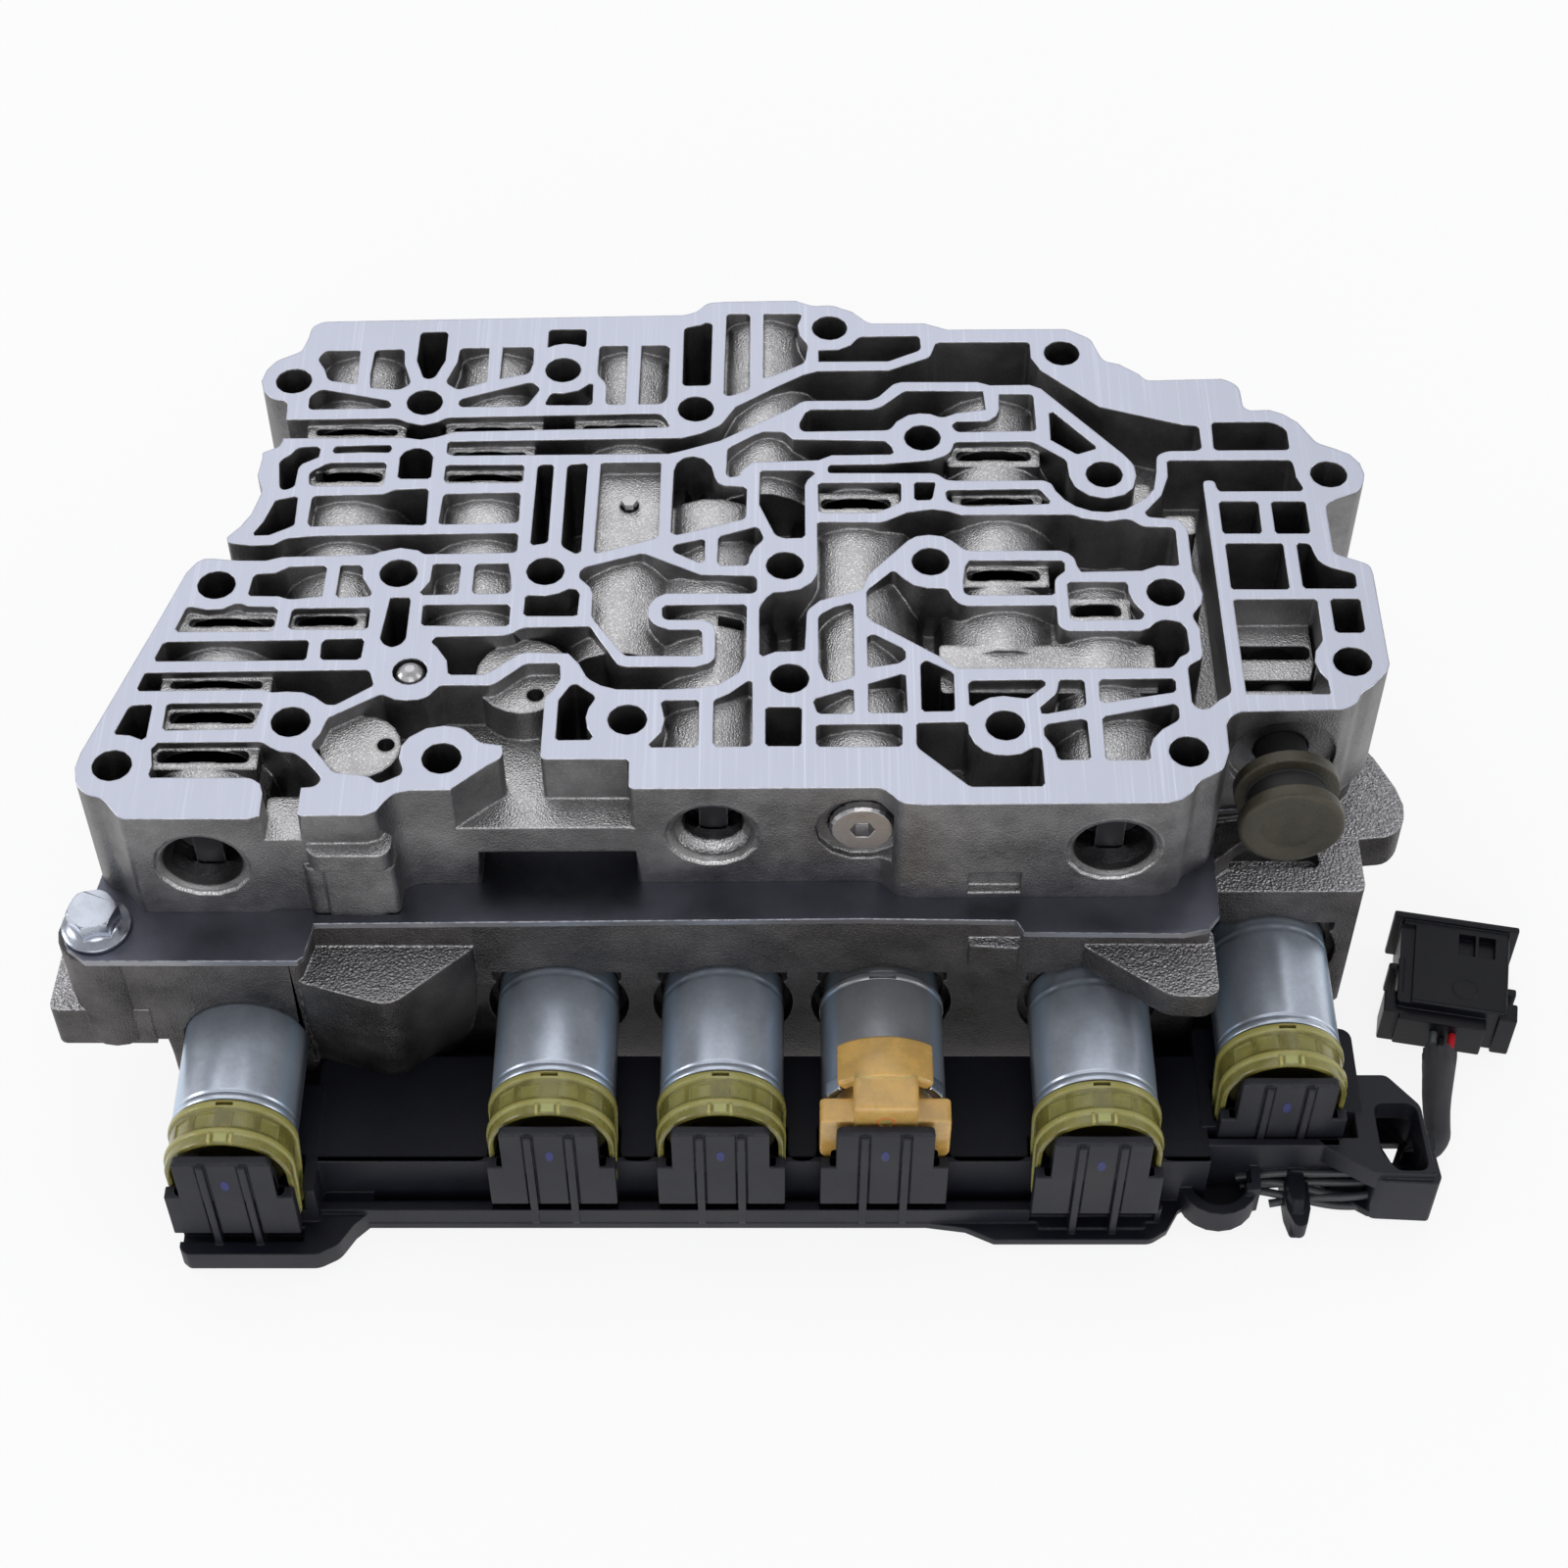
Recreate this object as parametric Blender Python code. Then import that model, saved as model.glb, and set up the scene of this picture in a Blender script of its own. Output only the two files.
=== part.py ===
# Transmission valve body: an upper worm-track casting, a separator plate and a lower casting,
# with six solenoids in a connector carrier, sprung spool valves, and a plug on a short lead.
# X runs to the right, Y away from the solenoids, Z up. The unit stands on the plane Z = 0.
import math

import bmesh
import bpy
from mathutils import Vector

MM = 0.001

# Driving dimensions, in metres
LOWER_HEIGHT = 47.5 * MM
PLATE_THICKNESS = 1.5 * MM
UPPER_HEIGHT = 26.0 * MM
FIT_GAP = 0.3 * MM
BOLT_HOLE_RADIUS = 3.5 * MM
PLATE_HOLE_RADIUS = 3.8 * MM
LOWER_HOLE_RADIUS = 3.6 * MM
BOLT_HOLE_SIDES = 12
HIDDEN_HOLE_SIDES = 8

# Heights of the stack
PLATE_LOW = LOWER_HEIGHT
PLATE_TOP = PLATE_LOW + PLATE_THICKNESS
TOP = PLATE_TOP + UPPER_HEIGHT

# Worm tracks and valve barrels of the upper casting, as depths below its top face
TRACK_DEPTH = 13.0 * MM
DEEP_TRACK_DEPTH = 19.0 * MM
WINDOW_DEPTH = 3.0 * MM
PLATEAU_DEPTH = 3.2 * MM
FRONT_RECESS_DEPTH = 10.5 * MM
BARREL_RADIUS = 12.0 * MM
BARREL_AXIS_DEPTH = 13.6 * MM
BARREL_STEPS = 9
BARREL_HALF_WIDTH = 11.9 * MM
BARREL_CORE_HALF_WIDTH = 7.4 * MM
PORT_DEPTH = 20.5 * MM
ABOVE = 2.0 * MM

# Valve trains
BORE_SIDES = 14
MOUTH_RADIUS = 8.4 * MM
MOUTH_DEPTH = 3.2 * MM
KEY_SETBACK = 6.0 * MM
KEY_THICKNESS = 2.0 * MM
KEY_WIDTH = 5.0 * MM
KEY_RISE = 3.5 * MM
PLUG_LENGTH = 8.0 * MM
PLUG_SLOT_WIDTH = 2.4 * MM
PLUG_SLOT_DEPTH = 2.0 * MM
SPRING_WIRE = 0.55 * MM
SPRING_TURNS = 5
SPRING_RADIUS = 4.2 * MM
SPOOL_STEM_RADIUS = 3.4 * MM
BORE_AXIS_DEPTH = 12.8 * MM

# Solenoids
CAN_RADIUS = 11.0 * MM
CAN_LENGTH = 23.0 * MM
CAN_AXIS_HEIGHT = 22.6 * MM
CAN_SIDES = 24
CAN_RIM_RADIUS = 11.3 * MM
CAN_RIM_LENGTH = 0.9 * MM
CAN_SEAT_DEPTH = 3.0 * MM
NOSE_RADIUS = 6.6 * MM
NOSE_TIP_RADIUS = 5.4 * MM
NOSE_LENGTH = 15.0 * MM
NOSE_SIDES = 14
NOSE_STEP = 7.0 * MM
CAP_LENGTH = 8.6 * MM
CAP_WALL = 1.6 * MM
CAP_LEG_BOTTOM = 9.5 * MM

# Connector carrier
CARRIER_BOTTOM = 1.0 * MM
CARRIER_FLOOR = 2.6 * MM
CARRIER_LIP_TOP = 6.9 * MM
SHELF_TOP = 15.6 * MM
PANEL_TOP = 27.6 * MM
PANEL_THICKNESS = 2.2 * MM
PANEL_HALF_WIDTH = 9.6 * MM
PANEL_RIB_WIDTH = 1.3 * MM
PANEL_RIB_DEPTH = 0.9 * MM
PANEL_RIB_X = 3.6 * MM
PANEL_SHOULDER = 1.6 * MM
PANEL_FOOT_LENGTH = 6.0 * MM

# Sealing piston: a grooved head in front of a spool stem
PISTON_RADIUS = 9.2 * MM
PISTON_GROOVE_RADIUS = 7.5 * MM
PISTON_STEM_RADIUS = 4.6 * MM
PISTON_FRONT_Y = 3.3 * MM
PISTON_RIM = 2.9 * MM
PISTON_GROOVE = 5.0 * MM
PISTON_FLANGE = 2.5 * MM
PISTON_STEM_LENGTH = 24.0 * MM
PISTON_TRAVEL = 5.0 * MM
PISTON_COUNTERBORE_Y = 21.6 * MM

# Plug and lead
PLUG_WIDTH = 23.4 * MM
PLUG_BODY_LENGTH = 24.0 * MM
PLUG_HEIGHT = 12.0 * MM
PLUG_WALL = 1.8 * MM
PLUG_CAVITY_DEPTH = 14.0 * MM
PLUG_TURN = -10.5
PLUG_CENTRE = (126.2 * MM, 10.4 * MM)
PLUG_FLANGE = 1.6 * MM
LOCK_LENGTH = 7.0 * MM
WIRE_RADIUS = 0.75 * MM
SLEEVE_RADIUS = 2.6 * MM


def metres(points):
    return [tuple(value * MM for value in point) for point in points]


def arc(centre, radius, start, end, steps):
    points = []
    for step in range(steps + 1):
        angle = math.radians(start + (end - start) * step / steps)
        points.append((centre[0] + radius * math.cos(angle), centre[1] + radius * math.sin(angle)))
    return points


def circle(centre, radius, sides):
    return arc(centre, radius, 0.0, 360.0 * (sides - 1) / sides, sides - 1)


def rectangle(left, right, near, far):
    return [(left, near), (right, near), (right, far), (left, far)]


# Bolt holes through both castings, as plan centres
BOLT_HOLES = metres([
    (-113.9, 7.3), (-101.2, 49.4), (-68.8, 52.3), (-42.4, 52.8), (9.4, 117.7), (-92.9, 102.7),
    (-67.5, 96.8), (-41.7, 105.8), (-16.1, 95.0), (26.5, 87.2), (59.9, 77.5), (0.7, 54.2),
    (27.0, 55.2), (68.8, 47.6), (1.5, 27.1), (-26.5, 17.6), (38.6, 16.3), (69.7, 10.4),
    (100.2, 31.0), (101.5, 77.5), (-84.5, 17.1), (-57.9, 8.9), (54.0, 110.5),
])

# Outer edge of the upper casting, clockwise from the front left corner
UPPER_OUTLINE = metres([
    (-111.0, -4.4), (-112.6, -2.4), (-114.6, 0.1), (-117.4, 0.8), (-119.4, 3.0), (-120.1, 6.8),
    (-119.6, 10.2), (-110.0, 42.0), (-107.0, 52.4), (-105.4, 55.0), (-104.2, 55.9), (-99.4, 55.9),
    (-100.8, 61.2), (-98.6, 64.0), (-97.0, 67.2), (-95.6, 73.2), (-97.0, 77.2), (-96.6, 81.8),
    (-96.8, 83.2), (-93.8, 84.8), (-93.3, 86.4), (-93.3, 92.2), (-93.5, 97.0), (-96.4, 97.6),
    (-98.4, 99.8), (-99.1, 102.7), (-98.4, 105.8), (-96.8, 108.4), (-92.3, 111.0), (-91.3, 115.0),
    (-91.0, 118.0), (-89.0, 119.5), (-19.0, 121.4), (-16.6, 122.2), (-14.4, 124.9), (-11.0, 125.3),
    (2.8, 125.6), (6.2, 124.0), (9.8, 124.3), (13.8, 122.4), (17.0, 119.0), (27.8, 119.0),
    (32.2, 117.2), (55.4, 117.4), (59.8, 114.6), (61.2, 110.0), (62.0, 108.2), (64.8, 107.4),
    (68.4, 104.6), (69.6, 102.8), (84.0, 103.3), (86.0, 102.4), (87.2, 100.8), (87.4, 95.6),
    (88.4, 94.6), (92.4, 94.7), (94.8, 93.6), (97.2, 91.4), (100.2, 85.8), (103.2, 84.4),
    (106.0, 82.8), (107.6, 80.4), (108.1, 77.6), (107.6, 74.8), (106.0, 72.8), (102.0, 71.0),
    (100.0, 69.6), (100.0, 57.2), (103.2, 55.8), (106.2, 54.4), (106.5, 52.0), (106.6, 30.4),
    (106.0, 28.8), (103.2, 25.4), (100.8, 23.6), (100.0, 21.6), (97.6, 19.9), (79.6, 19.4),
    (77.6, 18.4), (76.7, 16.4), (76.6, 10.4), (75.2, 6.4), (70.6, 3.6), (69.6, 1.6), (67.6, -0.2),
    (65.2, -0.9), (23.8, -1.3), (20.2, -0.9), (19.0, 0.6), (17.0, 2.4), (-57.4, 1.9), (-63.0, 1.8),
    (-65.4, 1.2), (-66.8, -0.4), (-68.2, -2.8), (-70.2, -3.6), (-88.0, -3.8), (-89.4, -4.4),
])

# Worm tracks of the usual depth
TRACKS = {
    "rear_left_1": [(-87.8, 111.2), (-81, 111.3), (-80.8, 101.8), (-86.4, 102.8), (-87.4, 106),
                    (-89, 108.8)],
    "rear_left_2": [(-78.2, 111.4), (-72.5, 111.7), (-72.2, 107.6), (-70.5, 102), (-72.6, 100.2),
                    (-78.2, 100.8), (-78.5, 104.4)],
    "rear_left_wedge": [(-87.6, 100.5), (-74, 97.2), (-73.7, 95.2), (-89.4, 94.8), (-89.5, 98.4)],
    "rear_left_3": [(-61.8, 112), (-56.2, 112), (-56.1, 102.5), (-61.5, 100.2), (-64, 102.2),
                    (-62.1, 108)],
    "rear_left_4": [(-53.6, 112.2), (-47.6, 112.3), (-47.5, 107.6), (-48.2, 104.7), (-53.7, 103.3)],
    "rear_wedge": [(-47.6, 102.5), (-45.7, 100.6), (-48.2, 95.7), (-61, 95.5), (-61.1, 97.6)],
    "rear_boss": [(-35.8, 101.8), (-35.7, 96), (-44.9, 96), (-43.7, 99.5), (-41.4, 99.3),
                  (-38.6, 100.1), (-36.5, 102)],
    "rear_5": [(-35, 112.6), (-29.5, 112.7), (-29.5, 96.2), (-33.2, 96.2), (-33.3, 102),
               (-35.1, 104.4)],
    "rear_6": [(-26.9, 112.7), (-21.4, 112.8), (-21.5, 98), (-22.6, 96.3), (-27, 96.3)],
    "rear_7": [(-10.6, 121.8), (-6, 121.8), (-6, 100.2), (-9.8, 98.5), (-10.9, 99)],
    "rear_8": [(-3.4, 121.8), (4.2, 121.8), (3.2, 118.4), (3.6, 115.6), (5.2, 112.8), (4.6, 107.8),
               (-1, 104.4), (-3.4, 103.4)],
    "rear_9": [(7.2, 111.4), (11, 111.5), (13.4, 112.8), (15, 115.2), (26.8, 115.5), (27, 111.4),
               (20.6, 108.2), (7.2, 108.1)],
    "left_channel": [(-97, 92), (-72.6, 92.5), (-70.5, 91.4), (-67.5, 90.6), (-64.6, 91.5),
                     (-63, 92.7), (-22.8, 93.8), (-21.6, 92), (-20.9, 90.2), (-22, 90), (-61, 88.8),
                     (-64.5, 87.4), (-67.4, 86.7), (-70.4, 87.2), (-97, 87)],
    "valve_track_1": [(5.6, 94.9), (17.8, 94.9), (19.4, 96), (23.4, 100), (38.4, 99.9),
                      (38.7, 94.8), (33, 93.8), (30.4, 92.5), (28.2, 93.6), (26.2, 93.8),
                      (24, 93.3), (21.8, 91.6), (20.4, 89.2), (3.8, 88.8), (3.3, 90.8), (4.6, 94)],
    "valve_track_2": [(41.4, 99.1), (47.9, 99.1), (48, 89), (32.8, 88.7), (32.1, 90.6), (33, 91.6),
                      (39, 91.7), (40.6, 93.2), (41.2, 94.8)],
    "right_triangle": [(50.6, 93.8), (51.4, 94.2), (58.8, 85), (58.8, 84.2), (55.4, 82.8),
                       (54.8, 83), (50.5, 86.6)],
    "rear_right": [(81, 91.4), (92.4, 91.5), (95, 89.4), (95, 83.9), (80.8, 83.8)],
    "long_track": [(-62.4, 85.6), (-62, 86.2), (-18.6, 87.2), (-15, 88.4), (-11.4, 90.6),
                   (-8.6, 95.6), (-1, 101), (4.2, 104.4), (7, 105.5), (20.6, 105.7), (28.6, 109.4),
                   (29.8, 113.2), (30.6, 113.6), (48, 113.7), (48, 109.2), (49.8, 105.6),
                   (60.2, 95.6), (75.6, 90.7), (78, 90.5), (78.6, 89.8), (78.6, 84.4),
                   (77.6, 83.7), (72, 83.6), (70, 82.4), (69.6, 78), (68.8, 73.6), (67.2, 71.4),
                   (65.2, 69.8), (63.2, 68.4), (60, 67.7), (57, 67.9), (54, 69.2), (52.2, 70.8),
                   (50.6, 73.2), (50, 75), (48.6, 75.9), (32.2, 75.8), (30.6, 76), (28.6, 77.8),
                   (8.8, 77.8), (8.6, 79), (9, 80), (19, 80.2), (27.8, 81.2), (30.2, 82.2),
                   (31.8, 83.6), (32.3, 85.6), (32.8, 86.1), (46.6, 86.3), (47.8, 85.6), (53, 81.4),
                   (53.2, 80.4), (53.4, 77), (54.4, 74), (56.8, 72), (60, 71.2), (63.2, 72.2),
                   (65, 74), (65.8, 77), (65.6, 80), (63.8, 82.8), (49.4, 100.6), (47.4, 101.6),
                   (39.8, 101.5), (37.4, 102.4), (23, 102.4), (21.4, 101.8), (18.6, 98.4),
                   (17, 97.3), (4.2, 97.2), (1.4, 94.8), (-5, 90.6), (-11.4, 86.4), (-15, 85),
                   (-19, 83.5), (-21, 82.9), (-61, 82.4), (-62.4, 83)],
    "left_slot_1": [(-83.4, 84.9), (-77.4, 85.2), (-73, 85.3), (-72.6, 84.4), (-73, 83.2),
                    (-77.8, 83.3), (-83.2, 83), (-83.7, 83.6)],
    "left_slot_2": [(-84.6, 80.2), (-83.6, 80.6), (-73.8, 80.7), (-73.3, 80), (-73.4, 75),
                    (-74, 74.5), (-86, 74.4), (-87.2, 74.8), (-87.5, 78)],
    "left_hump_1": [(-86.3, 71.9), (-73.4, 72.3), (-71.2, 73.5), (-65, 73.9), (-64.8, 64.8),
                    (-65.4, 64.3), (-73, 64.6), (-85.8, 64), (-86.5, 64.8)],
    "cross_channel": [(-104, 60.4), (-96.2, 59.2), (-92.2, 59.4), (-89.8, 61.1), (-84.2, 61.7),
                      (-47.8, 62.4), (-47.8, 57.4), (-64.6, 57), (-65.8, 58), (-69, 58.6),
                      (-72.6, 57.6), (-73.8, 56.9), (-90.2, 56.3), (-93, 55.4), (-97.8, 55.4),
                      (-104, 56)],
    "left_slot_3": [(-62.3, 79.6), (-61.6, 80), (-48, 80), (-47.7, 79.4), (-47.7, 75.8),
                    (-48.2, 75.3), (-61.8, 75.2), (-62.4, 76)],
    "left_hump_2": [(-62.2, 72.4), (-48, 72.8), (-47.9, 65), (-61.6, 64.5), (-62.6, 64.8)],
    "left_mid_1": [(-94.8, 52.1), (-91, 52.4), (-88.6, 53.9), (-82.4, 54.2), (-81.8, 53.6),
                   (-82, 46.6), (-87.8, 45.8), (-89.8, 46.6), (-94.8, 46.7), (-95.3, 47.2)],
    "left_mid_2": [(-79.4, 54), (-79, 54.3), (-75.4, 54.3), (-75.1, 51.2), (-73.2, 47.6),
                   (-73.4, 46.6), (-79, 46.3), (-79.6, 47)],
    "left_mid_3": [(-62.8, 54.3), (-62.2, 54.7), (-58.2, 54.7), (-57.7, 54), (-57.8, 47.6),
                   (-58.2, 47.1), (-64, 46.9), (-64.6, 47.6), (-63, 50.4)],
    "left_mid_4": [(-55.2, 54.6), (-49.2, 54.8), (-48.6, 51.6), (-48.3, 48.4), (-48.9, 47.3),
                   (-54.8, 47.2), (-55.3, 48)],
    "front_left_1": [(-105.8, 44.3), (-102.2, 43.4), (-99.4, 43.6), (-97.4, 44.8), (-96.4, 44.9),
                     (-95, 44.2), (-90.3, 44.1), (-89.5, 43.3), (-89.7, 39.0), (-90.4, 38.2),
                     (-106.6, 38.0), (-107.2, 38.7)],
    "front_left_2": [(-87, 43.7), (-73.4, 43.9), (-73.1, 43.2), (-73.1, 39.2), (-73.8, 38.6),
                     (-86.6, 38.6), (-87.3, 39.2)],
    "front_left_3": [(-63.8, 44.2), (-63.2, 44.6), (-48.8, 44.7), (-48.2, 44), (-48.2, 39.9),
                     (-48.8, 39.4), (-63.2, 39.5), (-63.8, 40)],
    "front_left_4": [(-45.7, 46.4), (-45.2, 46.9), (-42, 46.8), (-39.8, 47.4), (-37.8, 48.6),
                     (-36.4, 48.2), (-36, 47), (-36.2, 42.1), (-37, 41.8), (-45.2, 41.8),
                     (-45.8, 42.4)],
    "front_hump_1": [(-109.6, 31), (-109.9, 31.8), (-109, 35.2), (-108.2, 35.7), (-83.6, 36.1),
                     (-83.2, 35.4), (-83.3, 31.8), (-83.8, 31.3), (-94.6, 31.2)],
    "front_slot_1": [(-111.2, 28.2), (-110.6, 28.4), (-72, 29.1), (-71, 25.8), (-71.2, 25.2),
                     (-76.2, 21.6), (-77.2, 20.9), (-78.8, 21), (-81, 22.8), (-83, 23.8),
                     (-85.8, 24), (-88.4, 23.8), (-90, 24.4), (-111.6, 24.1), (-112, 24.8)],
    "front_slot_2": [(-106.4, 20.8), (-105.8, 21.3), (-90.2, 21.5), (-89.7, 21), (-90.2, 19),
                     (-90.5, 16.4), (-91, 15.6), (-105.8, 15.1), (-106.4, 15.7)],
    "front_notch": [(-107.7, 11), (-106.8, 12.4), (-89, 12.6), (-87.4, 11.4), (-85.8, 10.4),
                    (-83.4, 10.3), (-81, 8.4), (-78.6, 5.4), (-78, 4.4), (-78.4, 3.2),
                    (-79.2, 2.6), (-81.2, 2.4), (-81.4, -8), (-87.5, -8), (-87.6, 1.2),
                    (-88.2, 3.2), (-90, 4.6), (-107, 4.6), (-107.4, 5.4), (-107.1, 7.2)],
    "bent_track": [(-19.9, 78.4), (-19.4, 80.4), (-18.2, 81.8), (-16.4, 82.3), (-14.4, 81.6),
                   (-12.9, 79.6), (-12.3, 76.8), (-11.6, 75.2), (-10.6, 74.6), (-7, 74.3),
                   (-6.3, 73.6), (-6.4, 66), (-19, 61.8), (-20.1, 62.4)],
    "centre_1": [(-19.4, 59.4), (-14.4, 60.8), (-13.8, 60.4), (-13.8, 55.6), (-14.4, 55),
                 (-15, 55), (-19.2, 57.4), (-19.6, 58.2)],
    "centre_2": [(-11, 61.6), (-4.8, 63.9), (-4, 63.5), (-3, 60.9), (-4.8, 58.6), (-5.7, 56.4),
                 (-5.9, 54.8), (-6.4, 54.2), (-11, 54.2), (-11.5, 55), (-11.4, 60.8)],
    "centre_3": [(-10, 84.2), (-9.2, 85), (-5, 88), (-3.2, 88.9), (0.6, 88.8), (2.2, 86.8),
                 (19.4, 86.4), (20.6, 85), (21, 83.2), (20.4, 82.7), (9.4, 82.5), (7, 81.2),
                 (-5.4, 80.6), (-7, 78.8), (-7.6, 77), (-9.6, 76.7), (-10.2, 77.6)],
    "centre_4": [(-3.9, 78), (-3.4, 78.5), (5.4, 78.6), (6.4, 77.8), (4.9, 76), (4.4, 74.6),
                 (4.4, 61.8), (3.8, 61.1), (0.8, 61), (-1, 61.6), (-4, 69.6)],
    "centre_slot_1": [(6.8, 74.8), (7.4, 75.3), (21.8, 75.4), (22.2, 74.8), (22.1, 70.6),
                      (21.4, 69.7), (18.2, 67.8), (17.4, 67.5), (7.6, 67.5), (6.9, 68)],
    "centre_slot_2": [(30.3, 72.8), (30.8, 73.4), (47.4, 73.7), (48, 73.2), (49.5, 70.6),
                      (49.2, 69.8), (35, 69.1), (33.4, 69.3), (30.6, 70.4)],
    "central_track": [(6.6, 64.8), (7.2, 65.2), (18.6, 65.1), (20.6, 66.2), (23, 67.6),
                      (27.8, 68.5), (30.6, 68), (33, 67), (53.4, 67.1), (55, 66.2), (59.6, 65.4),
                      (63.6, 66.1), (66, 64), (71.2, 63.9), (71.9, 63.2), (71.8, 54.4),
                      (71.2, 54.1), (68, 54.2), (65, 52.9), (54, 52.6), (53.4, 54), (53, 56),
                      (52, 57.2), (50.6, 57.9), (33.4, 57.9), (31, 60.4), (29.4, 61.5),
                      (27, 61.9), (24.6, 61.5), (23, 60.4), (15.8, 52), (14.9, 49.2),
                      (14.4, 48.2), (7, 45.6), (4.6, 43.2), (4.2, 34), (3.6, 33.5), (-1, 33.3),
                      (-3.2, 32.2), (-3.8, 32.8), (-3.9, 44), (-2.6, 46.4), (-1.4, 47.6),
                      (0.7, 47.8), (3.4, 48.4), (5.4, 50), (6.6, 52.2)],
    "port_track": [(32.7, 50.4), (33.2, 54), (34, 55.5), (50.6, 55.5), (51.2, 54.8), (51.1, 52.8),
                   (49.2, 51), (49, 47.4), (48.4, 46.9), (33.4, 46.9), (32.7, 47.6)],
    "marked_track": [(20.2, 53.2), (22.2, 50.8), (23.8, 49.4), (26.2, 48.7), (29.8, 48.6),
                     (30.6, 46.4), (31.8, 44.8), (33.4, 44.3), (48.6, 44.5), (49.1, 44),
                     (49.1, 40), (49.8, 38.8), (51, 38.3), (63.6, 38.3), (65.2, 39),
                     (66.6, 40.6), (68.6, 41.1), (70.8, 40.4), (71.8, 38.8), (71.9, 33.2),
                     (70, 32), (68.8, 30), (68, 29.5), (30.4, 29.4), (27.8, 32.2), (16.2, 40.6),
                     (15.3, 41.8), (15.3, 47.6), (15.8, 48.6)],
    "right_slot": [(51.3, 49.6), (51.8, 50.2), (61.8, 50.2), (62.2, 49.4), (62.2, 47.6),
                   (63, 45), (64.7, 42.4), (64, 41), (52.4, 40.8), (51.4, 41.4)],
    "frame_channel": [(71.8, 80.8), (72.4, 81.2), (95, 81.3), (95.3, 79.2), (95.4, 76.8),
                      (96.4, 74), (96, 73.1), (80.8, 73), (80.4, 74), (80.2, 75.5), (79.2, 76),
                      (78.2, 75.6), (78, 74.8), (78.3, 23.6), (76, 22), (74, 20), (72.8, 20),
                      (71.8, 20.4), (71.2, 21.6), (71.2, 30), (73.6, 31.6), (74.1, 32.6),
                      (74.1, 38.8), (73, 42), (74.9, 44.8), (75.4, 47.2), (74.9, 50),
                      (74.1, 52.8), (74.1, 63.2), (72.8, 65.8), (67.2, 66.4), (66.6, 67.6),
                      (70, 72), (71.6, 76.8)],
    "grid_1": [(80.4, 70), (81, 70.5), (87.2, 70.5), (87.7, 69.8), (87.6, 62.8), (87.2, 62.2),
               (80.8, 62.2), (80.4, 62.8)],
    "grid_4": [(93.5, 59.2), (94, 59.9), (96, 59.8), (96.4, 57.6), (97, 55.6), (98.4, 54),
               (102.8, 52.4), (103.3, 51.8), (103.2, 49.2), (102.6, 48.5), (94, 48.5),
               (93.5, 49.2)],
    "grid_5": [(80.7, 45.6), (81.4, 45.9), (95.2, 46), (95.7, 45.4), (95.6, 36), (94, 33.4),
               (93.6, 31), (94.2, 28.6), (95.4, 26.6), (95.5, 23.8), (95.2, 23.4), (80.8, 23.4)],
    "joined_track": [(-61.7, 35.6), (-61, 36.9), (-49, 37.2), (-47.4, 37.8), (-45.8, 39.1),
                     (-34.2, 39.4), (-33.6, 39), (-32.2, 36.4), (-28.6, 30.2), (-27, 29.8),
                     (-15, 29.8), (-12.6, 30.6), (-11.6, 32), (-11.6, 38.4), (-12.2, 40),
                     (-13.8, 40.9), (-20.4, 40.9), (-21.1, 41.6), (-21.2, 43.8), (-20.6, 44.5),
                     (-6.7, 44.7), (-6.1, 44.1), (-6.2, 32.4), (-7.4, 28.4), (-11, 25.6),
                     (-15, 24.8), (-19.8, 24.5), (-28.6, 24.5), (-31.4, 25.4), (-33.8, 27),
                     (-35.4, 30.4), (-37.4, 32.9), (-44.6, 33.1), (-46, 32.8), (-50.8, 28.6),
                     (-52, 27.9), (-57.6, 27.9), (-58.2, 28.3), (-58.6, 31.2), (-60.6, 34.4)],
    "enclosed_track": [(-36.2, 52.8), (-35.4, 53.8), (-25.4, 57.2), (-24.6, 57.1), (-14.4, 51.9),
                       (-5, 51.7), (-4.3, 51), (-4.3, 48), (-5, 47.3), (-20.6, 47.3),
                       (-22.6, 46.2), (-23.7, 44), (-23.6, 41.6), (-22.4, 39.6), (-19.8, 38.6),
                       (-14.6, 38.6), (-14, 38), (-13.8, 32.8), (-14.4, 32.3), (-27.2, 32.3),
                       (-28.2, 33.2), (-33.2, 40.8), (-33.7, 42), (-33.7, 47.2), (-34.2, 48.8),
                       (-36.3, 51.2)],
    "front_1": [(-20.8, 21.4), (-20.2, 22), (-14.8, 22.1), (-14.2, 21.6), (-14.2, 12),
                (-14.8, 11.4), (-22.2, 11.3), (-22.7, 12), (-20.6, 14.8), (-20.1, 17.6)],
    "front_2": [(-11.7, 22), (-9, 23.6), (-6.2, 26.2), (-5.6, 26.5), (-5, 26.2), (-4.9, 12.2),
                (-5.6, 11.5), (-11, 11.5), (-11.7, 12.2)],
    "front_3": [(6.6, 30.8), (7.6, 27), (8.8, 26.1), (12.2, 27.2), (12.8, 27.8), (12.9, 44.4),
                (12.4, 45), (9.4, 44), (6.6, 42)],
    "front_4": [(15.2, 36.8), (15.8, 37.4), (16.6, 37.4), (21.4, 34.2), (21.9, 33.4),
                (21.9, 31.6), (20.6, 30.6), (15.8, 29.6), (15.2, 30)],
    "front_5": [(15.2, 25.8), (21, 28.1), (21.8, 27.8), (21.9, 19.6), (21.4, 19.1), (15.6, 19.1),
                (15.1, 19.6)],
    "front_6": [(5.6, 21.6), (6, 22.4), (11.8, 24.6), (12.6, 24.4), (12.7, 19.6), (12.2, 18.9),
                (6.8, 18.9), (6.2, 19.4)],
    "front_7": [(6, 16), (6.6, 16.5), (20.4, 16.6), (20.9, 16), (20.8, 12), (20.2, 11.5),
                (6.6, 11.5), (6, 12.2)],
    "front_8": [(23.3, 16.4), (23.8, 16.9), (31.6, 17.1), (32.2, 16.4), (32.3, 14.4),
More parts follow.
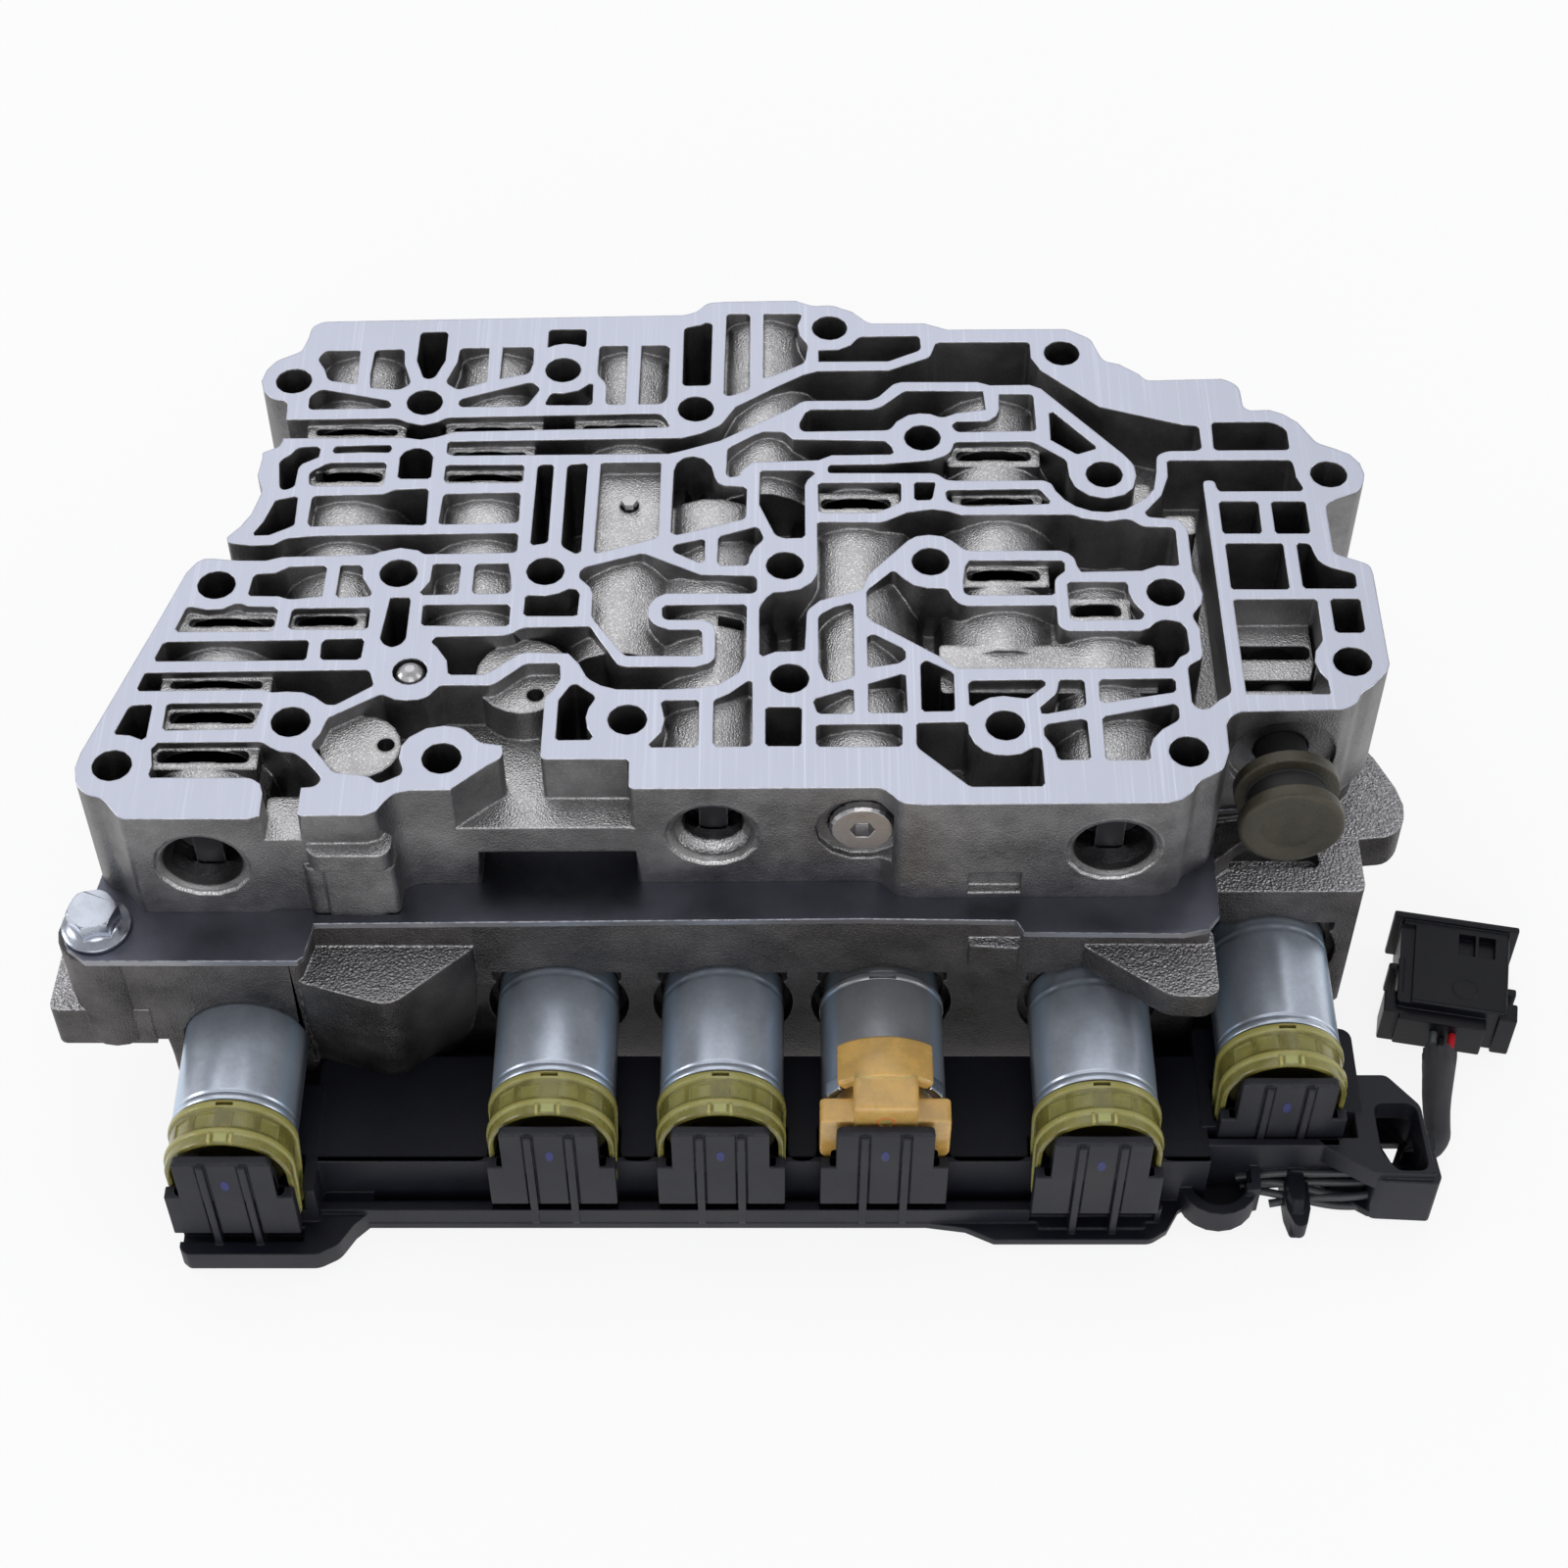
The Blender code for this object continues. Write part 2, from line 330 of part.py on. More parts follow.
                (33.2, 12.2), (34.6, 10.6), (36.4, 9.8), (38.6, 9.6), (41, 9.9), (42.6, 11),
                (43.6, 11.5), (44.6, 11), (44.7, 3.4), (44.2, 2.7), (32.4, 2.6), (31.6, 3),
                (23.2, 11.4)],
    "front_9": [(48.4, 26.2), (48.8, 26.8), (52.4, 26.8), (52.9, 26.2), (52.9, 21.2),
                (52.2, 20.4), (46, 18.9), (45, 19), (44.8, 20.4), (48, 23.8)],
    "front_10": [(45.2, 15.6), (45.8, 16.6), (51.8, 17.8), (52.8, 17.4), (52.9, 9.2),
                 (52.4, 8.6), (47.8, 8.5), (47.2, 9), (46.8, 11.2), (45.2, 14)],
    "front_11": [(55.4, 26.2), (56, 26.9), (68.2, 27.1), (68.8, 26.4), (68.7, 24.4),
                 (68.2, 23.8), (56, 21.4), (55.3, 22)],
    "front_12": [(55.4, 17.8), (56, 18.4), (68, 21.2), (68.8, 20.6), (68.8, 17.6), (65.6, 15.4),
                 (63.8, 13.2), (63.1, 11), (63.1, 9), (62.6, 8.5), (55.4, 8.5)],
}

# Tracks that run deep beside the barrels
DEEP_TRACKS = {
    "deep_rear_1": [(-69.8, 116.5), (-64.4, 116.7), (-64.4, 108.4), (-66.2, 103.4),
                    (-68.2, 103.2), (-69.9, 108.4)],
    "deep_rear_2": [(-45, 117.3), (-37.6, 117.4), (-37.6, 112), (-39.5, 112.9), (-41.7, 113.2),
                    (-43.6, 112.8), (-45, 112)],
    "deep_rear_3": [(-18.8, 117.7), (-15.6, 118.6), (-14.4, 119.4), (-13.3, 118.8),
                    (-13.4, 101.5), (-18.8, 101.3)],
    "deep_left_1": [(-90.2, 84.7), (-86.6, 84.9), (-86, 84.2), (-86.1, 82), (-89, 80.2),
                    (-89.6, 79.2), (-89.8, 74.4), (-91, 73.5), (-92, 73.4), (-92.6, 74.2),
                    (-93.4, 81), (-91.4, 82.8)],
    "deep_left_2": [(-71, 82), (-70.2, 83.6), (-67.9, 84.7), (-65.6, 83.6), (-64.8, 82),
                    (-64.8, 76.8), (-65.4, 76.3), (-70.4, 76.3), (-71, 76.8)],
    "deep_left_3": [(-89.6, 71.7), (-88.9, 71.4), (-88.8, 64.4), (-89.8, 63.7), (-93.2, 61.8),
                    (-95.8, 61.7), (-96.1, 62.4), (-94.6, 65.2), (-93, 70.6), (-92.2, 71)],
    "deep_left_4": [(-69.8, 46.2), (-69, 46.4), (-66.4, 46.3), (-66.1, 45.6), (-66.2, 36.4),
                    (-67, 35), (-68.5, 34.3), (-70, 35), (-70.8, 36.4)],
    "deep_left_5": [(-81, 35.4), (-80.4, 36.3), (-74, 36.5), (-73.5, 35.8), (-73.7, 32),
                    (-74.4, 31.4), (-80.4, 31.4), (-80.9, 32)],
    "deep_left_6": [(-112.8, 20.8), (-109.2, 21.1), (-108.8, 20.6), (-108.9, 13.6),
                    (-109.6, 13), (-111.8, 14), (-114.2, 14.2), (-114.5, 14.8)],
    "deep_centre_1": [(-45.2, 80), (-42.2, 80.2), (-42.3, 59.8), (-45, 59.3), (-45.5, 59.8)],
    "deep_centre_2": [(-39.7, 80), (-36.4, 80.4), (-35.9, 79.8), (-36.2, 57.8), (-36.8, 57.2),
                      (-37.4, 57.2), (-39.9, 59)],
    "deep_centre_3": [(24.6, 75), (25, 75.5), (28.4, 75.5), (28.5, 74.8), (27.9, 71.4),
                      (27.4, 70.8), (25, 70.7), (24.5, 71.2)],
    "deep_front_1": [(-38.6, 22), (-36.8, 25.4), (-35.8, 25.9), (-32, 22.8), (-33.3, 20.2),
                     (-33.7, 18), (-33.3, 15.6), (-32.3, 13.8), (-32.8, 13), (-38.2, 12.9),
                     (-38.7, 13.4)],
    "deep_front_2": [(-2.7, 20), (-2.2, 20.5), (3, 20.5), (3.6, 20), (3.5, 12.2), (3, 11.6),
                     (-2.2, 11.6), (-2.7, 12.2)],
    "deep_front_3": [(24.4, 30.4), (25.4, 31.4), (29.8, 28.6), (30.2, 28), (30.1, 20),
                     (29.6, 19.5), (24.8, 19.4), (24.3, 20)],
    "deep_front_4": [(32.6, 26), (33.4, 26.6), (45.4, 26.8), (46.1, 26.2), (46, 25.4),
                     (42.8, 22.4), (41, 22.6), (38.6, 23), (36.2, 22.6), (34.2, 21.4),
                     (33.2, 20.6), (32.6, 21)],
    "deep_grid_2": [(90, 70), (90.6, 70.5), (96, 70.5), (96.4, 70), (96.4, 62.8), (96, 62.2),
                    (90.4, 62.2), (90, 62.8)],
    "deep_grid_3": [(80.6, 59.2), (81, 59.8), (90.8, 59.8), (91.1, 59.2), (91.1, 48.8),
                    (90.6, 48.3), (81, 48.3), (80.6, 48.8)],
    "deep_grid_6": [(98, 45.6), (98.6, 46.1), (103, 46.1), (103.4, 45.6), (103.4, 38.6),
                    (102.8, 37.8), (98.6, 37.8), (98, 38.4)],
}

# Track that opens forward into the front recess
FRONT_RECESS = [(-69.2, 23.3), (-67, 22.2), (-65, 22), (-63, 22.2), (-61.4, 22.8), (-59.6, 25.2),
                (-59, 25.5), (-50.2, 25.5), (-45.4, 30), (-44.2, 30.6), (-39.2, 30.7),
                (-38.7, 30), (-38.5, 27), (-39.4, 24.8), (-41, 22.4), (-41.1, 8.7), (-26.4, 8.7),
                (-25.9, 8.1), (-25.6, -8), (-55.9, -8), (-55.8, 2.2), (-50.2, 7.2), (-48, 8.8),
                (-47.5, 10), (-47.8, 11.8), (-51.6, 12.3), (-53.4, 14.4), (-55, 15.8),
                (-58, 16.2), (-61, 15.6), (-63.8, 13.6), (-65, 11.6), (-65.2, 9), (-64.3, 6.4),
                (-64.6, 5.2), (-68.2, 3.2), (-70.2, 5), (-75.6, 5.7), (-76.4, 6.2), (-80.6, 12),
                (-79.2, 14.4), (-78.2, 18), (-77.2, 18.6), (-70, 23.1)]

# Shallow window with the hexagonal pin
WINDOW = [(-33.5, 80.2), (-32.8, 80.6), (-22.6, 80.7), (-22.3, 80.2), (-22.3, 61.2), (-32.8, 57.4),
          (-33.6, 57.4), (-33.9, 58)]

# Valve barrels: plan X of the axis, then the two ends along Y
BARRELS = metres([
    (-99.0, -3.0, 45.4), (-80.2, 37.3, 113.5), (-55.0, 38.9, 113.8), (-28.8, 34.5, 113.3),
    (-12.6, 3.1, 72.7), (-3.6, 74.2, 122.9), (13.8, 3.2, 76.3), (39.8, 35.2, 100.6),
    (57.2, 1.0, 53.2),
])

# Raised round plateaus inside the front recess and the joined track: plan X, Y, radius
PLATEAUS = metres([(-72.6, 14.2, 7.0), (-45.2, 30.4, 8.6)])

# Flat shelves inside tracks: left, right, near, far, depth below the top face
SHELVES = metres([
    (81.0, 95.0, 20.0, 48.0, 7.0), (28.0, 66.0, 26.0, 37.2, 2.6), (70.8, 76.4, 66.0, 70.6, 4.0),
    (-88.0, -81.0, -9.0, 5.6, 6.5), (64.0, 69.5, 70.0, 83.0, 8.0),
])

# Ports cut down through barrels and shelves into the valve bores: left, right, near, far
PORTS = metres([
    (-107.0, -91.3, 9.5, 12.2), (-106.0, -91.3, 18.4, 21.0), (-106.8, -90.8, 26.4, 28.2),
    (-86.7, -75.6, 41.2, 43.6), (-105.4, -90.3, 41.0, 43.0), (-86.6, -74.2, 77.4, 80.0),
    (-61.9, -48.2, 77.6, 79.4), (7.4, 20.2, 70.4, 73.0), (33.2, 46.5, 71.4, 73.2),
    (32.8, 46.7, 83.0, 85.6), (33.6, 46.7, 52.2, 54.9), (51.8, 60.8, 43.4, 46.4),
    (81.2, 94.6, 30.2, 32.8), (81.2, 94.6, 37.6, 41.0), (-87.6, -72.4, 89.8, 91.6),
    (-61.6, -46.6, 90.4, 92.0), (-37.3, -23.2, 91.0, 92.6), (-61.4, -47.8, 83.6, 85.4),
    (-11.2, -6.6, 41.0, 43.6),
])

# Small blind holes in the plateaus and in the window: plan X, Y, radius
SMALL_HOLES = metres([(-68.2, 14.6, 1.6), (-43.0, 26.0, 1.6)])

# Sprung spool valves: plan X, mouth Y, closed end Y, bore radius, spring length
VALVE_TRAINS = {
    "front_left": metres([(-99.0, -4.4, 42.5, 6.9, 11.0)])[0],
    "front_middle": metres([(-11.8, 2.2, 70.0, 5.5, 16.0)])[0],
    "front_right": metres([(57.2, -1.1, 51.0, 6.7, 13.0)])[0],
    "rear_left": metres([(-80.2, 119.9, 52.0, 6.5, 16.0)])[0],
    "rear_middle": metres([(-55.0, 120.5, 54.0, 6.5, 16.0)])[0],
}

# Solenoids: plan X and the Y of the face that the can leaves the casting at
SOLENOIDS = {
    "solenoid_1": metres([(-95.8, -10.0)])[0],
    "solenoid_2": metres([(-40.2, -4.0)])[0],
    "solenoid_3": metres([(-10.5, -4.0)])[0],
    "solenoid_4": metres([(18.1, -4.0)])[0],
    "solenoid_5": metres([(55.5, -6.0)])[0],
    "solenoid_6": metres([(88.9, 6.0)])[0],
}
CLIPPED_SOLENOID = "solenoid_4"

# Plug in the front wall of the upper casting
FRONT_PLUG_X = 14.0 * MM
FRONT_PLUG_DEPTH = 11.4 * MM
FRONT_PLUG_FACE_Y = 2.3 * MM
FRONT_PLUG_RADIUS = 5.7 * MM
FRONT_PLUG_LENGTH = 7.0 * MM
FRONT_RING_RADIUS = 8.2 * MM
FRONT_RING_DEPTH = 1.6 * MM
FRONT_SOCKET_RADIUS = 2.2 * MM
FRONT_SOCKET_DEPTH = 3.0 * MM

# Pressed ball in the top face
BALL_CENTRE = (-64.9 * MM, 28.7 * MM)
BALL_RADIUS = 2.8 * MM
BALL_PROUD = 0.9 * MM

# Hexagonal pin in the window
PIN_CENTRE = (-28.0 * MM, 72.2 * MM)
PIN_RADIUS = 1.5 * MM
PIN_DEPTH = 6.0 * MM
PIN_PROUD = 1.6 * MM

# Flange bolt that holds the plate's free corner
CORNER_BOLT = (-118.9 * MM, -7.6 * MM)
BOLT_FLANGE_RADIUS = 6.0 * MM
BOLT_FLANGE_HEIGHT = 1.5 * MM
BOLT_HEAD_RADIUS = 4.2 * MM
BOLT_HEAD_HEIGHT = 5.4 * MM
BOLT_SHANK_RADIUS = 2.8 * MM
BOLT_SHANK_LENGTH = 14.0 * MM

# Piston in the front right recess
PISTON_X = 88.2 * MM
PISTON_DEPTH = 12.5 * MM

PLATE_OUTLINE = metres([
    (-125.0, -8.6), (-123.4, -12.4), (-120.0, -14.9), (-83.4, -14.9), (-82.4, -13.9),
    (-81.2, -7.3), (70.0, -9.0), (74.4, -8.0), (76.5, -5.0), (76.7, 9.0), (77.8, 18.4),
    (97.6, 20.4), (105.8, 29.0), (105.8, 53.4), (99.4, 56.6), (99.4, 70.6), (106.6, 75.0),
    (107.0, 79.4), (102.6, 83.6), (94.0, 93.8), (86.8, 94.8), (84.4, 102.4), (69.0, 102.2),
    (60.2, 109.0), (56.4, 116.4), (26.0, 118.0), (10.0, 123.4), (-14.0, 124.2), (-19.0, 120.8),
    (-88.8, 118.8), (-92.0, 110.0), (-98.0, 105.0), (-98.0, 100.0), (-92.6, 95.0), (-92.6, 86.0),
    (-95.8, 82.0), (-95.0, 72.0), (-99.6, 61.0), (-106.4, 52.0), (-119.4, 6.0), (-120.4, -1.0),
    (-123.8, -4.0),
])

# Lower casting: a full-height band under the plate, a deeper core, feet and lugs
LOWER_BAND = metres([
    (-118.4, -13.0), (-84.0, -13.0), (-82.2, -5.0), (75.6, -5.0), (76.2, 6.0), (76.8, 17.4),
    (98.0, 21.0), (104.8, 30.0), (104.8, 53.0), (98.4, 57.0), (98.4, 70.0), (105.8, 76.0),
    (101.6, 83.0), (93.2, 92.8), (84.0, 101.6), (68.4, 101.4), (56.0, 115.4), (26.0, 117.0),
    (10.0, 122.6), (-14.0, 123.2), (-19.0, 119.8), (-88.0, 117.8), (-96.8, 103.0), (-91.6, 90.0),
    (-94.2, 72.0), (-98.6, 60.0), (-105.4, 51.4), (-118.4, 6.0),
])
LOWER_BAND_LOW = LOWER_HEIGHT - 24.9 * MM
LOWER_CORE = metres([
    (-110.0, -13.0), (-84.0, -13.0), (-82.2, -5.0), (75.6, -5.0), (76.2, 8.0), (98.0, 26.0),
    (98.0, 70.0), (80.0, 92.0), (54.0, 106.0), (-14.0, 114.0), (-84.0, 108.0), (-90.0, 60.0),
    (-104.0, 20.0),
])
LOWER_CORE_LOW = LOWER_HEIGHT - 35.5 * MM
LOWER_BASE = metres([
    (-88.0, 12.0), (-62.0, -5.0), (66.0, -5.0), (76.0, 12.0), (94.0, 30.0), (94.0, 66.0),
    (76.0, 88.0), (50.0, 100.0), (-14.0, 106.0), (-80.0, 102.0), (-84.0, 56.0),
])
LEFT_FOOT = metres([(-129.8, -13.2), (-112.0, -13.2), (-112.0, 4.0), (-129.0, 4.0)])
LEFT_FOOT_LOW = LOWER_HEIGHT - 24.9 * MM
LEFT_FOOT_TOP = LOWER_HEIGHT - 15.7 * MM
RIGHT_BLOCK = metres([
    (76.0, 6.2), (104.7, 6.2), (104.7, 31.0), (92.0, 34.0), (76.0, 34.0),
])
RIGHT_BLOCK_LOW = 7.0 * MM
RIGHT_BLOCK_TOP = LOWER_HEIGHT - 6.5 * MM
RIGHT_RECESS = metres([(78.4, 11.6), (96.2, 11.6), (97.0, 12.4), (97.0, 14.6), (96.2, 15.4),
                       (78.4, 15.4)])
RIGHT_RECESS_DEPTH = 3.0 * MM
RIGHT_EAR = metres([
    (100.0, 18.6), (105.0, 18.0), (111.0, 18.6), (113.6, 22.0), (113.9, 26.0), (113.0, 30.0),
    (110.0, 37.0), (105.0, 45.0), (100.0, 48.0),
])
RIGHT_EAR_LOW = LOWER_HEIGHT - 14.5 * MM
RIGHT_EAR_TOP = LOWER_HEIGHT - 6.3 * MM
LEFT_LUG = metres([(-83.2, -12.0), (-82.4, -4.0), (-54.4, -4.0), (-54.4, -5.4), (-68.2, -18.1)])
LEFT_LUG_LOW = LOWER_HEIGHT - 30.5 * MM
LEFT_LUG_TOP = LOWER_HEIGHT - 7.5 * MM
RIGHT_LUG = metres([(53.6, -5.6), (53.6, -1.0), (75.4, -1.0), (76.5, -3.0), (76.5, -15.0),
                    (74.4, -16.4), (67.9, -16.2)])
RIGHT_LUG_LOW = LOWER_HEIGHT - 13.1 * MM
RIGHT_LUG_TOP = LOWER_HEIGHT - 7.0 * MM

# Connector carrier in plan
CARRIER_BASE = metres([
    (-84.5, -39.2), (26.0, -39.2), (33.0, -40.2), (38.0, -42.6), (66.0, -42.6), (69.0, -40.6),
    (71.4, -36.4), (75.0, -34.0), (77.0, -28.0), (100.0, -27.0), (104.0, -24.0), (104.0, -12.0),
    (77.0, -12.0), (77.0, -10.0), (-84.5, -10.0),
])
RAIL = rectangle(*metres([(-83.2, 76.0, -34.3, -12.0)])[0])
RAIL_LIP = rectangle(*metres([(-84.2, 68.0, -39.1, -37.2)])[0])
LEFT_BOX = metres([(-106.4, -46.2), (-105.0, -47.4), (-82.0, -47.4), (-78.4, -45.4),
                   (-76.0, -41.4), (-73.0, -38.4), (-73.0, -18.0), (-107.0, -18.0)])
LEFT_SHELF = rectangle(*metres([(-107.0, -82.0, -40.6, -18.2)])[0])
RIGHT_SHELF = rectangle(*metres([(75.0, 104.0, -27.2, -6.0)])[0])

# The carrier's right end in plan: clip loop as centre, two radii and the y of its root
BRIDGE = metres([(96.0, -26.0), (104.0, -31.0), (116.0, -31.0), (116.0, -20.0), (103.0, -11.6),
                 (96.0, -6.0)])
ARM_PLATE = metres([(103.0, -34.0), (116.6, -34.0), (116.6, -16.4), (115.6, -14.4),
                    (111.0, -11.2), (109.4, -10.6), (103.0, -10.8)])
ARM_BLOCK = metres([(105.4, -34.2), (106.6, -37.4), (117.2, -37.4), (118.2, -36.4),
                    (118.2, -31.4), (105.4, -31.4)])
ARM_WINDOW = metres([(106.8, -28.0), (108.4, -29.8), (113.0, -29.8), (114.2, -28.4),
                     (114.2, -18.6), (112.4, -16.6), (108.6, -16.6), (106.8, -18.4)])
ARM_HEIGHT = 8.4 * MM
GLAND = metres([(115.0, 123.0, -30.8)])[0]
GLAND_HEIGHT = 7.7 * MM
CLIP_LOOP = metres([(78.4, -33.0, 7.2, 5.2, -26.6)])[0]
CLIP_LOOP_HEIGHT = 6.0 * MM
FIN = metres([(90.2, -26.6), (90.4, -38.0), (91.6, -41.6), (93.6, -41.6), (94.6, -38.0),
              (94.8, -26.6)])
FIN_HEIGHT = 4.4 * MM

# Cast pockets in the underside of the lower casting
UNDERSIDE_DEPTH = 9.0 * MM
UNDERSIDE_POCKETS = [rectangle(*metres([(x, x + 20.0, y, y + 16.0)])[0])
                     for x in (-74.0, -46.0, -18.0, 10.0, 38.0) for y in (24.0, 48.0, 72.0)]

# Front boss between the notch and the recess
BOSS_LIP = metres([(-80.6, -3.0), (-80.6, -5.0), (-79.2, -6.6), (-67.6, -6.6), (-66.2, -5.0),
                   (-66.2, -2.0), (-70.0, 0.0), (-78.0, 0.0)])
BOSS_LIP_DEPTHS = metres([(7.4, 11.6)])[0]
BOSS_RIB = metres([(-78.4, 0.0), (-78.4, -5.2), (-69.0, -5.2), (-67.6, -3.0), (-67.6, 0.0)])

# Opening under the front recess: left, right, near, far, depth of its ceiling
FRONT_MOUTH = metres([(-52.5, -25.2, -6.0, 12.0, 17.0)])[0]

# Lead: chosen points of the sleeve and of the wires that leave it for the plug
SLEEVE_ROUTE = metres([(119.7, -23.7, 5.2), (119.8, -20.6, 5.6), (120.0, -17.4, 5.9),
                       (120.4, -14.2, 6.1), (120.9, -11.4, 6.1)])
WIRE_ROUTES = {
    "lead_wire_red": metres([(121.8, -10.6, 7.0), (122.7, -8.0, 7.9), (123.9, -5.0, 7.6),
                             (124.8, -1.9, 6.6)]),
    "lead_wire_grey": metres([(119.9, -10.4, 6.6), (119.9, -8.0, 7.0), (120.6, -4.8, 6.8),
                              (121.4, -1.3, 6.4)]),
    "lead_wire_dark": metres([(121.2, -10.6, 4.9), (121.7, -8.0, 4.8), (122.5, -5.0, 4.6),
                              (123.2, -1.6, 4.4)]),
}


def remove_scene_objects():
    for obj in list(bpy.data.objects):
        bpy.data.objects.remove(obj, do_unlink=True)


def make_material(name, colour, metallic, roughness):
    material = bpy.data.materials.new(name)
    material.use_nodes = True
    shader = material.node_tree.nodes["Principled BSDF"]
    shader.inputs["Base Color"].default_value = (*colour, 1.0)
    shader.inputs["Metallic"].default_value = metallic
    shader.inputs["Roughness"].default_value = roughness
    return material


def object_from_bmesh(name, shape):
    bmesh.ops.recalc_face_normals(shape, faces=shape.faces)
    mesh = bpy.data.meshes.new(name)
    shape.to_mesh(mesh)
    shape.free()
    obj = bpy.data.objects.new(name, mesh)
    bpy.context.scene.collection.objects.link(obj)
    return obj


# A solid between two planes; the outline lies across the named axis
def prism(name, outline, low, high, axis="Z"):
    def place(first, second, along):
        if axis == "Z":
            return (first, second, along)
        if axis == "Y":
            return (first, along, second)
        return (along, first, second)

    shape = bmesh.new()
    base = [shape.verts.new(place(first, second, low)) for first, second in outline]
    top = [shape.verts.new(place(first, second, high)) for first, second in outline]
    shape.faces.new(base)
    shape.faces.new(top)
    for index, corner in enumerate(base):
        following = (index + 1) % len(base)
        shape.faces.new((corner, base[following], top[following], top[index]))
    return object_from_bmesh(name, shape)


# A turned solid along Y through the plan point x at height z; stations are (y, radius)
def turned(name, x, z, stations, sides):
    shape = bmesh.new()
    rings = []
    for y, radius in stations:
        ring = []
        for step in range(sides):
            angle = 2.0 * math.pi * step / sides
            ring.append(shape.verts.new((x + radius * math.cos(angle), y, z + radius * math.sin(angle))))
        rings.append(ring)
    for first, second in zip(rings, rings[1:]):
        for step in range(sides):
            following = (step + 1) % sides
            shape.faces.new((first[step], first[following], second[following], second[step]))
    shape.faces.new(rings[0])
    shape.faces.new(rings[-1])
    return object_from_bmesh(name, shape)


def join(objects):
    shape = bmesh.new()
    for obj in objects:
        shape.from_mesh(obj.data)
    name = objects[0].name
    for obj in objects:
        bpy.data.objects.remove(obj, do_unlink=True)
    return object_from_bmesh(name, shape)


def boolean(target, tool, operation, solver="EXACT"):
    modifier = target.modifiers.new(operation, "BOOLEAN")
    modifier.operation = operation
    modifier.solver = solver
    modifier.object = tool
    bpy.context.view_layer.update()
    graph = bpy.context.evaluated_depsgraph_get()
    mesh = bpy.data.meshes.new_from_object(target.evaluated_get(graph))
    target.modifiers.clear()
    old = target.data
    target.data = mesh
    bpy.data.meshes.remove(old)
    bpy.data.objects.remove(tool, do_unlink=True)


def cut(target, tool, solver="EXACT"):
    boolean(target, tool, "DIFFERENCE", solver)


def add(target, tool):
    boolean(target, tool, "UNION")


def finish(obj, material, smooth_angle=35.0):
    obj.data.materials.clear()
    obj.data.materials.append(material)
    for polygon in obj.data.polygons:
        polygon.material_index = 0
    obj.data.shade_smooth()
    obj.data.set_sharp_from_angle(angle=math.radians(smooth_angle))
    return obj


def hole_set(name, centres, radius, low, high, sides):
    return join([prism(f"{name}_{index}", circle(centre, radius, sides), low, high)
                 for index, centre in enumerate(centres)])


def track_cutter(tracks, depth):
    solids = []
    for name, points in tracks.items():
        solids.append(prism(name, metres(points), TOP - depth, TOP + ABOVE))
    return join(solids)


# A barrel's section: a round crest over straight sides that run down to the plate
def barrel_section(x, half_width):
    start = math.degrees(math.acos(half_width / BARREL_RADIUS))
    crest = arc((x, TOP - BARREL_AXIS_DEPTH), BARREL_RADIUS, start, 180.0 - start, BARREL_STEPS)
    return [(x + half_width, PLATE_TOP), *crest, (x - half_width, PLATE_TOP)]


# Leaves barrels, plateaus and shelves standing inside a set of tracks. The exact solver tears
# this many-bodied cutter at one track, so its cuts use the manifold one.
def keep_raised_floors(cutter, half_width):
    for x, near, far in BARRELS:
        cut(cutter, prism("barrel", barrel_section(x, half_width), near, far, axis="Y"),
            "MANIFOLD")
    for x, y, radius in PLATEAUS:
        plateau = prism("plateau", circle((x, y), radius, 20), 0.0, TOP - PLATEAU_DEPTH)
        cut(cutter, plateau, "MANIFOLD")
    for left, right, near, far, depth in SHELVES:
        shelf = prism("shelf", rectangle(left, right, near, far), 0.0, TOP - depth)
        cut(cutter, shelf, "MANIFOLD")


def bore_cutter(x, mouth, end, radius):
    inward = 1.0 if end > mouth else -1.0
    height = TOP - BORE_AXIS_DEPTH
    stations = [(mouth - inward * ABOVE, MOUTH_RADIUS), (mouth, MOUTH_RADIUS),
                (mouth + inward * MOUTH_DEPTH, radius), (end, radius)]
    return turned("bore", x, height, stations, BORE_SIDES)


def keyway_cutter(x, mouth, end):
    inward = 1.0 if end > mouth else -1.0
    near = mouth + inward * (KEY_SETBACK - FIT_GAP)
    far = mouth + inward * (KEY_SETBACK + KEY_THICKNESS + FIT_GAP)
    half = KEY_WIDTH / 2 + FIT_GAP
    outline = rectangle(x - half, x + half, min(near, far), max(near, far))
    return prism("keyway", outline, PLATE_TOP - ABOVE, TOP - BORE_AXIS_DEPTH + KEY_RISE)


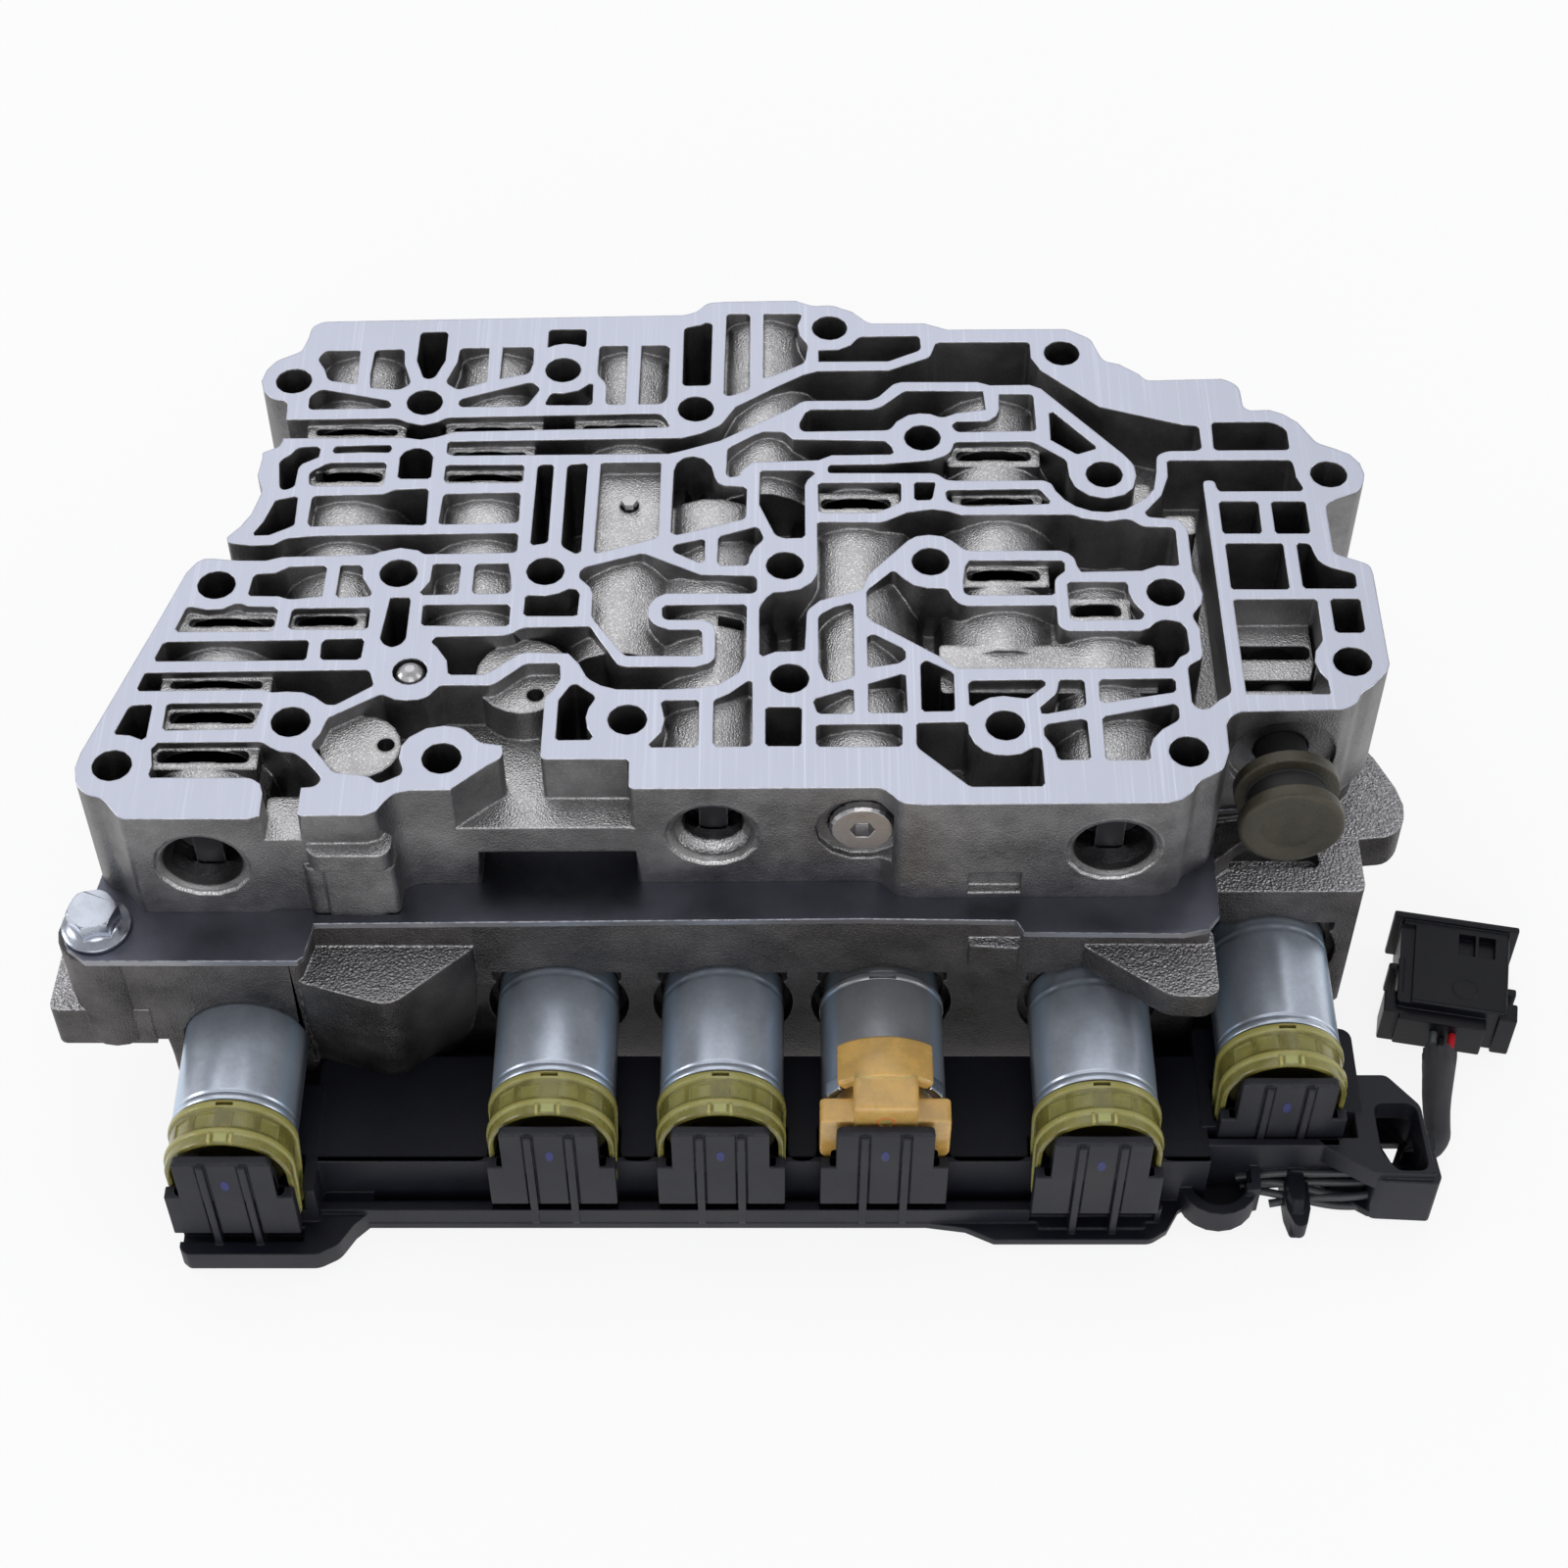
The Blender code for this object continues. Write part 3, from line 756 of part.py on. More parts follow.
def make_upper_casting(material):
    casting = prism("upper_casting", UPPER_OUTLINE, PLATE_TOP, TOP)
    add(casting, prism("lip", BOSS_LIP, TOP - BOSS_LIP_DEPTHS[1], TOP - BOSS_LIP_DEPTHS[0]))
    add(casting, prism("rib", BOSS_RIB, PLATE_TOP, TOP - BOSS_LIP_DEPTHS[0] - FIT_GAP))
    for tracks, depth, half_width in (
            (TRACKS, TRACK_DEPTH, BARREL_HALF_WIDTH),
            (DEEP_TRACKS, DEEP_TRACK_DEPTH, BARREL_CORE_HALF_WIDTH),
            ({"front_recess": FRONT_RECESS}, FRONT_RECESS_DEPTH, BARREL_HALF_WIDTH)):
        cutter = track_cutter(tracks, depth)
        keep_raised_floors(cutter, half_width)
        cut(casting, cutter, "MANIFOLD")
    cut(casting, track_cutter({"window": WINDOW}, WINDOW_DEPTH))
    ports = [prism(f"port_{index}", rectangle(*sides), TOP - PORT_DEPTH, TOP - 0.4 * MM)
             for index, sides in enumerate(PORTS)]
    cut(casting, join(ports))
    left, right, near, far, depth = FRONT_MOUTH
    cut(casting, prism("mouth", rectangle(left, right, near, far), PLATE_TOP - ABOVE, TOP - depth))
    cut(casting, hole_set("bolt_hole", BOLT_HOLES, BOLT_HOLE_RADIUS, PLATE_TOP - ABOVE,
                          TOP + ABOVE, BOLT_HOLE_SIDES))
    for x, mouth, end, radius, _ in VALVE_TRAINS.values():
        cut(casting, bore_cutter(x, mouth, end, radius))
        cut(casting, keyway_cutter(x, mouth, end))
    ring_y = FRONT_PLUG_FACE_Y
    plug_room = FRONT_PLUG_RADIUS + FIT_GAP
    cut(casting, turned("plug_seat", FRONT_PLUG_X, TOP - FRONT_PLUG_DEPTH,
                        [(ring_y - ABOVE, FRONT_RING_RADIUS),
                         (ring_y + FRONT_RING_DEPTH, FRONT_RING_RADIUS),
                         (ring_y + FRONT_RING_DEPTH + FIT_GAP, plug_room),
                         (ring_y + FRONT_PLUG_LENGTH + FIT_GAP, plug_room)], BORE_SIDES))
    small = [prism(f"small_{index}", circle((x, y), radius, 10), TOP - PLATEAU_DEPTH * 2.5, TOP)
             for index, (x, y, radius) in enumerate(SMALL_HOLES)]
    cut(casting, join(small))
    cut(casting, prism("ball_hole", circle(BALL_CENTRE, BALL_RADIUS + FIT_GAP, 16),
                       TOP - BALL_RADIUS * 2 + BALL_PROUD - FIT_GAP, TOP + ABOVE))
    cut(casting, prism("pin_hole", circle(PIN_CENTRE, PIN_RADIUS + FIT_GAP, 12),
                       TOP - WINDOW_DEPTH - PIN_DEPTH, TOP))
    return finish(casting, material)


def make_separator_plate(material):
    plate = prism("separator_plate", PLATE_OUTLINE, PLATE_LOW + FIT_GAP / 10, PLATE_TOP - FIT_GAP / 10)
    cut(plate, hole_set("plate_hole", BOLT_HOLES, PLATE_HOLE_RADIUS, PLATE_LOW - ABOVE,
                        PLATE_TOP + ABOVE, HIDDEN_HOLE_SIDES))
    cut(plate, prism("corner_hole", circle(CORNER_BOLT, BOLT_SHANK_RADIUS + FIT_GAP, 16),
                     PLATE_LOW - ABOVE, PLATE_TOP + ABOVE))
    return finish(plate, material)


def make_lower_casting(material):
    casting = prism("lower_casting", LOWER_BAND, LOWER_BAND_LOW, LOWER_HEIGHT)
    add(casting, prism("core", LOWER_CORE, LOWER_CORE_LOW, LOWER_HEIGHT - MM))
    add(casting, prism("base", LOWER_BASE, 0.0, LOWER_BAND_LOW + MM))
    add(casting, prism("foot", LEFT_FOOT, LEFT_FOOT_LOW - MM, LEFT_FOOT_TOP))
    add(casting, prism("block", RIGHT_BLOCK, RIGHT_BLOCK_LOW, RIGHT_BLOCK_TOP))
    add(casting, prism("ear", RIGHT_EAR, RIGHT_EAR_LOW, RIGHT_EAR_TOP))
    add(casting, prism("left_lug", LEFT_LUG, LEFT_LUG_LOW, LEFT_LUG_TOP))
    add(casting, prism("right_lug", RIGHT_LUG, RIGHT_LUG_LOW, RIGHT_LUG_TOP))
    corner = circle(CORNER_BOLT, BOLT_FLANGE_RADIUS + MM, 20)
    add(casting, prism("corner_boss", corner, LOWER_BAND_LOW + MM / 5, LOWER_HEIGHT - MM / 20))
    cut(casting, prism("recess", RIGHT_RECESS, RIGHT_BLOCK_TOP - RIGHT_RECESS_DEPTH,
                       RIGHT_BLOCK_TOP + ABOVE))
    for x, face in SOLENOIDS.values():
        seat = CAN_RADIUS + FIT_GAP
        inner = NOSE_RADIUS + FIT_GAP
        deep = face + CAN_SEAT_DEPTH + FIT_GAP
        cut(casting, turned("seat", x, CAN_AXIS_HEIGHT,
                            [(face - CAN_LENGTH, seat), (deep, seat), (deep + FIT_GAP / 10, inner),
                             (face + CAN_SEAT_DEPTH + NOSE_LENGTH + 2 * FIT_GAP, inner)], 24))
    cut(casting, hole_set("lower_hole", BOLT_HOLES, LOWER_HOLE_RADIUS, -ABOVE, LOWER_HEIGHT + ABOVE,
                          HIDDEN_HOLE_SIDES))
    cut(casting, prism("corner_hole", circle(CORNER_BOLT, BOLT_SHANK_RADIUS + FIT_GAP, 12),
                       LOWER_HEIGHT - BOLT_SHANK_LENGTH, LOWER_HEIGHT + ABOVE))
    pockets = [prism(f"under_{index}", outline, -ABOVE, UNDERSIDE_DEPTH)
               for index, outline in enumerate(UNDERSIDE_POCKETS)]
    cut(casting, join(pockets))
    return finish(casting, material)


def make_solenoid(name, x, face, steel, brass_steel, cap_material):
    height = CAN_AXIS_HEIGHT
    inner = face + CAN_SEAT_DEPTH
    ring = face - CAN_LENGTH
    can = turned(f"{name}_can", x, height,
                 [(inner, CAN_RADIUS - 0.8 * MM), (inner - 0.8 * MM, CAN_RADIUS),
                  (ring + CAN_RIM_LENGTH, CAN_RADIUS), (ring + CAN_RIM_LENGTH / 2, CAN_RIM_RADIUS),
                  (ring, CAN_RIM_RADIUS - 0.2 * MM)], CAN_SIDES)
    finish(can, steel)
    start = inner + FIT_GAP
    nose = turned(f"{name}_nose", x, height,
                  [(start, NOSE_RADIUS), (start + NOSE_STEP, NOSE_RADIUS),
                   (start + NOSE_STEP + 0.6 * MM, NOSE_TIP_RADIUS),
                   (start + NOSE_STEP + 2.0 * MM, NOSE_TIP_RADIUS),
                   (start + NOSE_STEP + 2.6 * MM, NOSE_RADIUS),
                   (start + NOSE_LENGTH - 1.6 * MM, NOSE_RADIUS),
                   (start + NOSE_LENGTH, NOSE_TIP_RADIUS)], NOSE_SIDES)
    finish(nose, brass_steel)
    cap = make_cap(name, x, ring - FIT_GAP)
    finish(cap, cap_material)


# The moulded cap at a solenoid's outer end: an arch over the can with two legs
def make_cap(name, x, back):
    front = back - CAP_LENGTH
    height = CAN_AXIS_HEIGHT
    outer_radius = CAN_RIM_RADIUS + 0.1 * MM
    outline = [(x + outer_radius, CAP_LEG_BOTTOM)]
    outline += arc((x, height), outer_radius, 0.0, 180.0, 14)
    outline += [(x - outer_radius, CAP_LEG_BOTTOM)]
    cap = prism(f"{name}_cap", outline, front, back, axis="Y")
    half = outer_radius - CAP_WALL
    room = [(x - half, CAP_LEG_BOTTOM - ABOVE), (x + half, CAP_LEG_BOTTOM - ABOVE),
            (x + half, height + 3.0 * MM), (x + half - 3.0 * MM, height + 6.0 * MM),
            (x - half + 3.0 * MM, height + 6.0 * MM), (x - half, height + 3.0 * MM)]
    cut(cap, prism("room", room, front - ABOVE, back - CAP_WALL, axis="Y"))
    if name == CLIPPED_SOLENOID:
        crown = height + outer_radius
        add(cap, prism("stem", rectangle(x - 5.2 * MM, x + 5.2 * MM, crown - 4.0 * MM,
                                         crown + 2.2 * MM), front + 0.4 * MM, back - 0.2 * MM,
                       axis="Y"))
        add(cap, prism("bar", rectangle(x - 8.6 * MM, x + 8.6 * MM, crown + 0.4 * MM,
                                        crown + 2.6 * MM), back - 2.6 * MM, back + 6.2 * MM,
                       axis="Y"))
    slot = rectangle(x - 1.6 * MM, x + 1.6 * MM, back - 2.4 * MM, back - 1.2 * MM)
    if name != CLIPPED_SOLENOID:
        cut(cap, prism("slot", slot, height + outer_radius - 1.0 * MM, height + 14.0 * MM))
    return cap


def make_carrier(material):
    carrier = prism("connector_carrier", CARRIER_BASE, CARRIER_BOTTOM, CARRIER_FLOOR)
    add(carrier, prism("rail", RAIL, CARRIER_FLOOR - MM, SHELF_TOP))
    add(carrier, prism("lip", RAIL_LIP, CARRIER_BOTTOM + MM / 10, CARRIER_LIP_TOP))
    add(carrier, prism("left_floor", LEFT_BOX, CARRIER_BOTTOM - MM / 10, CARRIER_LIP_TOP - 1.2 * MM))
    add(carrier, prism("left_shelf", LEFT_SHELF, CARRIER_LIP_TOP - 2.0 * MM, SHELF_TOP + MM / 10))
    add(carrier, prism("right_shelf", RIGHT_SHELF, CARRIER_BOTTOM + MM / 5, SHELF_TOP + MM / 5))
    for x, face in SOLENOIDS.values():
        add_panel(carrier, x, face - CAN_LENGTH - FIT_GAP - CAP_LENGTH)
    for x, face in SOLENOIDS.values():
        clear_solenoid(carrier, x, face)
    add_right_arm(carrier)
    return finish(carrier, material)


# The black socket panel in front of one cap, with its ribs
def add_panel(carrier, x, cap_front):
    far = cap_front - FIT_GAP
    near = far - PANEL_THICKNESS
    half = PANEL_HALF_WIDTH
    shoulder = PANEL_SHOULDER
    low = CARRIER_BOTTOM + 0.3 * MM
    outline = [(x - half, low), (x + half, low), (x + half, PANEL_TOP - shoulder),
               (x + half - shoulder, PANEL_TOP), (x - half + shoulder, PANEL_TOP),
               (x - half, PANEL_TOP - shoulder)]
    add(carrier, prism("panel", outline, near, far, axis="Y"))
    foot = rectangle(x - half, x + half, near + 0.2 * MM, far + PANEL_FOOT_LENGTH)
    add(carrier, prism("panel_foot", foot, CARRIER_BOTTOM + 0.4 * MM, CARRIER_LIP_TOP - 0.3 * MM))
    for side in (-1.0, 1.0):
        centre = x + side * PANEL_RIB_X
        rib = rectangle(centre - PANEL_RIB_WIDTH / 2, centre + PANEL_RIB_WIDTH / 2,
                        near - PANEL_RIB_DEPTH, near + PANEL_RIB_DEPTH)
        add(carrier, prism("panel_rib", rib, CARRIER_BOTTOM + 0.5 * MM, PANEL_TOP - 0.6 * MM))


# Room in the carrier for one can, its cap and the cap's legs
def clear_solenoid(carrier, x, face):
    ring = face - CAN_LENGTH
    front = ring - FIT_GAP - CAP_LENGTH - FIT_GAP
    room = CAN_RIM_RADIUS + 0.1 * MM + FIT_GAP
    outline = [(x + room, CAP_LEG_BOTTOM - FIT_GAP), (x + room, CAN_AXIS_HEIGHT)]
    outline += arc((x, CAN_AXIS_HEIGHT), room, 15.0, 165.0, 8)
    outline += [(x - room, CAN_AXIS_HEIGHT), (x - room, CAP_LEG_BOTTOM - FIT_GAP)]
    cut(carrier, prism("cap_room", outline, front, ring + FIT_GAP, axis="Y"))
    cut(carrier, turned("can_room", x, CAN_AXIS_HEIGHT,
                        [(ring - FIT_GAP, room), (face + CAN_LENGTH, room)], 28))


# The carrier's right end: a bridge, an arm with a window, the lead's gland, a clip loop and a fin
def add_right_arm(carrier):
    floor = CARRIER_BOTTOM + FIT_GAP
    add(carrier, prism("bridge", BRIDGE, floor, floor + 3.2 * MM))
    add(carrier, prism("arm_plate", ARM_PLATE, floor + MM / 5, floor + ARM_HEIGHT))
    add(carrier, prism("arm_block", ARM_BLOCK, floor + MM / 10, floor + ARM_HEIGHT + MM / 5))
    left, right, near = GLAND
    gland = rectangle(left, right, near, SLEEVE_ROUTE[0][1] - FIT_GAP)
    add(carrier, prism("gland", gland, floor + 0.35 * MM, floor + GLAND_HEIGHT))
    cut(carrier, prism("arm_window", ARM_WINDOW, -ABOVE, SHELF_TOP))
    x, y, outer, inner, root = CLIP_LOOP
    loop = arc((x, y), outer, 180.0, 360.0, 10)
    loop += [(x + outer, root), (x + inner, root)]
    loop += arc((x, y), inner, 360.0, 180.0, 10)
    loop += [(x - inner, root), (x - outer, root)]
    add(carrier, prism("clip_loop", loop, floor + 0.15 * MM, floor + CLIP_LOOP_HEIGHT))
    add(carrier, prism("fin", FIN, floor + 0.25 * MM, floor + FIN_HEIGHT))


def make_valve_train(label, train, materials):
    x, mouth, end, radius, spring_length = train
    inward = 1.0 if end > mouth else -1.0
    height = TOP - BORE_AXIS_DEPTH
    key_y = mouth + inward * KEY_SETBACK
    key_far = key_y + inward * KEY_THICKNESS
    half = KEY_WIDTH / 2
    key = prism(f"{label}_key", rectangle(x - half, x + half, min(key_y, key_far), max(key_y, key_far)),
                PLATE_TOP + FIT_GAP, height + KEY_RISE - FIT_GAP)
    finish(key, materials["plate"])
    plug_y = key_far + inward * FIT_GAP
    plug_far = plug_y + inward * PLUG_LENGTH
    fit = radius - FIT_GAP
    plug = turned(f"{label}_plug", x, height, [(plug_y, fit - 0.5 * MM), (plug_y + inward * 0.5 * MM, fit),
                                               (plug_far, fit)], BORE_SIDES)
    slot_far = plug_y + inward * PLUG_SLOT_DEPTH
    slot_near = plug_y - inward * ABOVE
    slot = rectangle(x - PLUG_SLOT_WIDTH / 2, x + PLUG_SLOT_WIDTH / 2,
                     min(slot_near, slot_far), max(slot_near, slot_far))
    cut(plug, prism("slot", slot, height - radius - ABOVE, height + radius + ABOVE))
    finish(plug, materials["aluminium"])
    spring_y = plug_far + inward * FIT_GAP
    make_spring(f"{label}_spring", x, height, spring_y, inward, spring_length, materials["spring"])
    spool_y = spring_y + inward * (spring_length + FIT_GAP)
    spool_far = end - inward * FIT_GAP
    length = abs(spool_far - spool_y)
    shares = ((0.0, fit), (0.24, fit), (0.26, SPOOL_STEM_RADIUS), (0.36, SPOOL_STEM_RADIUS),
              (0.38, fit), (0.62, fit), (0.64, SPOOL_STEM_RADIUS), (0.74, SPOOL_STEM_RADIUS),
              (0.76, fit), (1.0, fit))
    spool = turned(f"{label}_spool", x, height,
                   [(spool_y + inward * share * length, size) for share, size in shares], BORE_SIDES)
    finish(spool, materials["aluminium"])


# A coil spring along Y, swept as a round wire with flat ends
def make_spring(name, x, height, start, inward, length, material):
    wire_sides = 4
    steps = SPRING_TURNS * 8
    inset = SPRING_WIRE
    shape = bmesh.new()
    rings = []
    for step in range(steps + 1):
        angle = 2.0 * math.pi * SPRING_TURNS * step / steps
        y = start + inward * (inset + (length - 2 * inset) * step / steps)
        centre = Vector((x + SPRING_RADIUS * math.cos(angle), y, height + SPRING_RADIUS * math.sin(angle)))
        outward = Vector((math.cos(angle), 0.0, math.sin(angle)))
        along = Vector((0.0, 1.0, 0.0))
        ring = []
        for side in range(wire_sides):
            turn = 2.0 * math.pi * side / wire_sides
            offset = outward * math.cos(turn) + along * math.sin(turn)
            ring.append(shape.verts.new(centre + offset * SPRING_WIRE))
        rings.append(ring)
    for first, second in zip(rings, rings[1:]):
        for side in range(wire_sides):
            following = (side + 1) % wire_sides
            shape.faces.new((first[side], first[following], second[following], second[side]))
    shape.faces.new(rings[0])
    shape.faces.new(rings[-1])
    finish(object_from_bmesh(name, shape), material)


def make_front_plug(material):
    x = FRONT_PLUG_X
    height = TOP - FRONT_PLUG_DEPTH
    face = FRONT_PLUG_FACE_Y
    plug = turned("front_screw_plug", x, height,
                  [(face, FRONT_PLUG_RADIUS - 0.5 * MM), (face + 0.5 * MM, FRONT_PLUG_RADIUS),
                   (face + FRONT_PLUG_LENGTH, FRONT_PLUG_RADIUS)], 24)
    socket = circle((x, height), FRONT_SOCKET_RADIUS, 6)
    cut(plug, prism("socket", socket, face - ABOVE, face + FRONT_SOCKET_DEPTH, axis="Y"))
    finish(plug, material)


def make_ball(material):
    shape = bmesh.new()
    bmesh.ops.create_uvsphere(shape, u_segments=16, v_segments=10, radius=BALL_RADIUS)
    centre = (BALL_CENTRE[0], BALL_CENTRE[1], TOP + BALL_PROUD - BALL_RADIUS)
    bmesh.ops.translate(shape, verts=shape.verts, vec=centre)
    finish(object_from_bmesh("pressed_ball", shape), material)


def make_pin(material):
    floor = TOP - WINDOW_DEPTH
    pin = prism("hexagonal_pin", circle(PIN_CENTRE, PIN_RADIUS, 6),
                floor - PIN_DEPTH + FIT_GAP, floor + PIN_PROUD)
    finish(pin, material)


def make_corner_bolt(material):
    seat = PLATE_TOP
    flange_top = seat + BOLT_FLANGE_HEIGHT
    bolt = prism("corner_flange_bolt", circle(CORNER_BOLT, BOLT_FLANGE_RADIUS, 24), seat, flange_top)
    head = prism("head", circle(CORNER_BOLT, BOLT_HEAD_RADIUS, 6), seat + MM / 2, seat + BOLT_HEAD_HEIGHT)
    shank = prism("shank", circle(CORNER_BOLT, BOLT_SHANK_RADIUS, 12),
                  seat - BOLT_SHANK_LENGTH + 2 * MM, seat + MM / 2)
    add(bolt, head)
    add(bolt, shank)
    finish(bolt, material)


def make_piston(material):
    height = TOP - PISTON_DEPTH
    rim = PISTON_FRONT_Y + PISTON_RIM
    groove = rim + PISTON_GROOVE
    flange = groove + PISTON_FLANGE
    piston = turned("sealing_piston", PISTON_X, height,
                    [(PISTON_FRONT_Y, PISTON_RADIUS - 0.5 * MM),
                     (PISTON_FRONT_Y + 0.5 * MM, PISTON_RADIUS), (rim, PISTON_RADIUS),
                     (rim + 0.1 * MM, PISTON_GROOVE_RADIUS),
                     (groove - 0.1 * MM, PISTON_GROOVE_RADIUS), (groove, PISTON_RADIUS),
                     (flange, PISTON_RADIUS), (flange + 0.1 * MM, PISTON_STEM_RADIUS),
                     (flange + PISTON_STEM_LENGTH, PISTON_STEM_RADIUS)], 24)
    finish(piston, material)


def piston_bore():
    height = TOP - PISTON_DEPTH
    head = PISTON_RADIUS + FIT_GAP
    stem = PISTON_STEM_RADIUS + FIT_GAP
    flange = PISTON_FRONT_Y + PISTON_RIM + PISTON_GROOVE + PISTON_FLANGE
    end = flange + PISTON_STEM_LENGTH + PISTON_TRAVEL + FIT_GAP
    return turned("piston_bore", PISTON_X, height,
                  [(-10.0 * MM, head), (PISTON_COUNTERBORE_Y, head),
                   (PISTON_COUNTERBORE_Y + FIT_GAP / 10, stem), (end, stem)], 24)


# Turns a plan point of the plug, given from its centre, to its place on the table
def plug_point(x, y):
    angle = math.radians(PLUG_TURN)
    return (PLUG_CENTRE[0] + x * math.cos(angle) - y * math.sin(angle),
            PLUG_CENTRE[1] + x * math.sin(angle) + y * math.cos(angle))


def plug_box(name, left, right, near, far, low, high):
    outline = [plug_point(x, y) for x, y in rectangle(left, right, near, far)]
    return prism(name, outline, low, high)


def make_plug(shell, lock):
    half = PLUG_WIDTH / 2
    end = PLUG_BODY_LENGTH / 2
    flange = PLUG_FLANGE
    housing = plug_box("plug_housing", -half + flange, half - flange, -end, end, 0.0, PLUG_HEIGHT)
    add(housing, plug_box("rear_flange", -half, half, end - 3 * MM, end - MM, 0.2 * MM,
                          PLUG_HEIGHT + 0.8 * MM))
    for near in (-end + 2 * MM, -end + 5 * MM):
        add(housing, plug_box("rib", -half, half, near, near + 1.2 * MM, 0.2 * MM,
                              PLUG_HEIGHT + 0.4 * MM))
    wall = PLUG_WALL + flange
    cut(housing, plug_box("cavity", -half + wall, half - wall, end - PLUG_CAVITY_DEPTH, end + ABOVE,
                          PLUG_WALL, PLUG_HEIGHT - PLUG_WALL))
    middle = PLUG_CAVITY_DEPTH / 2
    cut(housing, plug_box("window", MM, half - wall - MM, end - middle, end - middle + 4 * MM,
                          PLUG_HEIGHT - PLUG_WALL - MM, PLUG_HEIGHT + ABOVE))
    finish(housing, shell)
    inset = wall + FIT_GAP
    block = plug_box("plug_lock", -half + inset, half - inset, end - PLUG_CAVITY_DEPTH + FIT_GAP,
                     end - PLUG_CAVITY_DEPTH + LOCK_LENGTH, PLUG_WALL + FIT_GAP,
                     PLUG_HEIGHT - PLUG_WALL - FIT_GAP)
    finish(block, lock)


# A plain tube along chosen points, with flat ends
def make_tube(name, points, radius, material):
    curve = bpy.data.curves.new(name, "CURVE")
    curve.dimensions = "3D"
    curve.bevel_depth = radius
    curve.bevel_resolution = 2
    curve.use_fill_caps = True
    curve.resolution_u = 1
    curve.render_resolution_u = 0
    spline = curve.splines.new("POLY")
    spline.points.add(len(points) - 1)
    for point, place in zip(spline.points, points):
        point.co = (*place, 1.0)
    obj = bpy.data.objects.new(name, curve)
    bpy.context.scene.collection.objects.link(obj)
    curve.materials.append(material)


def make_materials():
    return {
        "cast": make_material("cast_aluminium", (0.56, 0.57, 0.60), 1.0, 0.42),
        "lower": make_material("rough_cast_aluminium", (0.33, 0.32, 0.31), 1.0, 0.55),
        "plate": make_material("separator_steel", (0.20, 0.20, 0.22), 1.0, 0.38),
        "can": make_material("zinc_plated_steel", (0.55, 0.60, 0.66), 1.0, 0.28),
        "nose": make_material("machined_steel", (0.50, 0.50, 0.50), 1.0, 0.30),
        "cap": make_material("olive_plastic", (0.30, 0.27, 0.05), 0.0, 0.35),
        "clip": make_material("amber_plastic", (0.65, 0.36, 0.05), 0.0, 0.35),
        "carrier": make_material("black_plastic", (0.02, 0.02, 0.03), 0.0, 0.40),
        "aluminium": make_material("valve_aluminium", (0.60, 0.60, 0.58), 1.0, 0.30),
        "spring": make_material("spring_steel", (0.35, 0.35, 0.36), 1.0, 0.30),
        "piston": make_material("olive_brown_piston", (0.09, 0.08, 0.055), 0.6, 0.45),
        "bolt": make_material("bolt_zinc", (0.62, 0.66, 0.68), 1.0, 0.25),
        "sleeve": make_material("braided_sleeve", (0.015, 0.015, 0.018), 0.0, 0.8),
        "lock": make_material("grey_plastic", (0.10, 0.10, 0.11), 0.0, 0.45),
        "red": make_material("red_wire", (0.45, 0.03, 0.02), 0.0, 0.5),
        "grey": make_material("grey_wire", (0.25, 0.25, 0.27), 0.0, 0.5),
        "dark": make_material("dark_wire", (0.04, 0.04, 0.05), 0.0, 0.5),
    }


def main():
    remove_scene_objects()
    materials = make_materials()
    upper = make_upper_casting(materials["cast"])
    cut(upper, piston_bore())
    make_separator_plate(materials["plate"])
    make_lower_casting(materials["lower"])
    for name, (x, face) in SOLENOIDS.items():
        cap_material = materials["clip"] if name == CLIPPED_SOLENOID else materials["cap"]
        make_solenoid(name, x, face, materials["can"], materials["nose"], cap_material)
    make_carrier(materials["carrier"])
    for label, train in VALVE_TRAINS.items():
        make_valve_train(label, train, materials)
    make_front_plug(materials["nose"])
    make_ball(materials["bolt"])
    make_pin(materials["bolt"])
    make_corner_bolt(materials["bolt"])
    make_piston(materials["piston"])
    make_plug(materials["carrier"], materials["lock"])
    make_tube("lead_sleeve", SLEEVE_ROUTE, SLEEVE_RADIUS, materials["sleeve"])
    for name, route in WIRE_ROUTES.items():
        make_tube(name, route, WIRE_RADIUS, materials[name.removeprefix("lead_wire_")])


main()
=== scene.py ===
import bpy
import bmesh
import math
import random
from mathutils import Matrix, Vector
from mathutils.geometry import delaunay_2d_cdt


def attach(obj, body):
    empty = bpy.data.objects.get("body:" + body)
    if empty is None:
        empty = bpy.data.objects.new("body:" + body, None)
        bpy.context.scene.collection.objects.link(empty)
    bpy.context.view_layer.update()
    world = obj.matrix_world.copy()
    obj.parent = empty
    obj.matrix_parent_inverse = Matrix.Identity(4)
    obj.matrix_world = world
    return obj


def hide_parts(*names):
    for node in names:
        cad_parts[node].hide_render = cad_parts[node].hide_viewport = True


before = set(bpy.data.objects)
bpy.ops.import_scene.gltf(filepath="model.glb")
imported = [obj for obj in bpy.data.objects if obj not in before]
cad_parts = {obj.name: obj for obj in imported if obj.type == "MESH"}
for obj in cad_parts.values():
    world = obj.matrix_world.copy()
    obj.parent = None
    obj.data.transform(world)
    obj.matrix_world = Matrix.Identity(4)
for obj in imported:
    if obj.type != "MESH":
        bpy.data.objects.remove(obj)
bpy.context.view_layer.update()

mm = 0.001


# camera

view = {
    "place": (0.0, -0.3127, 0.4596),
    "tiltDegrees": 39.4,
    "lensMm": 67.5,
    "sensorMm": 36.0,
    "shiftX": 0.001875,
    "nearest": 0.01,
}


def linked(name, data):
    made = bpy.data.objects.new(name, data)
    bpy.context.collection.objects.link(made)
    return made


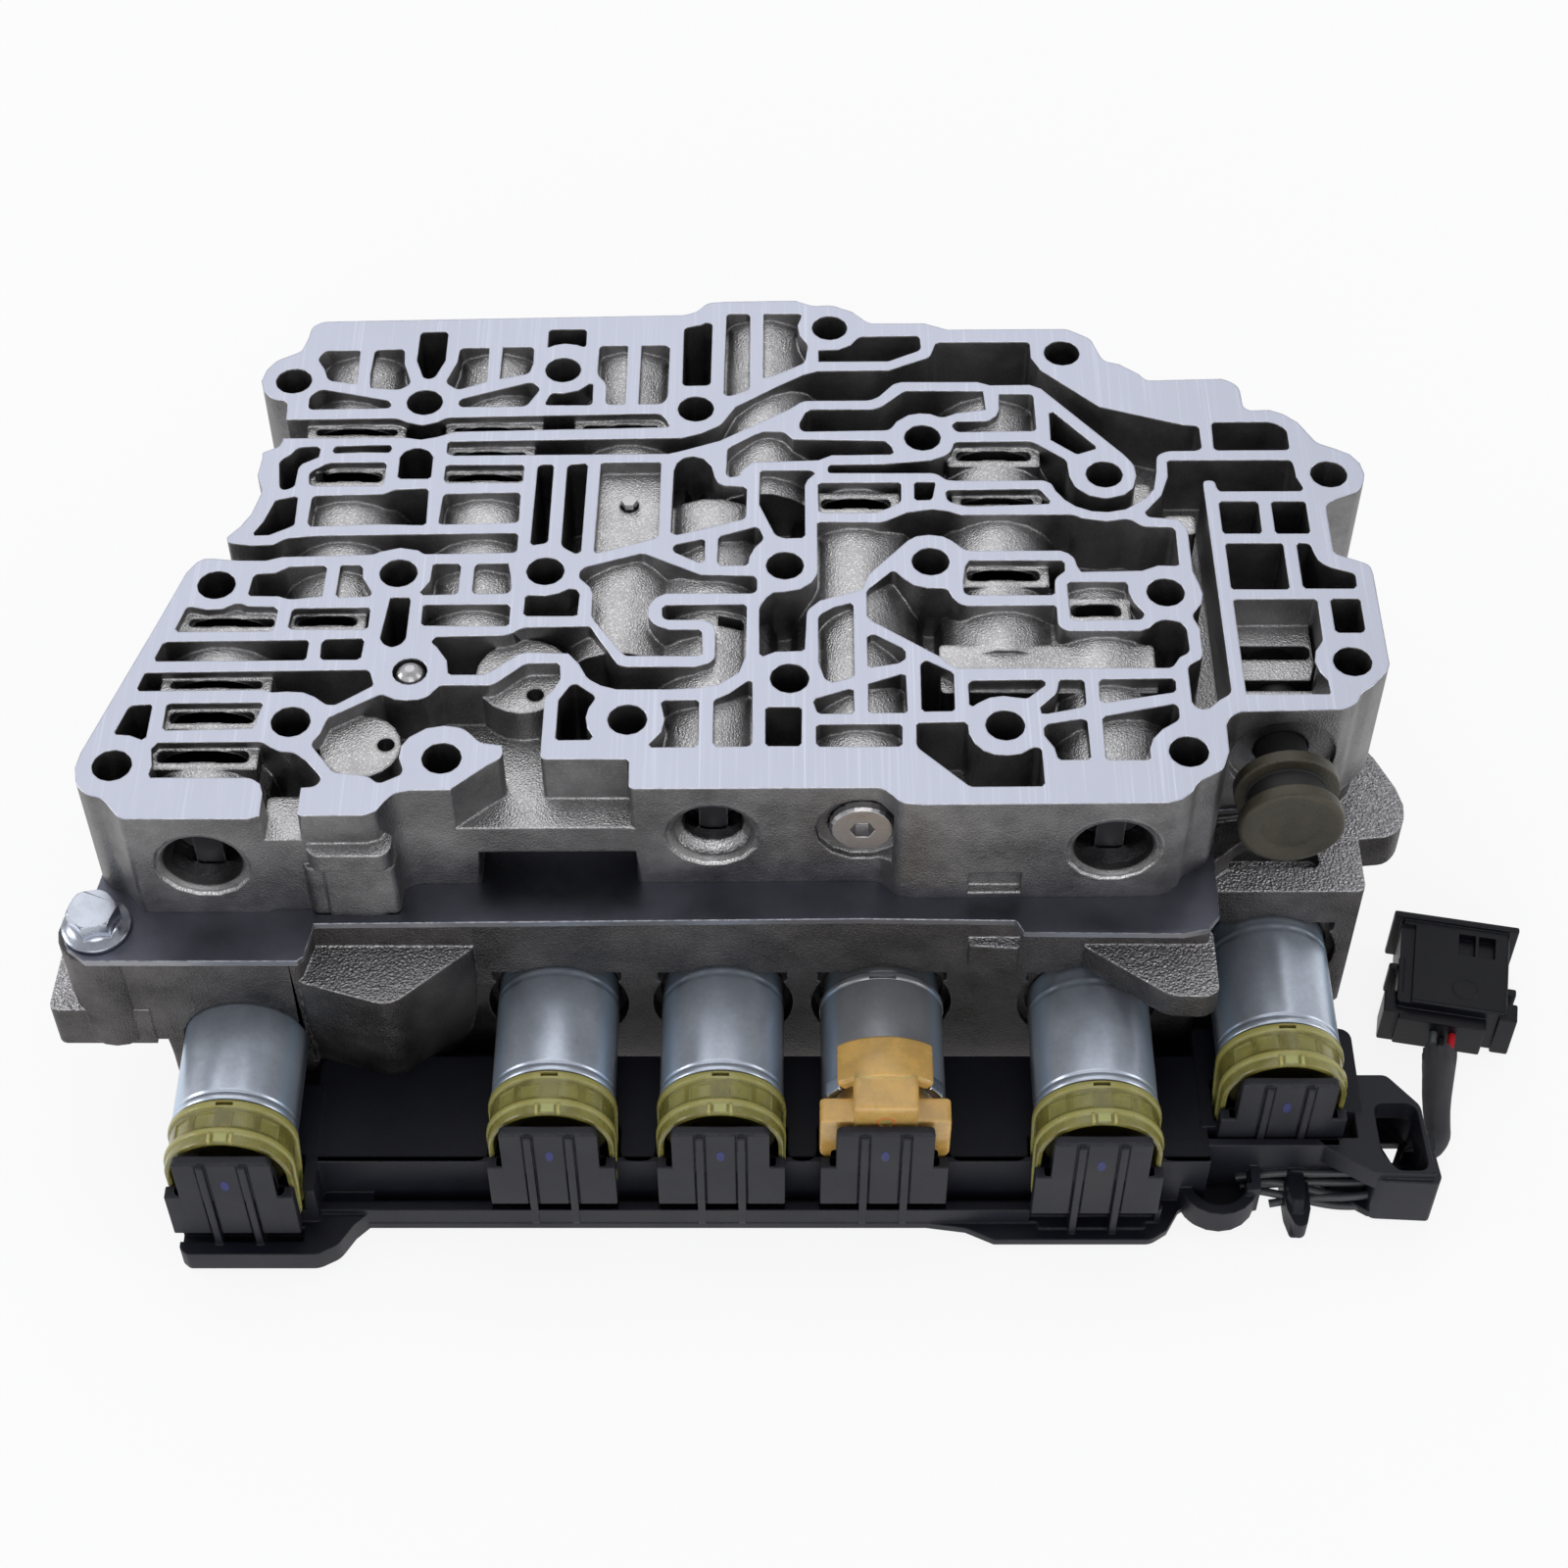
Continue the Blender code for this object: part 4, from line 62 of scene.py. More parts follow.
def addCamera():
    data = bpy.data.cameras.new("photoCamera")
    data.lens = view["lensMm"]
    data.sensor_width = view["sensorMm"]
    data.shift_x = view["shiftX"]
    data.clip_start = view["nearest"]
    camera = linked("photoCamera", data)
    camera.location = view["place"]
    camera.rotation_euler = (math.radians(view["tiltDegrees"]), 0, 0)
    bpy.context.scene.camera = camera


# small helpers for modelling

merging = {"copied": 0.004 * mm, "built": 0.002 * mm}
curveSteps = 5


def deselect():
    if bpy.context.object and bpy.context.object.mode != "OBJECT":
        bpy.ops.object.mode_set(mode="OBJECT")
    bpy.ops.object.select_all(action="DESELECT")


def pick(obj):
    deselect()
    obj.select_set(True)
    bpy.context.view_layer.objects.active = obj


def copyOfNode(node, name):
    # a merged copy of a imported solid
    piece = linked(name, bpy.data.objects[node].data.copy())
    piece.data.materials.clear()
    pick(piece)
    bpy.ops.mesh.customdata_custom_splitnormals_clear()
    bpy.ops.object.mode_set(mode="EDIT")
    bpy.ops.mesh.select_all(action="SELECT")
    bpy.ops.mesh.remove_doubles(threshold=merging["copied"])
    bpy.ops.object.mode_set(mode="OBJECT")
    return piece


def smooth(piece, degrees):
    # smooth up to that angle, with large faces kept flat beside rounded corners
    pick(piece)
    bpy.ops.object.shade_smooth_by_angle(angle=math.radians(degrees))
    flat = piece.modifiers.new("flat", "WEIGHTED_NORMAL")
    flat.keep_sharp = True
    applyAll(piece)


def applyAll(piece):
    pick(piece)
    for name in [m.name for m in piece.modifiers]:
        bpy.ops.object.modifier_apply(modifier=name)


def bevelled(piece, width, segments=2, degrees=30):
    rim = piece.modifiers.new("rim", "BEVEL")
    rim.width = width
    rim.segments = segments
    rim.limit_method = "ANGLE"
    rim.angle_limit = math.radians(degrees)
    rim.use_clamp_overlap = False
    rim.miter_outer = "MITER_ARC" if segments > 1 else "MITER_SHARP"
    applyAll(piece)


def applyPlace(piece):
    # the finished object sits at the origin, with its place in its mesh
    pick(piece)
    bpy.ops.object.transform_apply(location=True, rotation=True, scale=True)


def outward(piece):
    # doubles merged, and every face turned outwards
    pick(piece)
    bpy.ops.object.mode_set(mode="EDIT")
    bpy.ops.mesh.select_all(action="SELECT")
    bpy.ops.mesh.remove_doubles(threshold=merging["built"])
    bpy.ops.mesh.normals_make_consistent(inside=False)
    bpy.ops.object.mode_set(mode="OBJECT")


def closed(piece):
    # out of edit mode, with the place in the mesh and every face outwards
    bpy.ops.object.mode_set(mode="OBJECT")
    applyPlace(piece)
    outward(piece)
    return piece


def turned(name, centre, axis, stations, sides=64):
    # a disc pulled along its axis, and widened or narrowed at each station
    deselect()
    centre = Vector(centre)
    along = Vector((0, 1, 0)) if axis == "Y" else Vector((0, 0, 1))
    tilt = (math.pi / 2, 0, 0) if axis == "Y" else (0, 0, 0)
    start, radius = stations[0]
    bpy.ops.mesh.primitive_circle_add(vertices=sides, radius=radius, fill_type="NGON",
                                      location=centre + along * start, rotation=tilt)
    piece = bpy.context.object
    piece.name = name
    bpy.ops.object.mode_set(mode="EDIT")
    for place, size in stations[1:]:
        bpy.ops.mesh.extrude_region_move(TRANSFORM_OT_translate={"value": along * (place - start)})
        share = size / radius
        wide = (share, 1, share) if axis == "Y" else (share, share, 1)
        bpy.ops.transform.resize(value=wide, center_override=centre + along * place)
        start, radius = place, size
    return closed(piece)


def drawn(name, points):
    # an n-sided disc whose rim is moved to the points, selected in edit mode for the first pull
    deselect()
    bpy.ops.mesh.primitive_circle_add(vertices=len(points), radius=1, fill_type="NGON")
    piece = bpy.context.object
    piece.name = name
    for corner, point in zip(piece.data.vertices, points):
        corner.co = point
    bpy.ops.object.mode_set(mode="EDIT")
    bpy.ops.mesh.select_all(action="SELECT")
    return piece


def slab(name, outline, axis, low, high):
    # a drawn outline, pulled to its thickness
    piece = drawn(name, [(a, b, low) if axis == "Z" else (a, low, b) for a, b in outline])
    pull = Vector((0, 0, high - low)) if axis == "Z" else Vector((0, high - low, 0))
    bpy.ops.mesh.extrude_region_move(TRANSFORM_OT_translate={"value": pull})
    return closed(piece)


def block(name, low, high):
    outline = [(low[0], low[1]), (high[0], low[1]), (high[0], high[1]), (low[0], high[1])]
    return slab(name, outline, "Z", low[2], high[2])


def joined(pieces, name):
    deselect()
    for piece in pieces:
        piece.select_set(True)
    bpy.context.view_layer.objects.active = pieces[0]
    if len(pieces) > 1:
        bpy.ops.object.join()
    pieces[0].name = name
    return pieces[0]


def cutBy(piece, cutter, operation="DIFFERENCE"):
    knife = piece.modifiers.new("knife", "BOOLEAN")
    knife.operation = operation
    knife.object = cutter
    knife.solver = "EXACT"
    applyAll(piece)
    bpy.data.objects.remove(cutter, do_unlink=True)


def arc(centre, radius, start, end, steps):
    angles = [math.radians(start + (end - start) * i / steps) for i in range(steps + 1)]
    return [(centre[0] + radius * math.cos(a), centre[1] + radius * math.sin(a)) for a in angles]


def roundedOutline(corners):
    # plan points with a corner radius each, as an outline with curved corners
    outline = []
    for i, (x, y, radius) in enumerate(corners):
        here = Vector((x, y))
        before = Vector(corners[i - 1][:2])
        after = Vector(corners[(i + 1) % len(corners)][:2])
        if radius <= 0:
            outline.append(tuple(here))
            continue
        start = here + (before - here).normalized() * radius
        end = here + (after - here).normalized() * radius
        for k in range(curveSteps + 1):
            t = k / curveSteps
            outline.append(tuple(start * (1 - t) ** 2 + here * (2 * t * (1 - t)) + end * t ** 2))
    return [(x * mm, y * mm) for x, y in outline]


def pullUpright(levels, height, share, x, y):
    # the selected end goes on to each level, where it has a share of its full width
    for level, size in levels:
        bpy.ops.mesh.extrude_region_move(TRANSFORM_OT_translate={"value": (0, 0, level - height)})
        bpy.ops.transform.resize(value=(size / share, size / share, 1), center_override=(x, y, level))
        height, share = level, size
    return height, share


def cornered(left, right, near, far, radius):
    return [(left, near, radius), (right, near, radius), (right, far, radius), (left, far, radius)]


def tapered(name, corners, centre, stations):
    # an outline pulled through its stations, each a height and a share of the width
    height, share = stations[0]
    piece = drawn(name, [(x, y, height) for x, y in roundedOutline(corners)])
    pullUpright(stations[1:], height, share, *centre)
    return closed(piece)


def planSlab(name, corners, low, high, rim=0, finish=None):
    # a slab from plan points with corner radii, its edges rounded by the rim
    piece = slab(name, roundedOutline(corners), "Z", low, high)
    if rim:
        bevelled(piece, rim, 2, 40)
    if finish:
        coat(piece, finish)
    return piece


def roundedBlock(name, low, high, rim, segments=2):
    piece = block(name, low, high)
    bevelled(piece, rim, segments)
    return piece


def pointValues(piece, name, value):
    # a number at every corner, for a material to read
    layer = piece.data.attributes.new(name, "FLOAT", "POINT")
    for i, corner in enumerate(piece.data.vertices):
        layer.data[i].value = value(corner.co)


def coat(piece, finish):
    piece.data.materials.clear()
    piece.data.materials.append(finishes[finish])


def repaint(piece, finish, wanted):
    # one more finish, on the wanted faces
    piece.data.materials.append(finishes[finish])
    for face in piece.data.polygons:
        if wanted(face):
            face.material_index = len(piece.data.materials) - 1


def facesUp(face):
    return face.normal.z > 0.9


def settle(piece, body, nodes):
    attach(piece, body)
    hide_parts(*nodes)


def paint(node, material):
    mesh = bpy.data.objects[node].data
    if not mesh.materials:
        mesh.materials.append(material)
    for i in range(len(mesh.materials)):
        mesh.materials[i] = material


# shader groups

# the part of the slow tone's range that is in use
cloudBand = (0.3, 0.7)


def newGroup(name, inputs, outputs):
    group = bpy.data.node_groups.new(name, "ShaderNodeTree")
    for socket, kind, default in inputs:
        s = group.interface.new_socket(name=socket, in_out="INPUT", socket_type="NodeSocket" + kind)
        if default is not None:
            s.default_value = default
    for socket, kind in outputs:
        group.interface.new_socket(name=socket, in_out="OUTPUT", socket_type="NodeSocket" + kind)
    inner = group.nodes.new("NodeGroupInput")
    outer = group.nodes.new("NodeGroupOutput")
    return group, inner, outer


def put(socket, value):
    # a number or colour is set, and another node's output is wired
    if isinstance(value, bpy.types.NodeSocket):
        socket.id_data.links.new(value, socket)
    else:
        socket.default_value = value


def feed(made, **values):
    # names with a capital are the node's sockets, the others its settings
    for key, value in values.items():
        if key[0].isupper():
            put(made.inputs[key.replace("_", " ")], value)
        else:
            setattr(made, key, value)
    return made


def node(tree, kind, **values):
    return feed(tree.nodes.new("ShaderNode" + kind), **values)


def ownPlace(tree):
    return node(tree, "TexCoord").outputs["Object"]


def mathNode(tree, operation, a, b=None, clamp=False):
    made = node(tree, "Math", operation=operation, use_clamp=clamp)
    put(made.inputs[0], a)
    if b is not None:
        put(made.inputs[1], b)
    return made.outputs[0]


def mixColour(tree, factor, a, b):
    made = node(tree, "Mix", data_type="RGBA")
    for i, value in ((0, factor), (6, a), (7, b)):
        put(made.inputs[i], (*value, 1) if isinstance(value, tuple) else value)
    return made.outputs[2]


def ranged(tree, value, low, high, toLow=0.0, toHigh=1.0):
    made = node(tree, "MapRange", clamp=True)
    for socket, given in zip(made.inputs, (value, low, high, toLow, toHigh)):
        put(socket, given)
    return made.outputs[0]


def wearGroup():
    # rubbed edges: where a rounded normal leaves the true one, broken up by a noise
    group, inner, outer = newGroup(
        "rubbedEdges",
        [("Radius", "Float", 0.0006), ("Break up", "Float", 900.0), ("Amount", "Float", 1.0)],
        [("Mask", "Float")],
    )
    dot = node(group, "VectorMath", operation="DOT_PRODUCT")
    put(dot.inputs[0], node(group, "Bevel", samples=4, Radius=inner.outputs["Radius"]).outputs[0])
    put(dot.inputs[1], node(group, "NewGeometry").outputs["Normal"])
    edge = ranged(group, dot.outputs["Value"], 0.99, 0.78)
    speck = node(group, "TexNoise", Detail=4, Vector=ownPlace(group), Scale=inner.outputs["Break up"])
    broken = ranged(group, speck.outputs["Fac"], 0.38, 0.56)
    mask = mathNode(group, "MULTIPLY", edge, broken)
    feed(outer, Mask=mathNode(group, "MULTIPLY", mask, inner.outputs["Amount"], True))
    return group


def grainGroup():
    # cast skin: fine grit and shallow orange peel, as one height
    group, inner, outer = newGroup(
        "castSkin",
        [("Grit size", "Float", 2600.0), ("Peel size", "Float", 420.0), ("Peel", "Float", 0.5)],
        [("Height", "Float"), ("Grit", "Float")],
    )
    place = ownPlace(group)
    size = inner.outputs["Grit size"]
    grit = node(group, "TexNoise", Detail=3, Roughness=0.7, Vector=place, Scale=size).outputs["Fac"]
    peel = node(group, "TexNoise", Detail=2, Vector=place, Scale=inner.outputs["Peel size"])
    facets = node(group, "TexVoronoi", feature="F1", Vector=place, Scale=size)
    fine = mathNode(group, "ADD", grit, facets.outputs["Distance"])
    coarse = mathNode(group, "MULTIPLY", peel.outputs["Fac"], inner.outputs["Peel"])
    feed(outer, Height=mathNode(group, "ADD", fine, coarse), Grit=grit)
    return group


def cloudGroup():
    # slow change of tone from handling, oil and casting colour
    group, inner, outer = newGroup(
        "slowTone",
        [("Size", "Float", 40.0), ("Low", "Float", 0.8), ("High", "Float", 1.15)],
        [("Tone", "Float"), ("Cloud", "Float")],
    )
    cloud = node(group, "TexNoise", Detail=5, Roughness=0.62, Vector=ownPlace(group),
                 Scale=inner.outputs["Size"]).outputs["Fac"]
    tone = ranged(group, cloud, *cloudBand, inner.outputs["Low"], inner.outputs["High"])
    feed(outer, Tone=tone, Cloud=cloud)
    return group


groups = {"wear": wearGroup(), "grain": grainGroup(), "cloud": cloudGroup()}


def placed(tree, name, **values):
    return node(tree, "Group", node_tree=groups[name], **values)


def newMaterial(name):
    material = bpy.data.materials.new(name)
    material.use_nodes = True
    tree = material.node_tree
    return material, tree, tree.nodes["Principled BSDF"]


def toned(tree, colour, cloud):
    # a colour times the slow tone
    scale = node(tree, "VectorMath", operation="SCALE", Scale=cloud.outputs["Tone"])
    put(scale.inputs[0], colour)
    return scale.outputs[0]


def roughened(tree, shader, grain, bump, distance, rounding):
    # the grain's bump, laid over edges that look rounded
    height = node(tree, "Bump", Strength=bump, Distance=distance, Height=grain)
    if rounding:
        feed(height, Normal=node(tree, "Bevel", samples=4, Radius=rounding).outputs[0])
    feed(shader, Normal=height.outputs[0])


def dressed(tree, shader, base, cloud, glossy, dull):
    # the colour, and a roughness that follows the slow tone
    feed(shader, Base_Color=base, Roughness=ranged(tree, cloud.outputs["Cloud"], *cloudBand, glossy, dull))


def castMaterial(name, colour, worn, rough, grit=2600.0, bump=0.25, peel=0.5, metal=1.0,
                 cloudSize=45.0, low=0.8, high=1.15, wear=0.6, wearRadius=0.0005, sparkle=0.35,
                 rounding=0.0, speckle=0.0):
    material, tree, shader = newMaterial(name)
    cloud = placed(tree, "cloud", Size=cloudSize, Low=low, High=high)
    grain = placed(tree, "grain", Grit_size=grit, Peel=peel)
    edge = placed(tree, "wear", Radius=wearRadius, Amount=wear)
    base = toned(tree, colour, cloud)
    if speckle:
        dark = ranged(tree, grain.outputs["Grit"], 0.58, 0.4, 0.0, speckle)
        base = mixColour(tree, dark, base, tuple(c * 0.25 for c in colour))
    # painted glints: some grains of the grit are lightened towards the worn colour, standing in for light
    # glinting off the cast skin
    paintedGlint = ranged(tree, grain.outputs["Grit"], 0.56, 0.74, 0.0, sparkle)
    base = mixColour(tree, paintedGlint, base, worn)
    base = mixColour(tree, edge.outputs["Mask"], base, worn)
    roughened(tree, shader, grain.outputs["Height"], bump, 0.0004, rounding)
    dressed(tree, shader, base, cloud, rough - 0.08, rough + 0.08)
    feed(shader, Metallic=metal)
    return material


def plasticMaterial(name, colour, rough, bump=0.1, wear=0.25, worn=None, rounding=0.0, shine=0.5):
    material, tree, shader = newMaterial(name)
    cloud = placed(tree, "cloud", Size=60.0, Low=0.8, High=1.2)
    grain = placed(tree, "grain", Grit_size=3000.0, Peel=0.3)
    edge = placed(tree, "wear", Radius=0.0004, Amount=wear)
    base = mixColour(tree, edge.outputs["Mask"], toned(tree, colour, cloud),
                     worn or tuple(min(1, c * 3 + 0.02) for c in colour))
    roughened(tree, shader, grain.outputs["Height"], bump, 0.0002, rounding)
    dressed(tree, shader, base, cloud, rough - 0.07, rough + 0.09)
    feed(shader, Specular_IOR_Level=shine)
    return material


def milledMaterial(name, colour, rough):
    # flat cut by a wide cutter: faint slanting lines and long arcs in the roughness and tone
    material, tree, shader = newMaterial(name)
    cloud = placed(tree, "cloud", Size=28.0, Low=0.94, High=1.05)
    edge = placed(tree, "wear", Radius=0.0005, Break_up=500.0, Amount=0.8)
    place = ownPlace(tree)
    across = node(tree, "Mapping", Vector=place, Rotation=(0, 0, math.radians(38)), Scale=(2600, 22, 22))
    lines = node(tree, "TexNoise", Scale=1.0, Detail=3, Vector=across.outputs[0])
    shifted = node(tree, "Mapping", Vector=place, Location=(0.42, -0.31, 0))
    sweep = node(tree, "TexWave", wave_type="RINGS", rings_direction="Z", Scale=520, Distortion=1.2,
                 Detail=2, Vector=shifted.outputs[0])
    scratch = ranged(tree, lines.outputs["Fac"], 0.56, 0.72, 0.0, 0.5)
    arcs = ranged(tree, sweep.outputs["Fac"], 0.75, 1.0, 0.0, 0.12)
    marks = mathNode(tree, "ADD", scratch, arcs, True)
    base = mixColour(tree, marks, toned(tree, colour, cloud), tuple(min(1, c * 1.22) for c in colour))
    base = mixColour(tree, edge.outputs["Mask"], base, (0.9, 0.91, 0.97))
    gloss = ranged(tree, cloud.outputs["Cloud"], *cloudBand, rough, rough + 0.07)
    gloss = mathNode(tree, "SUBTRACT", gloss, mathNode(tree, "MULTIPLY", marks, 0.14))
    roughened(tree, shader, marks, 0.06, 0.0001, 0.0004)
    feed(shader, Base_Color=base, Roughness=gloss, Metallic=1.0)
    return material


def canMaterial(name, colour, shade):
    # bluish zinc film, with painted shade darkening it towards the casting, painted reflections as paler
    # stripes down both sides and painted shade on the far sides
    material, tree, shader = newMaterial(name)
    cloud = placed(tree, "cloud", Size=120.0, Low=0.92, High=1.05)
    fine = placed(tree, "cloud", Size=900.0, Low=0.93, High=1.06)
    grain = placed(tree, "grain", Grit_size=1500.0, Peel_size=200.0, Peel=0.3)
    along = node(tree, "Attribute", attribute_name="along").outputs["Fac"]
    around = node(tree, "Attribute", attribute_name="around").outputs["Fac"]
    base = toned(tree, toned(tree, colour, cloud), fine)
    # painted shade: the can darkens towards its casting end, where it would reflect the dark casting wall
    base = mixColour(tree, ranged(tree, along, 0.5, 0.06, 0.0, 0.55), base, shade)
    # painted reflection: paler blue stripes down both sides of the can
    paintedReflection = mathNode(tree, "MULTIPLY", ranged(tree, around, 0.5, 0.62), ranged(tree, around, 0.8, 0.7))
    base = mixColour(tree, mathNode(tree, "MULTIPLY", paintedReflection, 0.55), base, (0.5, 0.68, 0.88))
    # painted shade: the far sides of the can darkened towards a near-black blue
    base = mixColour(tree, ranged(tree, around, 0.8, 0.92, 0.0, 0.75), base, (0.05, 0.07, 0.11))
    roughened(tree, shader, grain.outputs["Height"], 0.02, 0.0003, 0.0)
    dressed(tree, shader, base, cloud, 0.27, 0.36)
    feed(shader, Metallic=0.72, Specular_IOR_Level=0.8)
    return material


def plateMaterial(name):
    # dark punched sheet: bright sheared edge, oily blue-grey faces
    material, tree, shader = newMaterial(name)
    cloud = placed(tree, "cloud", Size=38.0, Low=0.75, High=1.3)
    edge = placed(tree, "wear", Radius=0.0003, Break_up=700.0, Amount=0.9)
    grain = placed(tree, "grain", Grit_size=3200.0, Peel=0.2)
    parts = node(tree, "SeparateXYZ", Vector=node(tree, "NewGeometry").outputs["True Normal"])
    sheared = ranged(tree, mathNode(tree, "ABSOLUTE", parts.outputs["Z"]), 0.6, 0.3, 0.0, 0.75)
    base = mixColour(tree, sheared, toned(tree, (0.13, 0.135, 0.165), cloud), (0.36, 0.36, 0.38))
    rust = ranged(tree, cloud.outputs["Cloud"], 0.66, 0.74, 0.0, 0.25)
    base = mixColour(tree, rust, base, (0.12, 0.07, 0.05))
    base = mixColour(tree, edge.outputs["Mask"], base, (0.75, 0.75, 0.78))
    roughened(tree, shader, grain.outputs["Height"], 0.06, 0.0003, 0.0)
    dressed(tree, shader, base, cloud, 0.3, 0.45)
    feed(shader, Metallic=1.0)
    return material


def hoodMaterial(name, colour, pale):
    # clear moulding over a dark coil: deep tone, pale where it is thin, a waxy sheen
    material, tree, shader = newMaterial(name)
    cloud = placed(tree, "cloud", Size=210.0, Low=0.7, High=1.3)
    grain = placed(tree, "grain", Grit_size=2200.0, Peel=0.4)
    edge = placed(tree, "wear", Radius=0.0005, Break_up=300.0, Amount=0.75)
    thin = node(tree, "Attribute", attribute_name="thin")
    base = mixColour(tree, thin.outputs["Fac"], toned(tree, colour, cloud), pale)
    base = mixColour(tree, edge.outputs["Mask"], base, pale)
    roughened(tree, shader, grain.outputs["Height"], 0.05, 0.0002, 0.0003)
    dressed(tree, shader, base, cloud, 0.2, 0.34)
    feed(shader, Subsurface_Weight=0.25, Subsurface_Scale=2 * mm, Coat_Weight=0.3)
    return material


def braidMaterial(name):
    # braided sleeve: two crossing sets of strands on the tube's own map
    material, tree, shader = newMaterial(name)
    place = node(tree, "UVMap", uv_map="length").outputs[0]
    strands = []
    for turn in (40, -40):
        slanted = node(tree, "Mapping", Vector=place, Rotation=(0, 0, math.radians(turn)))
        strands.append(node(tree, "TexWave", wave_type="BANDS", bands_direction="X", Scale=5.5,
                            Distortion=0.6, Vector=slanted.outputs[0]).outputs["Fac"])
    weave = mathNode(tree, "MAXIMUM", *strands)
    dust = placed(tree, "cloud", Size=300.0, Low=0.6, High=1.5)
    base = toned(tree, (0.035, 0.035, 0.04), dust)
    base = mixColour(tree, ranged(tree, weave, 0.35, 0.9, 0.0, 0.7), base, (0.1, 0.1, 0.11))
    roughened(tree, shader, weave, 0.8, 0.0005, 0.0)
    feed(shader, Base_Color=base, Roughness=ranged(tree, weave, 0.0, 1.0, 0.75, 0.5))
    return material


finishes = {}


def addFinish(make, name, *values, **settings):
    finishes[name] = make(name, *values, **settings)


addFinish(milledMaterial, "milledTop", (0.47, 0.49, 0.575), 0.36)
# one cast finish in two copies: a darker one for upright faces as painted shade, a lighter one for floors and
# humps as painted light
addFinish(castMaterial, "castWall", (0.25, 0.245, 0.247), (0.58, 0.58, 0.6), 0.44, bump=0.2,
          cloudSize=75, low=0.5, high=1.2, rounding=0.0006)
addFinish(castMaterial, "litCastFloor", (0.5, 0.495, 0.5), (0.95, 0.95, 0.95), 0.25, bump=0.28,
          cloudSize=90, low=0.7, high=1.2, sparkle=0.8, rounding=0.0009, speckle=0.25)
addFinish(castMaterial, "lowerCast", (0.125, 0.118, 0.117), (0.4, 0.39, 0.39), 0.5, bump=0.45,
          cloudSize=75, low=0.4, high=1.3, sparkle=0.3, rounding=0.0006)
# a lighter copy of the lower cast finish, for faces turned up, as painted light
addFinish(castMaterial, "lugCast", (0.56, 0.545, 0.56), (1.0, 1.0, 1.0), 0.34, grit=2000.0, bump=0.7,
          low=0.85, high=1.12, sparkle=1.0, rounding=0.0008, speckle=0.55)
addFinish(plateMaterial, "plateSteel")
# the second colour of each can finish is its painted shade towards the casting
addFinish(canMaterial, "canZinc", (0.6, 0.66, 0.76), (0.2, 0.25, 0.3))
addFinish(canMaterial, "canDull", (0.44, 0.455, 0.49), (0.27, 0.28, 0.3))
addFinish(castMaterial, "zinc", (0.6, 0.64, 0.7), (0.85, 0.87, 0.9), 0.26, bump=0.06, peel=0.4, low=0.85,
          high=1.1, sparkle=0.1)
# near-black metal as painted shade, for parts that sit in the bores
addFinish(castMaterial, "shadedBoreMetal", (0.055, 0.055, 0.06), (0.3, 0.3, 0.3), 0.4, bump=0.03, sparkle=0.0)
addFinish(castMaterial, "machined", (0.5, 0.49, 0.5), (0.8, 0.8, 0.8), 0.32, bump=0.08, sparkle=0.1,
          rounding=0.0003)
addFinish(castMaterial, "boltSteel", (0.5, 0.53, 0.6), (0.95, 0.95, 1.0), 0.25, bump=0.02, sparkle=0.0,
          cloudSize=240, low=0.75, high=1.15, rounding=0.00015, wear=0.3, wearRadius=0.0002)
addFinish(castMaterial, "springSteel", (0.3, 0.3, 0.31), (0.6, 0.6, 0.6), 0.3, bump=0.03, sparkle=0.0)
addFinish(castMaterial, "valveAlloy", (0.5, 0.5, 0.52), (0.75, 0.75, 0.75), 0.25, bump=0.03, sparkle=0.0)
# the piston's olive-brown coating, darkened further as painted shade
addFinish(castMaterial, "pistonCoatAndShade", (0.05, 0.045, 0.03), (0.2, 0.19, 0.14), 0.42, bump=0.15,
          metal=0.35, sparkle=0.1, cloudSize=110, low=0.7, high=1.3, rounding=0.0005)
addFinish(hoodMaterial, "olivePlastic", (0.17, 0.155, 0.035), (0.4, 0.38, 0.12))
addFinish(plasticMaterial, "oliveCore", (0.05, 0.042, 0.015), 0.4)
addFinish(hoodMaterial, "amberPlastic", (0.5, 0.29, 0.065), (0.85, 0.62, 0.26))
# one black plastic in two copies: a darker one for tops and low parts as painted shade, a lighter one for
# faces turned to the front as painted light
addFinish(plasticMaterial, "shadedBlackPlastic", (0.0062, 0.0067, 0.0115), 0.42, bump=0.1, wear=0.4,
          worn=(0.05, 0.053, 0.07), rounding=0.0005, shine=0.22)
addFinish(plasticMaterial, "litBlackPlastic", (0.009, 0.0095, 0.0155), 0.5, bump=0.08, wear=0.35,
          worn=(0.07, 0.072, 0.095), rounding=0.0004, shine=0.35)
addFinish(plasticMaterial, "plugPlastic", (0.0045, 0.0048, 0.0075), 0.42, bump=0.1, wear=0.3,
          worn=(0.04, 0.04, 0.052), rounding=0.0003, shine=0.22)
addFinish(plasticMaterial, "blueMark", (0.012, 0.016, 0.12), 0.5)
addFinish(plasticMaterial, "amberDeep", (0.6, 0.2, 0.05), 0.35)
addFinish(plasticMaterial, "boreShade", (0.012, 0.012, 0.012), 0.6)
addFinish(plasticMaterial, "greyPlastic", (0.09, 0.09, 0.1), 0.4)
addFinish(braidMaterial, "sleeveFabric")
addFinish(plasticMaterial, "redInsulation", (0.5, 0.015, 0.025), 0.35)
addFinish(plasticMaterial, "greyInsulation", (0.1, 0.11, 0.11), 0.4)
addFinish(plasticMaterial, "darkInsulation", (0.03, 0.032, 0.036), 0.4)
